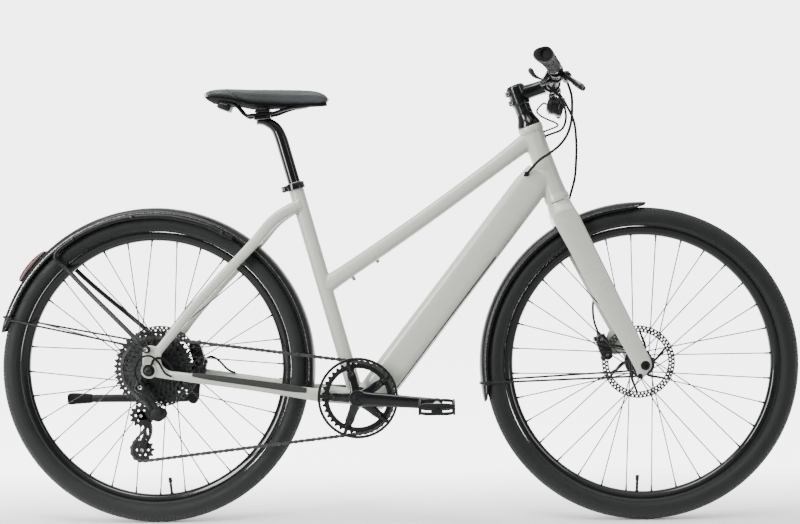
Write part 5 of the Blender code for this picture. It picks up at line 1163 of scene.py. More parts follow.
# %% Axle ends
for side in SIDES:
    outward = Y_AXIS * side
    washer = turned([(6.2, 77.3), (12.2, 77.3), (12.8, 78), (12.2, 79.2), (6.2, 79.2)], REAR_AXLE, outward,
        48, closed=True)
    nut = plate(round_outline(8.8, 6), 79.2, 85.5, REAR_AXLE, X_AXIS, Z_AXIS * -side)
    dome = turned([(7.4, 85.4), (7.4, 86.2), (6.8, 88.2), (5.2, 89.6), (3.4, 90), (3, 88.5)], REAR_AXLE,
        outward, 32)
    core = turned([(9, 8), (9, 67), (6, 67.2), (6, 80)], REAR_AXLE, outward, 32)
    end = gathered([washer, softened(nut, 0.8, 2), dome, core])
    hang(end, "axle_end_" + ("left" if side > 0 else "right"), "bicycle_frame", ANODISED,
        *(["rear_axle"] if side > 0 else []), slot="plated_steel")
boss = turned([(13, 76), (13, 78.4), (13.6, 79.2), (16.4, 79.2), (17.2, 78.2), (17.4, 76)], REAR_AXLE,
    -Y_AXIS, 56, closed=True)
hang(boss, "dropout_boss", "bicycle_frame", PAINT)
boot = swept(route_through([(6, -79, 352), (12, -84, 362), (24, -82, 366), (40, -76, 356), (52, -74, 338)],
    6), 2.6, 14)
hang(boot, "motor_cable", "bicycle_frame", RUBBER)
print("axle ends made")

# %% [markdown]
# The chainset: a forged arm in gloss black carries five short arms, and those carry the toothed ring
# and a slim ring outside it that keeps trouser legs off the chain. White light shows through the gaps
# between tooth tips and the outer ring, so those gaps have to be real.


# %% Chainring and its guard ring
SPIDER_TURNS = [33 + 72 * place for place in range(5)]
BOLT_CIRCLE = 55


def make_chainring():
    valley = valley_at(CRANK_AXLE, pitch_radius(RING_TEETH))
    toothed = pierced(sprocket_outline(RING_TEETH, valley, 2), [round_outline(63.5, 96)], RING_Y - 0.95,
        RING_Y + 0.95, CRANK_AXLE)
    back = pierced(round_outline(71.6, 120), [round_outline(63.6, 96)], RING_Y - 1.9, RING_Y + 1.9,
        CRANK_AXLE, edge=0.5)
    tabs = []
    for turn in SPIDER_TURNS:
        tip = polar(CRANK_AXLE, BOLT_CIRCLE, turn)
        for lean in (-1, 1):
            rim = polar(CRANK_AXLE, 66, turn + lean * 5)
            tabs.append(hull(discs((tip, 7, RING_Y - 1.8, RING_Y + 1.8), (rim, 3.5, RING_Y - 1.8,
                RING_Y + 1.8))))
    ring = gathered([toothed, back] + tabs)
    hang(ring, "chainring_teeth", "crankset", SATIN, "chainring", slot="plated_steel")
    guard = [turned([(81.6, -53.6), (86.4, -53.6), (87, -54.2), (87, -56.8), (86.4, -57.4), (81.6, -57.4),
        (81, -56.8), (81, -54.2)], CRANK_AXLE, steps=160, closed=True)]
    for turn in SPIDER_TURNS:
        outward = polar(Vector(), 1, turn)
        guard.append(block(polar(CRANK_AXLE, 73, turn, -55.4), 20.5, 3.2, 8, 0.8, outward,
            outward.cross(Y_AXIS)))
        guard.append(block(polar(CRANK_AXLE, 66, turn, -52.9), 7, 4.6, 8, 0.8, outward,
            outward.cross(Y_AXIS)))
    hang(guard, "chainring_guard", "crankset", GLOSS)


make_chainring()
print("chainring teeth:", RING_TEETH)


# %% Crank arms, spider and bolts
def hand(side):
    return "left" if side > 0 else "right"


def pedal_place(side):
    """The pedal joint's place, moved to the bicycle's middle plane."""
    place = drawing(joints[hand(side) + "_pedal_spin"]["pos_m"])
    place.y = 0
    return place


def crank_arm(side):
    """Forged arm: a boss on the axle, a waist that narrows, and a boss round the pedal's thread."""
    end = pedal_place(side)
    reach = end - CRANK_AXLE
    rows = [(0.04, 65.5, 7.6, 17), (0.16, 65.8, 7.6, 15.2), (0.32, 67.2, 7.4, 14.6), (0.6, 71.5, 6.8, 13),
        (0.86, 76.3, 6.2, 12.2), (0.99, 78.3, 6.2, 11.6)]
    stations = [(CRANK_AXLE + reach * share + Y_AXIS * side * y, thick, tall) for share, y, thick,
        tall in rows]
    pieces = [lofted(stations, 40, 3, steps=6)]
    pieces.append(turned([(10, 57.2), (17.6, 57.2), (18.5, 58.2), (18.5, 70), (17.4, 72.4), (14.5, 73.4),
        (12.6, 73.2), (12.2, 71.8), (10, 71.8)], CRANK_AXLE, Y_AXIS * side, 56, closed=True))
    pieces.append(turned([(5.2, 71.2), (12, 71.4), (12.6, 72.4), (12.6, 83), (11.6, 84.6), (8, 85.2),
        (5.2, 85.2)], end, Y_AXIS * side, 48, closed=True))
    return pieces


def make_cranks():
    for side in SIDES:
        name = hand(side)
        arm = crank_arm(side)
        if side < 0:
            for turn in SPIDER_TURNS:
                outward = polar(Vector(), 1, turn)
                rows = [(12, -60.2, 4.6, 12.5), (24, -58.6, 3.8, 10.4), (38, -56.2, 3.2, 9.4),
                    (50, -55.3, 2.8, 9.6), (60.5, -55.2, 2.4, 7.6)]
                stations = [(CRANK_AXLE + outward * reach + Y_AXIS * y, thick, tall)
                    for reach, y, thick, tall in rows]
                arm.append(lofted(stations, 28, 2.8, steps=5))
                arm.append(turned([(7.2, -52.4), (7.6, -53), (7.6, -57.4), (7, -58.2), (4, -58.4)],
                    polar(CRANK_AXLE, BOLT_CIRCLE, turn), steps=32))
        hang(arm, name + "_crank_arm", "crankset", GLOSS, name + "_crank")
        end = pedal_place(side)
        outward = Y_AXIS * side
        spindle = [turned([(8, 69.5), (11.2, 69.8), (11.5, 70.6), (11.2, 71.6), (8.6, 72.4), (3.6, 72.2),
            (3.2, 70)], CRANK_AXLE, outward, 40), turned([(8.4, 85.2), (8.6, 85.8), (8.6, 88.4), (5.6, 89),
            (5, 90), (5, 172)], end, outward, 32)]
        if side < 0:
            spindle.append(turned([(11.9, -60), (11.9, 70)], CRANK_AXLE, steps=48))
        hang(spindle, name + "_pedal_spindle", "crankset", ANODISED)
    bolts = [turned([(2.2, -57), (2.4, -58.6), (4.4, -59.2), (4.9, -58.9), (4.9, -57.8)],
        polar(CRANK_AXLE, BOLT_CIRCLE, turn), steps=24) for turn in SPIDER_TURNS]
    hang(bolts, "chainring_bolts", "crankset", ANODISED)


make_cranks()
print("crankset made")

# %% [markdown]
# City pedals are die-cast cages: two toothed rails that grip the sole, two end plates, and a barrel
# that turns on the spindle. The end plate is what a side view shows most.


# %% Pedals
PEDAL_MIDDLE = 138


def make_pedal(side):
    name = hand(side)
    centre = pedal_place(side) + Y_AXIS * (side * PEDAL_MIDDLE)
    teeth = [(-43 + 86 * place / 12, 13 if place % 2 else 10.6) for place in range(13)]
    outline = teeth + [(46, 6), (46, -6)] + [(-y, -z) for y, z in teeth] + [(-46, -6), (-46, 6)]
    window = [(-37, -5), (-3.5, -5), (-3.5, 5), (-37, 5)]
    pieces = []
    for x in (-35.8, 35.8):
        holes = [window, [(-y, -z) for y, z in window]]
        pieces.append(softened(pierced(outline, holes, -2.2, 2.2, centre + X_AXIS * x, Y_AXIS, Z_AXIS), 0.4,
            2))
    for y in (-44, 44):
        shape = [(a, b if abs(a) > 14 else b * 0.97) for a, b in oval(38, 12.6, 56, 4)]
        holes = [round_outline(6.4, 28)] + [[(side_x * 12, -6), (side_x * 31, -5), (side_x * 31, 5),
            (side_x * 12, 6)] for side_x in (-1, 1)]
        pieces.append(pierced(shape, holes, y - 2.6, y + 2.6, centre, edge=0.8))
    for x in (-17, 17):
        pieces.append(block(centre + X_AXIS * x * 1.25, 24, 6, 8, 1.5))
    hang(pieces, name + "_pedal_cage", name + "_pedal_body", NYLON, name + "_pedal")
    barrel = turned([(5.5, -48), (8.6, -48), (9.2, -47), (9.2, -20), (10.2, -14), (10.2, 14), (9.2, 20),
        (9.2, 41), (7.6, 46.8), (5.5, 46.8)], centre, Y_AXIS * side, 36, closed=True)
    cap = turned([(6, 44), (6.2, 46.4), (5.4, 47.6), (2.6, 48), (2.2, 47.2)], centre, Y_AXIS * side, 28)
    hang([barrel, cap], name + "_pedal_barrel", name + "_pedal_body", ANODISED)


for side in SIDES:
    make_pedal(side)
print("pedals made")

# %% [markdown]
# A derailleur is a small four-bar linkage: an upper knuckle on the frame's hanger, two slanted links
# and a lower knuckle with a clutch. The lower knuckle carries the cage whose two toothed wheels keep
# the chain tight.

# %% Derailleur
KNUCKLE = point(14, 0, 242)
HANGER = point(-18, 0, 304)


def make_derailleur():
    shell = [hull(discs((point(-9, 0, 330.5), 4.8, -76, -70), (HANGER, 8.5, -76, -70)))]
    shell.append(turned([(6, -73.6), (11, -73.6), (11.9, -74.6), (11.9, -85.6), (11, -87.4), (7.6, -88),
        (7, -86.6), (4, -86.6)], HANGER, steps=40))
    shell.append(hull(discs((HANGER, 8, -86.5, -76), (point(-4, 0, 292), 9, -84, -72))))
    bar = (KNUCKLE - HANGER).normalized()
    across = Y_AXIS.cross(bar)
    for lean, y in ((-6.5, -80.5), (6, -70)):
        start = HANGER + bar * 10 + across * lean
        end = KNUCKLE - bar * 6 + across * lean * 0.9
        shell.append(lofted([(start + Y_AXIS * y, 2.2, 6.2), (start.lerp(end, 0.5) + Y_AXIS * (y + 9), 1.9,
            4.6), (end + Y_AXIS * (y + 17.5), 2.2, 6)], 20, 3, steps=5))
    shell.append(turned([(5, -43.2), (14.4, -43.2), (15.3, -44.2), (15.3, -58.4), (14.2, -60.2),
        (9.5, -60.6)], KNUCKLE, steps=44))
    shell.append(hull(discs((KNUCKLE, 9.5, -64, -56), (KNUCKLE + point(4, 0, 11), 6, -66, -56))))
    hang([softened(item, 0.5, 2) for item in shell], "derailleur_linkage", "bicycle_frame", SATIN,
        "derailleur_body", slot="black_anodised_aluminium")
    cap = turned([(11.6, -59.8), (12.6, -60.6), (12.2, -62.4), (9, -63.2), (3.2, -63.4), (2.6, -62.2)],
        KNUCKLE + point(9, 0, 3), steps=40)
    hang(cap, "derailleur_clutch_cap", "bicycle_frame", ANODISED)
    bolts = [turned([(radius * 0.5, y + 3), (radius * 0.5, y - 0.4), (radius * 0.9, y - 1.4),
        (radius, y - 0.8), (radius, y + 3)], place, steps=28) for place, radius, y in ((HANGER, 5, -86.4),
        (point(18, 0, 265), 3.4, -66), (HANGER + bar * 12 + across * 2, 2.6, -84))]
    hang(bolts, "derailleur_bolts", "bicycle_frame", BRIGHT)
    adjuster = turned([(2.6, 0), (4.4, 0.5), (4.4, 9.5), (3.2, 11), (2.4, 16)], point(-21.6, -85.5, 306),
        point(-0.1, 0, 1).normalized(), 14)
    hang(adjuster, "derailleur_cable_adjuster", "bicycle_frame", NYLON)


def make_cage():
    y = COG_Y
    pieces = []
    for low, high in ((y - 6.6, y - 5.2), (y + 5.1, y + 6.3)):
        rows = [(UPPER_JOCKEY.x, UPPER_JOCKEY.z, 10.5), (-13, 216, 8), (-14, 196, 8.5),
            (LOWER_JOCKEY.x + 3, 178, 8), (LOWER_JOCKEY.x, LOWER_JOCKEY.z, 10.5)]
        spine = through(rows, 8)
        outline = []
        for place, (x, z, wide) in enumerate(spine):
            before = spine[max(place - 1, 0)]
            after = spine[min(place + 1, len(spine) - 1)]
            lean = math.atan2(after[1] - before[1], after[0] - before[0])
            outline.append((x + wide * math.sin(lean), z - wide * math.cos(lean), x - wide * math.sin(lean),
                z + wide * math.cos(lean)))
        top, foot = [[polar(centre, 10.5, turn).xz for turn in turns] for centre, turns in ((UPPER_JOCKEY,
            range(150, 20, -20)), (LOWER_JOCKEY, range(-20, -165, -20)))]
        shape = top + [row[2:] for row in outline[2:-2]] + foot + [row[:2] for row in
            reversed(outline[2:-2])]
        slots = [[(-13.5 + 3.2 * a, 203 + 9 * b) for a, b in round_outline(1, 14)],
            round_outline(2.6, 14, -16, 184)]
        pieces.append(pierced(shape, slots, low, high, edge=0.3))
    pieces.append(hull(discs((UPPER_JOCKEY, 9, y - 6.6, y - 5.2), (KNUCKLE, 10.5, y - 6.6, y - 5.2))))
    hang(pieces, "derailleur_cage_plates", "bicycle_frame", ANODISED, "derailleur_cage")
    pins = [turned([(1.8, y - 7.6), (3.8, y - 8), (4.2, y - 7.4), (4.2, y - 6.4), (2.9, y - 6.2),
        (2.9, y + 6.4)], centre, steps=24) for centre in (UPPER_JOCKEY, LOWER_JOCKEY)]
    hang(pins, "jockey_pins", "bicycle_frame", BRIGHT)


def make_jockey(name, centre):
    radius = pitch_radius(JOCKEY_TEETH)
    valley = valley_at(centre, radius)
    wheel = pierced(sprocket_outline(JOCKEY_TEETH, valley, 1.6), [round_outline(3.4, 20)] +
        ring_of(12, 6, 2.6, 0, 12), COG_Y - 0.95, COG_Y + 0.95, centre)
    hub = turned(mirrored([(3.3, -3.2), (7.6, -3.2), (8.2, -2.4)]), centre + Y_AXIS * COG_Y, steps=32,
        closed=True)
    hang([wheel, hub], name + "_wheel_disc", name + "_body", NYLON, name)


make_derailleur()
make_cage()
make_jockey("upper_jockey", UPPER_JOCKEY)
make_jockey("lower_jockey", LOWER_JOCKEY)
print("derailleur made")

# %% [markdown]
# ## Mudguards, carrier tubes and rear lamp
# A mudguard is a rolled or moulded blade: crowned on top, with sides that drop over the tyre. Its ends
# narrow to a rounded point. A thin bright strip on each side's bend is a painted highlight, and wires
# hold the blade off the tyre.

# %% Mudguard blades
GUARD_RADIUS = 351
BLADE_SECTION = ((28.5, -17.5), (28.4, -14), (27.7, -10.5), (25.6, -7), (22.2, -4.4), (17, -2.3),
    (10, -0.8), (0, 0))


def blade_section(section, axle, arc, turn, both):
    """The blade's section at a place round the wheel: narrower and flatter near a rounded end."""
    left = min(arc[1] - turn, turn - arc[0] if both else 999)
    width = min(1, 0.4 + 0.6 * math.sqrt(max(0, left / 7)))
    deep = min(1, 0.25 + 0.75 * math.sqrt(max(0, left / 8)))
    return [polar(axle, GUARD_RADIUS + drop * deep, turn, y * width) for y, drop in section]


def make_mudguard(name, body, axle, arc, both):
    outer = list(BLADE_SECTION) + [(-y, drop) for y, drop in reversed(BLADE_SECTION[:-1])]
    inner = [(y * 0.93, drop - 1.8 if abs(y) < 24 else drop) for y, drop in outer]
    section = outer + list(reversed(inner))
    steps = round(arc[1] - arc[0]) * 2
    turns = [arc[0] + (arc[1] - arc[0]) * step / steps for step in range(steps + 1)]
    blade = skinned([blade_section(section, axle, arc, turn, both) for turn in turns], sharp=40)
    hang(softened(blade, 0.5, 2, 60), name + "_blade", body, SATIN, name)
    # A thin bright steel strip on each side's bend paints in the highlight that light leaves there.
    lines = []
    for side in SIDES:
        line = [(side * y, drop) for y, drop in ((28.2, -11.2), (28.9, -11.4), (29, -12.6), (28.3, -12.8))]
        lines.append(skinned([blade_section(line, axle, arc, turn, both) for turn in turns[6:-6]]))
    hang(lines, name + "_painted_highlight_lines", body, BRIGHT)


make_mudguard("rear_mudguard", "bicycle_frame", REAR_AXLE, (-7.9, 166.5), False)
make_mudguard("front_mudguard", "steering", FRONT_AXLE, (88, 193.2), True)
print("mudguards made")

# %% Stay wires, clips and bolts
EYE = point(-4, 0, 384)
REAR_WIRE_AT = 160.8
FRONT_WIRE_AT = 186.5
TUBE_RADIUS = 332


def stay_wire(axle, degrees, end, reach):
    half = 28.5
    corner = [(half + 1.6, -26), (half + 1.5, -17), (half + 0.4, -10), (half - 4.5, -3.4), (half - 12, 0.6),
        (half - 20, 1.2)]
    near = [end - Y_AXIS * reach] + [polar(axle, GUARD_RADIUS + drop, degrees, -y) for y, drop in corner]
    far = [Vector((place.x, -place.y, place.z)) for place in reversed(near)]
    return swept(near[:1] + route_through(near[1:] + far[:-1], 5) + far[-1:], 2.25, 12)


def stay_clips(axle, degrees):
    clips = []
    for side in SIDES:
        centre = polar(axle, GUARD_RADIUS - 15, degrees, side * 30.2)
        outward = polar(Vector(), 1, degrees)
        clips.append(block(centre, 15, 4, 8, 1.4, outward, outward.cross(Y_AXIS)))
        clips.append(rounded_rod(centre + Y_AXIS * side * 2, 2.6, -0.8, 1.2, Y_AXIS * side, 0.5, 18))
    return clips


hang(stay_wire(REAR_AXLE, REAR_WIRE_AT, EYE, 65.4), "rear_stay_wire", "bicycle_frame", SATIN)
hang(stay_wire(FRONT_AXLE, FRONT_WIRE_AT, FRONT_EYE, 65.9), "front_stay_wire", "steering", SATIN)
hang(stay_clips(REAR_AXLE, REAR_WIRE_AT), "rear_stay_clips", "bicycle_frame", NYLON)
hang(stay_clips(FRONT_AXLE, FRONT_WIRE_AT), "front_stay_clips", "steering", NYLON)
eyes = [turned([(2.4, 61), (5.8, 61.2), (6.2, 62), (6.2, 67), (5.6, 67.8), (2.4, 67.8)], EYE, Y_AXIS * side,
    24, True) for side in SIDES]
hang(eyes, "rear_stay_eyes", "bicycle_frame", SATIN)
eyes = [rounded_rod(FRONT_EYE, 5.4, 62.6, 68.4, Y_AXIS * side, 0.8, 24) for side in SIDES]
hang(eyes, "front_stay_eyes", "steering", ANODISED)


def carrier_tube(side):
    beside = 33.8
    places = [EYE + Y_AXIS * side * 82.3, (-21, side * 82.3, 402), (-76, side * 66, 453),
        (-135, side * 47, 507), (-180, side * (beside + 1), 551), polar(REAR_AXLE, 326, 130.5,
        side * beside), polar(REAR_AXLE, TUBE_RADIUS, 122, side * beside)]
    places += [polar(REAR_AXLE, TUBE_RADIUS, turn, side * beside) for turn in (112, 100, 85, 70, 58)]
    path = route_through(places, 8)
    name = hand(side)
    radii = [4.2, 4.7] + [5] * (len(path) - 4) + [4.7, 4]
    hang(swept(path, radii, 20), "carrier_tube_" + name + "_bent", "bicycle_frame", SATIN,
        "carrier_tube_" + name)
    ends = [rounded_rod(EYE, 8, 77.4, 79, Y_AXIS * side, 0.5, 32), rounded_rod(EYE, 7.2, 83, 88.4,
        Y_AXIS * side, 1.2, 28)]
    for turn in (121, 97, 62):
        ends.append(rounded_rod(polar(REAR_AXLE, TUBE_RADIUS, turn), 4.6, 27.6, 40.4, Y_AXIS * side, 0.8,
            24))
    return ends


fittings = carrier_tube(-1) + carrier_tube(1)
hang(fittings, "carrier_tube_fittings", "bicycle_frame", ANODISED)
bolts = [turned([(1.6, 88), (1.8, 88.8), (3.6, 89.2), (4.2, 88.6), (4.2, 87.8)], EYE, Y_AXIS * side, 24)
    for side in SIDES]
hang(bolts, "carrier_tube_bolts", "bicycle_frame", BRIGHT)
print("stays and carrier tubes made")

# %% [markdown]
# The rear lamp is a dark red acrylic shell, welded to a black back that follows the mudguard's curve.


# %% Rear lamp
def lamp_shell(inset, lift_share, foot):
    rings = []
    for turn, lift in through([(133, 3), (134.2, 6), (137, 9), (141, 10.5), (145, 9.6), (146.3, 7.6),
            (146.9, 4.6)], 3):
        ring = []
        for step in range(17):
            angle = math.pi * step / 16
            across = math.copysign(abs(math.cos(angle)) ** 0.6, math.cos(angle)) * (15 - inset)
            up = (math.sin(angle) ** 0.6) * (lift - inset) * lift_share
            ring.append(polar(REAR_AXLE, GUARD_RADIUS + foot + max(0, up), turn, -across))
        rings.append(ring)
    return skinned(rings, sharp=50)


hang(lamp_shell(0, 1, 1.2), "rear_lamp_lens", "bicycle_frame", RED_LENS, "rear_lamp")
hang(lamp_shell(-0.6, 0.24, 0.6), "rear_lamp_back", "bicycle_frame", NYLON)
print("rear lamp made")

# %% [markdown]
# ## Brakes
# A caliper is a forged body astride the disc. Its slot is cut by the disc's own shape with a little
# clearance. Round piston caps, a banjo bolt for the hose and two mounting bolts stand on it.


# %% Calipers
def make_caliper(name, body, centre, along, axle, disc_radius, replaced):
    outward = along.cross(Y_AXIS)
    shape = [(a, b - (2.5 if abs(a) > 20 and b > 0 else 0)) for a, b in oval(29.5, 13.4, 48, 3.2)]
    core = softened(plate(shape, -10.8, 10.8, centre, along, outward), 2.6, 3, 50)
    slot = turned([(18, 37.2), (disc_radius + 2.6, 37.2), (disc_radius + 2.6, 40.8), (18, 40.8)], axle,
        steps=96, closed=True)
    mounts = [centre + along * reach + Y_AXIS * 6.6 for reach in (-22.5, 22.5)]
    pieces = [cut(core, [slot])]
    pieces += [turned([(10.4, 9.4), (10.2, 11.3), (9.2, 12.2), (5.2, 12.4), (4.8, 11.6)], centre,
        Y_AXIS * side, 40) for side in SIDES]
    pieces += [rounded_rod(place, 5.4, -12, 14.4, outward, 1, 28) for place in mounts]
    top = centre + along * 25 + Y_AXIS * 6
    pieces.append(turned([(3, 0), (5.6, 0.4), (5.8, 5), (4.4, 6.6), (4, 9)], top, along, 24))
    hang(pieces, name + "_caliper_body", body, ANODISED, replaced)
    bolts = [turned([(1.9, 14.2), (2.1, 15), (3.8, 15.4), (4.3, 14.8), (4.3, 13.8)], place, outward, 20)
        for place in mounts]
    bolts += [turned([(1.4, 10.6), (1.5, 11.6), (2.6, 11.8), (3, 11.2), (3, 10.2)], centre + along * reach,
        -Y_AXIS, 18) for reach in (18, -18)]
    hang(bolts, name + "_caliper_bolts", body, BRIGHT)


rear_outward = polar(Vector(), 1, 17.8)
make_caliper("rear", "bicycle_frame", REAR_AXLE + rear_outward * 88 + Y_AXIS * 40.75,
    Y_AXIS.cross(rear_outward), REAR_AXLE, 90, "rear_caliper")
make_caliper("front", "steering", steer(56.7, -14.6, 40.75), STEER_UP, FRONT_AXLE, 80, "front_caliper")
foot = softened(plate([(66, 324), (98, 318.5), (103, 345), (94, 352), (72, 352)], 45, 65), 2, 3)
hang(foot, "rear_caliper_foot", "bicycle_frame", ANODISED)
print("calipers made")

# %% [markdown]
# ## Kickstand
# The stand folds back along the left chainstay. Its leg is one bent aluminium tube with a rubber foot,
# and it turns on a pin in a bracket that is bolted to the stay.

# %% Kickstand
KICK_PIVOT = drawing(joints["kickstand_fold"]["pos_m"])
KICK_AXIS = Vector(joints["kickstand_fold"]["axis"]).normalized()


def make_kickstand():
    body = softened(plate([(58, 344), (52, 331), (53.5, 263), (59.5, 251), (71.5, 251), (79, 263),
        (85, 330), (79.5, 342)], 79.6, 84.8), 1.2, 3)
    foot = softened(plate([(62.5, 310), (62.5, 298.6), (83.5, 298.6), (83.5, 310)], 68, 81), 0.8, 2)
    boss = hull(circle(KICK_PIVOT + KICK_AXIS * 9, 11, X_AXIS, KICK_AXIS.cross(X_AXIS), 40) +
        circle(Vector((KICK_PIVOT.x, 84, KICK_PIVOT.z)), 12, X_AXIS, Z_AXIS, 40))
    pin = rounded_rod(KICK_PIVOT, 4, -7, 12, KICK_AXIS, 0.6, 32)
    bracket = gathered([body, foot, softened(boss, 0.8, 2), pin])
    hang(bracket, "kickstand_bracket_forging", "bicycle_frame", SATIN, "kickstand_bracket")
    bolts = [turned([(2, 86), (2.2, 88), (4.2, 88.4), (4.8, 87.8), (4.8, 84.6)], point(x, 0, z), steps=24)
        for x, z in ((61.5, 331), (77, 330), (66, 275))]
    bolts.append(turned([(1.8, -9), (2, -9.8), (5.2, -9.6), (6.2, -8.8), (6.2, -7)], KICK_PIVOT, KICK_AXIS,
        28))
    hang(bolts, "kickstand_bolts", "bicycle_frame", BRIGHT)
    eye = turned([(4.5, -5), (10.4, -5), (11, -4.4), (11, 7.4), (10.4, 8), (4.5, 8)], KICK_PIVOT, KICK_AXIS,
        40, closed=True)
    start = KICK_PIVOT - X_AXIS * 8
    end = KICK_PIVOT - X_AXIS * 288
    rows = [(0, 7.2, 8), (0.06, 8, 9.4), (0.15, 7.6, 9.6), (0.5, 7.2, 9.2), (0.83, 7, 8.8)]
    leg = lofted([(start.lerp(end, share), wide, tall) for share, wide, tall in rows], 28, 2.2, steps=5)
    hang([eye, leg], "kickstand_tube", "kickstand", SATIN, "kickstand_leg")
    rows = [(0.8, 7.8, 9.6), (0.815, 8.6, 10.6), (0.86, 9.4, 11.4), (0.93, 10.2, 12.8), (0.975, 10, 12.6),
        (0.995, 8.4, 10.8), (1, 6, 8.2)]
    shoe = lofted([(start.lerp(end, share), wide, tall) for share, wide, tall in rows], 32, 2.6, steps=4)
    heel = block(start.lerp(end, 0.967) - Z_AXIS * 9, 15, 17, 8, 2.6)
    toe = block(start.lerp(end, 0.9) - Z_AXIS * 8, 9, 15, 5, 1.8)
    hang([shoe, heel, toe], "kickstand_foot", "kickstand", RUBBER)


make_kickstand()
print("kickstand made")

# %% [markdown]
# ## Handlebar, stem and headset
# The stem is a forging: a clamp on the fork's steerer, a short neck and a clamp for the bar with a
# separate face plate. Melting its solids together gives the forging's soft transitions.

# %% Spacers and stem
HEAD_TOP = 567.5
SPACER_TOP = 615.5
STEM_TOP = 660.5
PINCH_BOLTS = (SPACER_TOP + 12, STEM_TOP - 12)
FACE_BOLTS = [(turn, y) for turn in (48, -50) for y in (-14, 14)]
STEM_HEIGHT = HEAD_TOP + 72
BAR_CENTRE = polar(steer(STEM_HEIGHT, 0), 75, 18)


def make_spacers():
    axis = steer(0, 0)
    low = HEAD_TOP + 0.3
    cover = turned([(14.6, low), (25.6, low), (26, low + 0.6), (25.8, low + 3), (24.6, low + 8),
        (22, low + 14), (19.6, low + 20), (18.4, low + 25), (18, low + 27.2), (17.4, low + 27.7),
        (14.6, low + 27.7)], axis, STEER_UP, 64, closed=True)
    rings = [turned([(14.6, start), (17.6, start), (18, start + 0.5), (18, end - 0.5), (17.6, end),
        (14.6, end)], axis, STEER_UP, 64, closed=True) for start, end in ((595.6, 605.5), (605.6, 615.4))]
    hang([cover] + rings, "headset_cover_and_spacers", "steering", GLOSS, "headset_spacers")


def make_stem():
    axis = steer(0, 0)
    low = SPACER_TOP + 0.4
    clamp = turned([(18.4, low), (19.8, low + 1.2), (20.3, low + 4), (20.3, STEM_TOP - 3.5),
        (19.4, STEM_TOP - 1), (17.5, STEM_TOP - 0.2)], axis, STEER_UP, 56)
    root = steer(STEM_HEIGHT, 10)
    reach = (BAR_CENTRE - root).normalized()
    arm = lofted([(root, 17, 17), (root + reach * 30, 14.6, 15.2), (BAR_CENTRE - reach * 10, 19, 15)], 36,
        2.6)
    eye = turned(mirrored([(19.6, -23), (20.4, -22)]), BAR_CENTRE, steps=56)
    lugs = [block(steer(height, -20.5), 11, 25, 12, 3, STEER_AHEAD, STEER_UP) for height in PINCH_BOLTS]
    lugs += [turned([(4.6, -7), (4.6, 5.5)], polar(BAR_CENTRE, 20.4, turn, side), reach, 20)
        for turn, side in FACE_BOLTS]
    body = melted([clamp, arm, eye] + lugs, voxel=0.9, rounds=5)
    across = reach.cross(Y_AXIS)
    seam = block(BAR_CENTRE + reach * 8.5, 0.9, 60, 60, 0.1, reach, across)
    slit = block(steer(STEM_TOP - 22, -24), 18, 1.4, 60, 0.1, STEER_AHEAD, STEER_UP)
    body = cut(body, [turned([(14.6, low - 3), (14.6, STEM_TOP - 1.5)], axis, STEER_UP, 48),
        turned([(16.2, -30), (16.2, 30)], BAR_CENTRE, steps=56), seam, slit])
    hang(body, "stem_forging", "steering", GLOSS, "stem")
    cap = turned([(17.4, STEM_TOP - 0.9), (17.9, STEM_TOP - 0.4), (17.6, STEM_TOP + 1.4),
        (16, STEM_TOP + 2.2), (5, STEM_TOP + 2.2), (4.2, STEM_TOP + 0.8)], axis, STEER_UP, 56)
    hang(cap, "stem_top_cap", "steering", GLOSS)
    bolts = [turned([(1.8, 5), (2, 7.4), (3.4, 7.8), (3.9, 7.2), (3.9, 4.5)], polar(BAR_CENTRE, 20.4, turn,
        side), reach, 20) for turn, side in FACE_BOLTS]
    bolts += [turned([(1.8, -12.4), (2, -14.4), (3.5, -14.8), (4, -14.2), (4, -12)], steer(height, -20.5),
        steps=20) for height in PINCH_BOLTS]
    bolts.append(turned([(2.4, STEM_TOP + 1), (2.6, STEM_TOP + 2.6), (4.2, STEM_TOP + 3),
        (4.6, STEM_TOP + 2.4), (4.6, STEM_TOP + 1)], axis, STEER_UP, 20))
    hang(bolts, "stem_bolts", "steering", BRIGHT)


make_spacers()
make_stem()
print("stem made")

# %% [markdown]
# The bar is a butted tube: thick where the stem holds it, straight for the headlamp and the clamps, and
# then swept back. The grips are moulded rubber with cross ribs, an inner clamp ring and a palm rest.

# %% Handlebar and grips
BAR_HALF = 320
GRIP_LENGTH = 130
BAR_PLACES = [(0, 0, 0), (45, 0, 0), (90, 4, 5), (150, -2, 12), (BAR_HALF, -36, 20)]


def bar_point(y):
    distance = abs(y)
    for (y0, x0, z0), (y1, x1, z1) in zip(BAR_PLACES, BAR_PLACES[1:]):
        if distance <= y1 or y1 == BAR_HALF:
            share = (distance - y0) / (y1 - y0)
            return BAR_CENTRE + point(x0 + (x1 - x0) * share, y, z0 + (z1 - z0) * share)


def bar_along(y):
    return (bar_point(y + 2) - bar_point(y - 2)).normalized()


def make_bar():
    stations = [-317, -240, -170, -150, -130, -90, -62, -28, 0, 28, 62, 90, 130, 150, 170, 240, 317]
    path = route_through([bar_point(y) for y in stations], 6)
    radii = [15.9 - 4.8 * min(1, max(0, (abs(place.y) - 28) / 34)) for place in path]
    hang(swept(path, radii, 36), "bar_tube", "steering", SATIN, "handlebar",
        slot="black_anodised_aluminium")


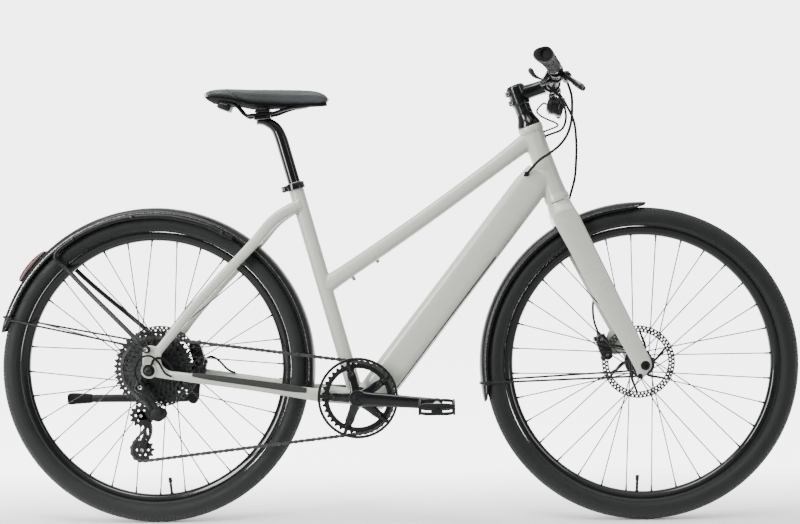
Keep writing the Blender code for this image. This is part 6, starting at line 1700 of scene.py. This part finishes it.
def make_grip(side):
    name = hand(side)
    rests = [(0, 0), (0.3, 1), (0.55, 4), (0.8, 9), (0.94, 10), (1, 6)]
    rings = []
    for row in range(131):
        share = row / 130
        for (s0, r0), (s1, r1) in zip(rests, rests[1:]):
            if s0 <= share <= s1:
                rest = r0 + (r1 - r0) * (share - s0) / (s1 - s0)
        centre = bar_point(side * (BAR_HALF - GRIP_LENGTH * (1 - share)))
        rib = 0.55 if 14 < row < 112 and row % 5 < 2 else 0
        end = 1.6 * max(0, (row - 124) / 6) ** 2 + 1 * max(0, (4 - row) / 4)
        ring = []
        for step in range(48):
            turn = 2 * math.pi * step / 48
            back = max(0, math.cos(turn - math.pi)) ** 3
            reach = 15.3 - rib * (1 - back) - end + rest * back
            ring.append(centre + X_AXIS * (reach * math.cos(turn)) + Z_AXIS * (reach * math.sin(turn)))
        rings.append(ring)
    end = bar_point(side * BAR_HALF)
    along = bar_along(side * 300) * side
    rubber = cut(skinned(rings), [turned([(9.8, -16), (9.8, 6)], end, along, 40)], sharp=55)
    hang(rubber, name + "_grip_rubber", "steering", RUBBER, name + "_grip")
    plug = turned([(9.6, -19), (9.6, -14.6), (9, -14), (6.4, -14), (5.8, -15)], end, along, 40)
    hang(plug, name + "_bar_plug", "steering", GLOSS, slot="black_plastic")
    lock = turned(mirrored([(11.4, -4.2), (14.6, -4.2), (15.6, -3.4)]), bar_point(side * 185),
        bar_along(side * 185), 40, closed=True)
    hang(lock, name + "_grip_clamp", "steering", ANODISED)


make_bar()
for side in SIDES:
    make_grip(side)
print("bar and grips made")

# %% [markdown]
# Each brake lever turns on a pin between two ears. The ears grow out of a slim fluid cylinder that lies
# along the bar, with its reservoir's lid on top, and a hinged band clamps it to the bar.


# %% Brake levers
def lever_frame(side):
    word = hand(side)
    joint = joints[word + "_brake_lever_pull"]
    pivot = drawing(joint["pos_m"])
    axis = Vector(joint["axis"]).normalized()
    tip = pivot + point(19, side * 122, -39).normalized() * 127
    outer = pivot - (tip - pivot).normalized() * 22 + point(4, 0, -4)
    return word, pivot, axis, tip, outer, outer + point(3, -side * 26, -3)


def make_brake_lever(side):
    word, pivot, axis, tip, outer, inner = lever_frame(side)
    along = bar_along(side * 141)
    band = turned(mirrored([(11.2, -6), (15.4, -6), (16, -5.2)]), bar_point(side * 141), along, 44,
        closed=True)
    start = bar_point(side * 141) + point(13, 0, -9)
    neck = lofted([(start, 8, 7), (start.lerp(outer, 0.5), 6.6, 6), (outer, 8, 8)], 24, 2.4, X_AXIS)
    deep = (inner - outer).normalized()
    cylinder = turned([(5, -8), (8, -6.4), (9.3, -3), (9.4, 6), (8.9, 18), (8.6, 27), (7.4, 28.6),
        (5.4, 29.2), (5.2, 32), (3.4, 32.6)], outer, deep, 32)
    tank = block(outer + deep * 9 + Z_AXIS * 7.6, 26, 13, 7, 2.6, deep, Z_AXIS)
    arm = pivot - outer
    arm -= axis * arm.dot(axis)
    across = axis.orthogonal().normalized()
    beside = axis.cross(across)
    ears = []
    for way in (-1, 1):
        low, high = (5.4, 8.9) if way > 0 else (-8.9, -5.4)
        corners = []
        for depth in (low, high):
            corners += circle(pivot + axis * depth, 7.2, across, beside, 28)
            corners += circle(pivot - arm + axis * depth, 5, across, beside, 20)
        ears.append(hull(corners))
    body = gathered([softened(item, 0.5, 2) for item in [band, neck, cylinder, tank] + ears], 40)
    hang(body, word + "_brake_cylinder", "steering", ANODISED, word + "_brake_body")
    pin = rounded_rod(pivot, 3.2, -10, 10, axis, 0.6, 24)
    screw = turned([(1.4, -15.4), (1.6, -16.6), (3, -17), (3.4, -16.4), (3.4, -12)], bar_point(side * 141),
        point(-0.6, 0, 0.8).normalized(), 18)
    hang([pin, screw], word + "_brake_pin", "steering", BRIGHT)
    reach = tip - pivot
    closing = axis.cross(reach.normalized())
    eye = turned(mirrored([(3.4, -4.8), (6, -4.8), (6.5, -4.2)]), pivot, axis, 32, closed=True)
    blade = lofted([(pivot + reach * 0.03, 3.8, 4.4), (pivot + reach * 0.2 - closing * 4, 3.8, 5),
        (pivot + reach * 0.45 - closing * 4.4, 3.4, 6.2), (pivot + reach * 0.75 - closing * 1.4, 3.4, 6.8),
        (pivot + reach * 0.92, 3.4, 6.6), (pivot + reach * 0.97 - closing * 2, 3.6, 6),
        (tip - closing * 5, 4, 4.6), (tip + reach.normalized() * 1.2 - closing * 6, 2.4, 2.6)], 28, 2.6,
        closing, steps=5)
    hang([eye, blade], word + "_brake_blade", word + "_brake_lever_body", ANODISED, word + "_brake_lever")


for side in SIDES:
    make_brake_lever(side)
print("brake levers made")

# %% [markdown]
# The thumb shifter hangs under the bar on its own clamp. Beside it sits the small round control with a
# glass face that switches the motor's assistance.


# %% Shifter and control
SHIFT_PIVOT = drawing(joints["shift_lever_push"]["pos_m"])


def make_shifter():
    pivot = SHIFT_PIVOT
    y = -98
    clamp = turned(mirrored([(11.3, -6), (15.4, -6), (16, -5.2)]), bar_point(y), bar_along(y), 44,
        closed=True)
    pod = turned([(7, -10.2), (10.2, -9.6), (12, -8.4), (12.5, -6.8), (12.5, -3.2), (11.8, -1.8), (10, -1)],
        pivot, STEER_UP, 48)
    neck = lofted([(bar_point(y) + point(-6, 0, -12), 6, 3.6), (pivot - STEER_UP * 6, 6.4, 3.4)], 24, 2.6)
    barrel = turned([(2.8, 0), (4.6, 0.6), (4.6, 7), (3.4, 9), (2.6, 13)], pivot - STEER_UP * 5 +
        point(3, 8, 1), point(0.35, 0.9, -0.1).normalized(), 24)
    hang([clamp, pod, neck, barrel], "shifter_pod", "steering", NYLON, "shifter_body")
    pin = rounded_rod(pivot, 3, -3, 6.4, STEER_UP, 0.6, 24)
    hang(pin, "shifter_pin", "steering", BRIGHT)
    tip = pivot + point(-29, 4, 22)
    hub = turned([(3.3, 0), (6.5, 0), (7, 0.6), (7, 3.4), (6.5, 4), (3.3, 4)], pivot, STEER_UP, 36,
        closed=True)
    paddle = lofted([(pivot - X_AXIS * 5 + STEER_UP * 2, 3.6, 1.9), (pivot + point(-13, 2, 5), 4.2, 2.6),
        (pivot + point(-21, 3.2, 10), 6.4, 4), (pivot + point(-26, 3.8, 16.5), 7, 5.2), (tip, 6.6, 5.4),
        (tip + point(-0.6, 0, 4.2), 3.6, 3)], 28, 2.6, steps=5)
    hang([hub, paddle], "shift_paddle", "shift_lever_body", NYLON, "shift_lever")
    face = point(-0.86, -0.1, 0.5).normalized()
    centre = bar_point(-122) + point(-22, 0, -6)
    control = [turned([(8, -8), (10.6, -7), (11.2, -5), (11.2, 1.2), (10.4, 2.2), (9, 2.2), (8.8, 1.6)],
        centre, face, 44)]
    control.append(turned(mirrored([(11.3, -3.4), (14.2, -3.4), (14.8, -2.6)]), bar_point(-122),
        bar_along(-122), 40, closed=True))
    control.append(lofted([(bar_point(-122) + point(-11, 0, -3), 4.6, 3), (centre - face * 5, 5.4, 3.6)],
        20, 2.6))
    hang(control, "assist_control", "steering", NYLON)
    glass = turned([(8.8, 1.5), (8.7, 1.9), (4, 2.2)], centre, face, 40)
    hang(glass, "assist_control_glass", "steering", LENS)


make_shifter()
print("shifter and control made")

# %% [markdown]
# The headlamp is a round aluminium can with cooling fins, hung under the stem. Its lens stands in a
# bezel in front.


# %% Headlamp
LAMP_CENTRE = BAR_CENTRE + point(11, 0, -48)
LAMP_FACING = point(0.97, 0, -0.22).normalized()


def make_headlamp():
    profile = [(6, -20.2), (10, -20), (13.4, -18.6), (16.4, -16), (18.4, -13.4)]
    for place in range(4):
        start = -12.6 + 4.2 * place
        profile += [(20.2, start), (20.6, start + 0.5), (20.6, start + 2.3), (20.2, start + 2.8),
            (18.9, start + 3), (18.9, start + 3.9)]
    profile += [(21, 4.6), (21.5, 5.4), (21.5, 12), (21, 14.6), (20, 15.8), (18.2, 15.9), (17.8, 13.6),
        (16, 9)]
    can = turned(profile, LAMP_CENTRE, LAMP_FACING, 64)
    top = BAR_CENTRE.z - 20.8
    low = LAMP_CENTRE.z + 15
    bracket = block(point(BAR_CENTRE.x + 2, 0, (top + low) / 2), 13, 11, top - low, 2)
    hang([can, bracket], "headlamp_can", "steering", ANODISED, "headlamp", slot="black_plastic")
    lens = turned([(17.9, 13.2), (17.6, 14), (14, 15), (8, 15.7), (1, 16)], LAMP_CENTRE, LAMP_FACING, 56)
    hang(lens, "headlamp_lens", "steering", LENS)
    bolt = rounded_rod(point(BAR_CENTRE.x + 2, 0, (top + low) / 2), 3.4, -7.6, 7.6, Y_AXIS, 0.7, 24)
    hang(bolt, "headlamp_bolt", "steering", BRIGHT)


make_headlamp()
print("headlamp made")

# %% [markdown]
# ## Seatpost and saddle
# The post bends back under its two-part clamp, and one long bolt pulls the clamp round the rails. The
# rails are one bent steel rod.

# %% Seatpost, clamp and rails
SEAT_TOP = 485
CLAMP = seat(SEAT_TOP) + point(-65.6, 0, 149)
RAIL_ALONG = point(1, 0, 0.08).normalized()
RAIL_UP = RAIL_ALONG.cross(Y_AXIS)


def make_seatpost():
    top = seat(SEAT_TOP + 92)
    path = [(seat(SEAT_TOP - 150), 13.6, 13.6), (seat(SEAT_TOP - 40), 13.6, 13.6),
        (seat(SEAT_TOP + 60), 13.6, 13.6), (top, 13.6, 13.6), (top + point(-5.6, 0, 16), 13.6, 13.2),
        (top + point(-11.5, 0, 28), 13.4, 12.4), (top + point(-21, 0, 38), 13.6, 11.4),
        (CLAMP + point(4, 0, -15), 14.4, 9.4), (CLAMP + point(-9, 0, -13.5), 14.6, 7.8)]
    post = lofted(path, 48, 2, steps=8)
    lower = block(CLAMP + point(0, 0, -7.5), 37, 52, 8, 2.4, RAIL_ALONG, RAIL_UP)
    hang([post, lower], "seatpost_bent", "seatpost_body", GLOSS, "seatpost")
    upper = block(CLAMP + point(0, 0, 7), 33, 52, 6, 2.2, RAIL_ALONG, RAIL_UP)
    hang(upper, "seatpost_yoke", "seatpost_body", ANODISED)
    bolts = [rounded_rod(CLAMP, 3.2, -10, 12.6, RAIL_UP, 0.6, 20), rounded_rod(CLAMP + point(-12, 0, 0), 3,
        -19, 12.6, RAIL_UP, 0.6, 20), rounded_rod(CLAMP + point(-12, 0, -17), 4.4, -5, 5, Y_AXIS, 0.8, 24)]
    hang(bolts, "seatpost_bolts", "seatpost_body", BRIGHT)


def make_rails():
    side = [CLAMP + point(-80, 29, 27.4), CLAMP + point(-57, 26, 19.5), CLAMP + point(-38, 22, -1)]
    side += [CLAMP + RAIL_ALONG * reach + Y_AXIS * 22 for reach in (-22, 0, 24)]
    side += [CLAMP + point(47, 20, 9.5), CLAMP + point(65, 14, 14.2), CLAMP + point(78, 6, 15.2)]
    other = [Vector((place.x, -place.y, place.z)) for place in reversed(side)]
    hang(swept(route_through(side + other, 8), 3.5, 20), "saddle_rail_rod", "seatpost_body", SATIN,
        "saddle_rails", slot="plated_steel")


make_seatpost()
make_rails()
print("seatpost and rails made")

# %% [markdown]
# A saddle is a foam pad under a stretched cover on a nylon base. The pad's outline comes from one set
# of sections. Cloth with a light pressure then swells and smooths it, as foam fills its cover, and a
# cap on every point's travel keeps it in its space. A piped seam and the base are added afterwards.


# %% The saddle's sections and its pad
SADDLE_STATIONS = ((0, 0.5, -1, 13), (0.03, 0.77, 8, 17), (0.12, 0.96, 11, 21), (0.24, 1, 11.2, 26.5),
    (0.38, 0.86, 11, 34), (0.52, 0.6, 11.5, 35.5), (0.66, 0.4, 11.5, 35.5), (0.8, 0.29, 10.5, 33.5),
    (0.92, 0.24, 7.5, 29.5), (0.98, 0.18, 1, 22), (1, 0.1, -6, 13))
SADDLE_HALF_WIDTH = 81
SADDLE_SIDE = ((0, 0), (0.55, 0), (0.84, 0.05), (0.96, 0.2), (1, 0.42), (0.97, 0.62), (0.88, 0.8),
    (0.72, 0.92), (0.42, 0.985), (0.2, 0.998))


def saddle_place(share, rise):
    """A point over the middle line of the saddle, at a share of its length from the back."""
    return point(CLAMP.x - 124 + 268 * share, 0, CLAMP.z + 42 + rise)


def saddle_rings(inset=0):
    rings = []
    for share, width, rise, depth in through(list(SADDLE_STATIONS), 5):
        low = saddle_place(share, rise - depth + inset)
        tall = depth - 2 * inset
        half = SADDLE_HALF_WIDTH * width - inset
        side = [(half * across, tall * up) for across, up in SADDLE_SIDE]
        ring = [low + point(0, -y, z) for y, z in side] + [low + point(0, 0, tall)]
        rings.append(ring + [low + point(0, y, z) for y, z in reversed(side[1:])])
    return rings


PAD_SPACING = 4.5
COVER_PRESSURE = 4
COVER_FRAMES = 15
COVER_TRAVEL = 2.2


def swollen(piece):
    """Fill the cover with a light pressure by cloth simulation, and cap how far each point moves."""
    start = [vertex.co.copy() for vertex in piece.data.vertices]
    cloth = piece.modifiers.new("cover", "CLOTH")
    cloth.settings.use_pressure = True
    cloth.settings.uniform_pressure_force = COVER_PRESSURE
    cloth.settings.effector_weights.gravity = 0
    scene = bpy.context.scene
    for step in range(1, COVER_FRAMES + 1):
        scene.frame_set(step)
    mesh = evaluated(piece)
    piece.modifiers.clear()
    piece.data = mesh
    for vertex, place in zip(mesh.vertices, start):
        moved = vertex.co - place
        if moved.length > COVER_TRAVEL * MM:
            vertex.co = place + moved.normalized() * (COVER_TRAVEL * MM)
    scene.frame_set(1)


def make_saddle():
    pad = skinned(saddle_rings(2), sharp=60)
    modified(pad, "REMESH", mode="VOXEL", voxel_size=PAD_SPACING * MM)
    applied(modified(pad, "SMOOTH", iterations=3), 80)
    swollen(pad)
    applied(modified(pad, "SUBSURF", levels=1, render_levels=1), 80)
    hang(pad, "saddle_pad", "seatpost_body", LEATHER, "saddle_cover")
    return pad


saddle_pad = make_saddle()
print("saddle pad points:", len(saddle_pad.data.vertices))

# %% [markdown]
# The cover is sewn: a thin welt runs round the widest line of the sides. Below it a nylon base carries
# the rails, and a small plain box hangs under the back.


# %% Saddle seam, base and rear clip
def make_saddle_trim():
    rings = saddle_rings(0.4)
    right = [ring[5] for ring in rings]
    left = [ring[-5] for ring in rings]
    welt = [swept(right, 0.9, 8), swept(left, 0.9, 8)]
    for way in (1, -1):
        seam = []
        for step in range(7):
            x = saddle_place(0.18 + 0.016 * step, 0).x
            ring = min(rings, key=lambda row: abs(row[0].x - x))
            place = ring[8 - step].copy()
            place.y *= way
            seam.append(place)
        welt.append(swept(route_through(seam, 3), 0.8, 8))
    hang(welt, "saddle_side_welt", "seatpost_body", LEATHER)
    base = lofted([(saddle_place(share, rise - depth + 0.6), 77 * width, 3) for share, width, rise,
        depth in SADDLE_STATIONS[1:-1]], 40, 3, steps=4)
    hang(base, "saddle_base", "seatpost_body", UNDERSIDE)
    holders = []
    for side in SIDES:
        holders.append(lofted([(CLAMP + point(-74, side * 28.2, 25.2), 6.5, 6),
            (CLAMP + point(-90, side * 30, 30), 8, 7)], 24, 3))
    holders.append(lofted([(CLAMP + point(70, 0, 16), 14, 6), (CLAMP + point(96, 0, 21), 11, 7)], 24, 3))
    holders.append(block(CLAMP + point(-84, 0, 20), 30, 40, 18, 4, point(0.94, 0, -0.34).normalized(),
        point(0.34, 0, 0.94).normalized()))
    hang(holders, "saddle_rail_holders", "seatpost_body", NYLON)


make_saddle_trim()
print("saddle made")

# %% [markdown]
# ## Hoses and cables
# Brake hoses are nylon tubes five millimetres thick, and the shift cable and lamp wire are thinner.
# They leave their fittings straight and run in one easy bow each. Three of them cross from the bar to
# the frame, and no body carries them.


# %% Hoses and cables
def hose(points, radius, name, body, *replaced):
    return hang(swept(route_through(points, 8), radius, 16), name, body, RUBBER, *replaced)


def bent_hose(points, radius, name, replaced):
    """A hose from the bar to the frame, which no body carries."""
    path = route_through(points, 8)
    piece = swept(path, radius, 16)
    dressed(piece, name, RUBBER)
    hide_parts(replaced)
    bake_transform(piece)


def hose_start(side):
    outer, inner = lever_frame(side)[4:]
    along = (inner - outer).normalized()
    return [inner + along * 1.2, inner + along * 11]


bent_hose(hose_start(-1) + [(907, -86, 915), (909, -78, 888), (908, -66, 860), (900, -58, 833),
    (884, -52, 811), (863, -47, 794.5), (841, -43, 780), PORT + PORT_ALONG * 18, PORT + PORT_ALONG * 2],
    2.8, "rear_brake_hose_bow", "rear_brake_hose")
shift_hole = GROMMET - STEER_UP * 10 + STEER_AHEAD * 23.5
bent_hose([SHIFT_PIVOT - STEER_UP * 5 + point(4, 13.2, 1), SHIFT_PIVOT - STEER_UP * 5 + point(9, 23, -6),
    (884, -62, 913), (896, -48, 892), (900, -30, 868), (892, -14, 848), shift_hole + STEER_AHEAD * 12,
    shift_hole], 2.5, "shift_cable_bow", "shift_cable")
lamp_hole = GROMMET + STEER_AHEAD * 23.5
lamp_back = LAMP_CENTRE - LAMP_FACING * 20.5
bent_hose([lamp_back, lamp_back - LAMP_FACING * 8, (839, -18, 889), (846, -27, 877), (862, -29, 868),
    (878, -22, 862), (884, -12, 856), lamp_hole + STEER_AHEAD * 14 - Y_AXIS * 2, lamp_hole], 1.9,
    "lamp_wire_bow", "lamp_wire")
crown_hole = steer(369, 22, 26)
hose(hose_start(1) + [(914, 84, 908), (927, 66, 872), (930, 50, 828), (928, 38, 784), (923, 28, 742),
    crown_hole + STEER_UP * 16 + STEER_AHEAD * 3, crown_hole], 2.8, "front_brake_hose_bow", "steering",
    "front_brake_hose")
start = REAR_AXLE + rear_outward * 102.9 + Y_AXIS * 47 + Y_AXIS.cross(rear_outward) * 16
hose([start, start + rear_outward * 11, (127, 48, 352), (138, 50, 341), (148, 52.5, 330),
    (157, 54.2, 324.4), (166, 55, 321.3)], 2.5, "rear_hose_end", "bicycle_frame", "rear_brake_hose_end")
hose([(50, -84, 326), (36, -84.5, 334), (22, -87, 358), (6, -90.5, 371), (-13, -91.5, 368), (-24, -91, 352),
    (-27, -89, 334), (-21.6, -85.5, 315.8)], 2.2, "shift_cable_tail", "bicycle_frame", "shift_cable_end")
hose([steer(90.7, -14.6, 46.75), steer(100, -14.8, 47.2), steer(114, -14.4, 48.6), steer(132, -10.5, 51),
    steer(152, -3, 53.5), steer(166, 5, 55)], 2.5, "front_hose_end", "steering")
print("hoses made")

# %% [markdown]
# ## Floor, light and camera
# The photo is a packshot: a white ground, a wide soft light from above and in front, and a camera low
# beside the crank at portrait distance. The camera's place and lens come from measuring the wheels.

# %% Stage and light
ground = bpy.data.meshes.new("ground")
ground.from_pydata([(-9, -9, 0), (9, -9, 0), (9, 9, 0), (-9, 9, 0)], [], [(0, 1, 2, 3)])
floor = bpy.data.objects.new("white_ground", ground)
bpy.context.scene.collection.objects.link(floor)
white, tree, shader, place = start_finish("white_ground", "#FAFBFA", 0.9)
depth = add_node(tree, "ShaderNodeSeparateXYZ", {}, {"Vector": place})
near = add_node(tree, "ShaderNodeMapRange", {"From Min": -0.6, "From Max": -0.05},
    {"Value": depth.outputs["Y"]})
tone = add_node(tree, "ShaderNodeMixRGB", {"Color1": linear("#9A9B9A"), "Color2": linear("#FAFBFA")},
    {"Fac": near.outputs["Result"]})
tree.links.new(tone.outputs["Color"], shader.inputs["Base Color"])
lit = add_node(tree, "ShaderNodeMapRange", {"From Min": 0, "From Max": 0.7, "To Min": 0, "To Max": 3.9},
    {"Value": depth.outputs["Y"]})
shader.inputs["Emission Color"].default_value = linear("#FCFDFC")
tree.links.new(lit.outputs["Result"], shader.inputs["Emission Strength"])
ground.materials.append(white)
sky = bpy.data.worlds.new("studio")
sky.use_nodes = True
glow = sky.node_tree.nodes["Background"]
glow.inputs["Color"].default_value = linear("#FCFDFC")
direction = add_node(sky.node_tree, "ShaderNodeSeparateXYZ", {}, {"Vector": add_node(sky.node_tree,
    "ShaderNodeTexCoord").outputs["Generated"]})
# In front the walls are dim, behind is a bright backdrop, and a soft light hangs above.
glows = [add_node(sky.node_tree, "ShaderNodeMapRange", {"From Min": start, "From Max": end, "To Min": low,
    "To Max": high}, {"Value": direction.outputs[axis]}).outputs["Result"] for axis, start, end, low,
    high in (("Y", -0.2, 0.6, 0.22, 1), ("Z", 0.3, 0.95, 0, 1.6), ("Y", 0.8, 0.93, 0, 5))]
room = glows[0]
for other in glows[1:]:
    room = add_node(sky.node_tree, "ShaderNodeMath", {"operation": "MAXIMUM"},
        {0: room, 1: other}).outputs["Value"]
sky.node_tree.links.new(room, glow.inputs["Strength"])
bpy.context.scene.world = sky


def area_light(name, place, target, size, power):
    lamp = bpy.data.lights.new(name, "AREA")
    lamp.shape = "RECTANGLE"
    lamp.size, lamp.size_y = size
    lamp.energy = power
    holder = bpy.data.objects.new(name, lamp)
    holder.location = place
    holder.rotation_euler = (Vector(target) - Vector(place)).to_track_quat("-Z", "Y").to_euler()
    bpy.context.scene.collection.objects.link(holder)


area_light("soft_top", (-0.9, -1, 3), (0, 0, 0.4), (3.2, 1), 95)
area_light("left_strip", (-2.7, -2.5, 1.5), (0, 0, 0.6), (1, 2.6), 190)
area_light("right_strip", (2.9, -2.2, 1.3), (0, 0, 0.6), (0.4, 2.4), 20)
print("lights:", len(bpy.data.lights))

# %% Camera, as measured from the photo
camera_data = bpy.data.cameras.new("photo_camera")
camera_data.sensor_fit = "HORIZONTAL"
camera_data.sensor_width = 36
FOCAL_PIXELS = 1349.3
PHOTO_WIDTH = 800
camera_data.lens = FOCAL_PIXELS * camera_data.sensor_width / PHOTO_WIDTH
camera = bpy.data.objects.new("photo_camera", camera_data)
bpy.context.scene.collection.objects.link(camera)
CAMERA_PLACE = point(626.1, -2947.5, 581.4)
yaw, pitch, roll = (math.radians(angle) for angle in (-1.708, -0.322, -0.673))
facing = Vector((math.sin(yaw) * math.cos(pitch), math.cos(yaw) * math.cos(pitch), math.sin(pitch)))
level = Vector((math.cos(yaw), -math.sin(yaw), 0))
above = level.cross(facing)
right = level * math.cos(roll) + above * math.sin(roll)
up = above * math.cos(roll) - level * math.sin(roll)
turned_to = Matrix((right, up, -facing)).transposed().to_4x4()
camera.matrix_world = Matrix.Translation(world(CAMERA_PLACE)) @ turned_to
bpy.context.scene.camera = camera
print("lens in mm:", round(camera_data.lens, 1))
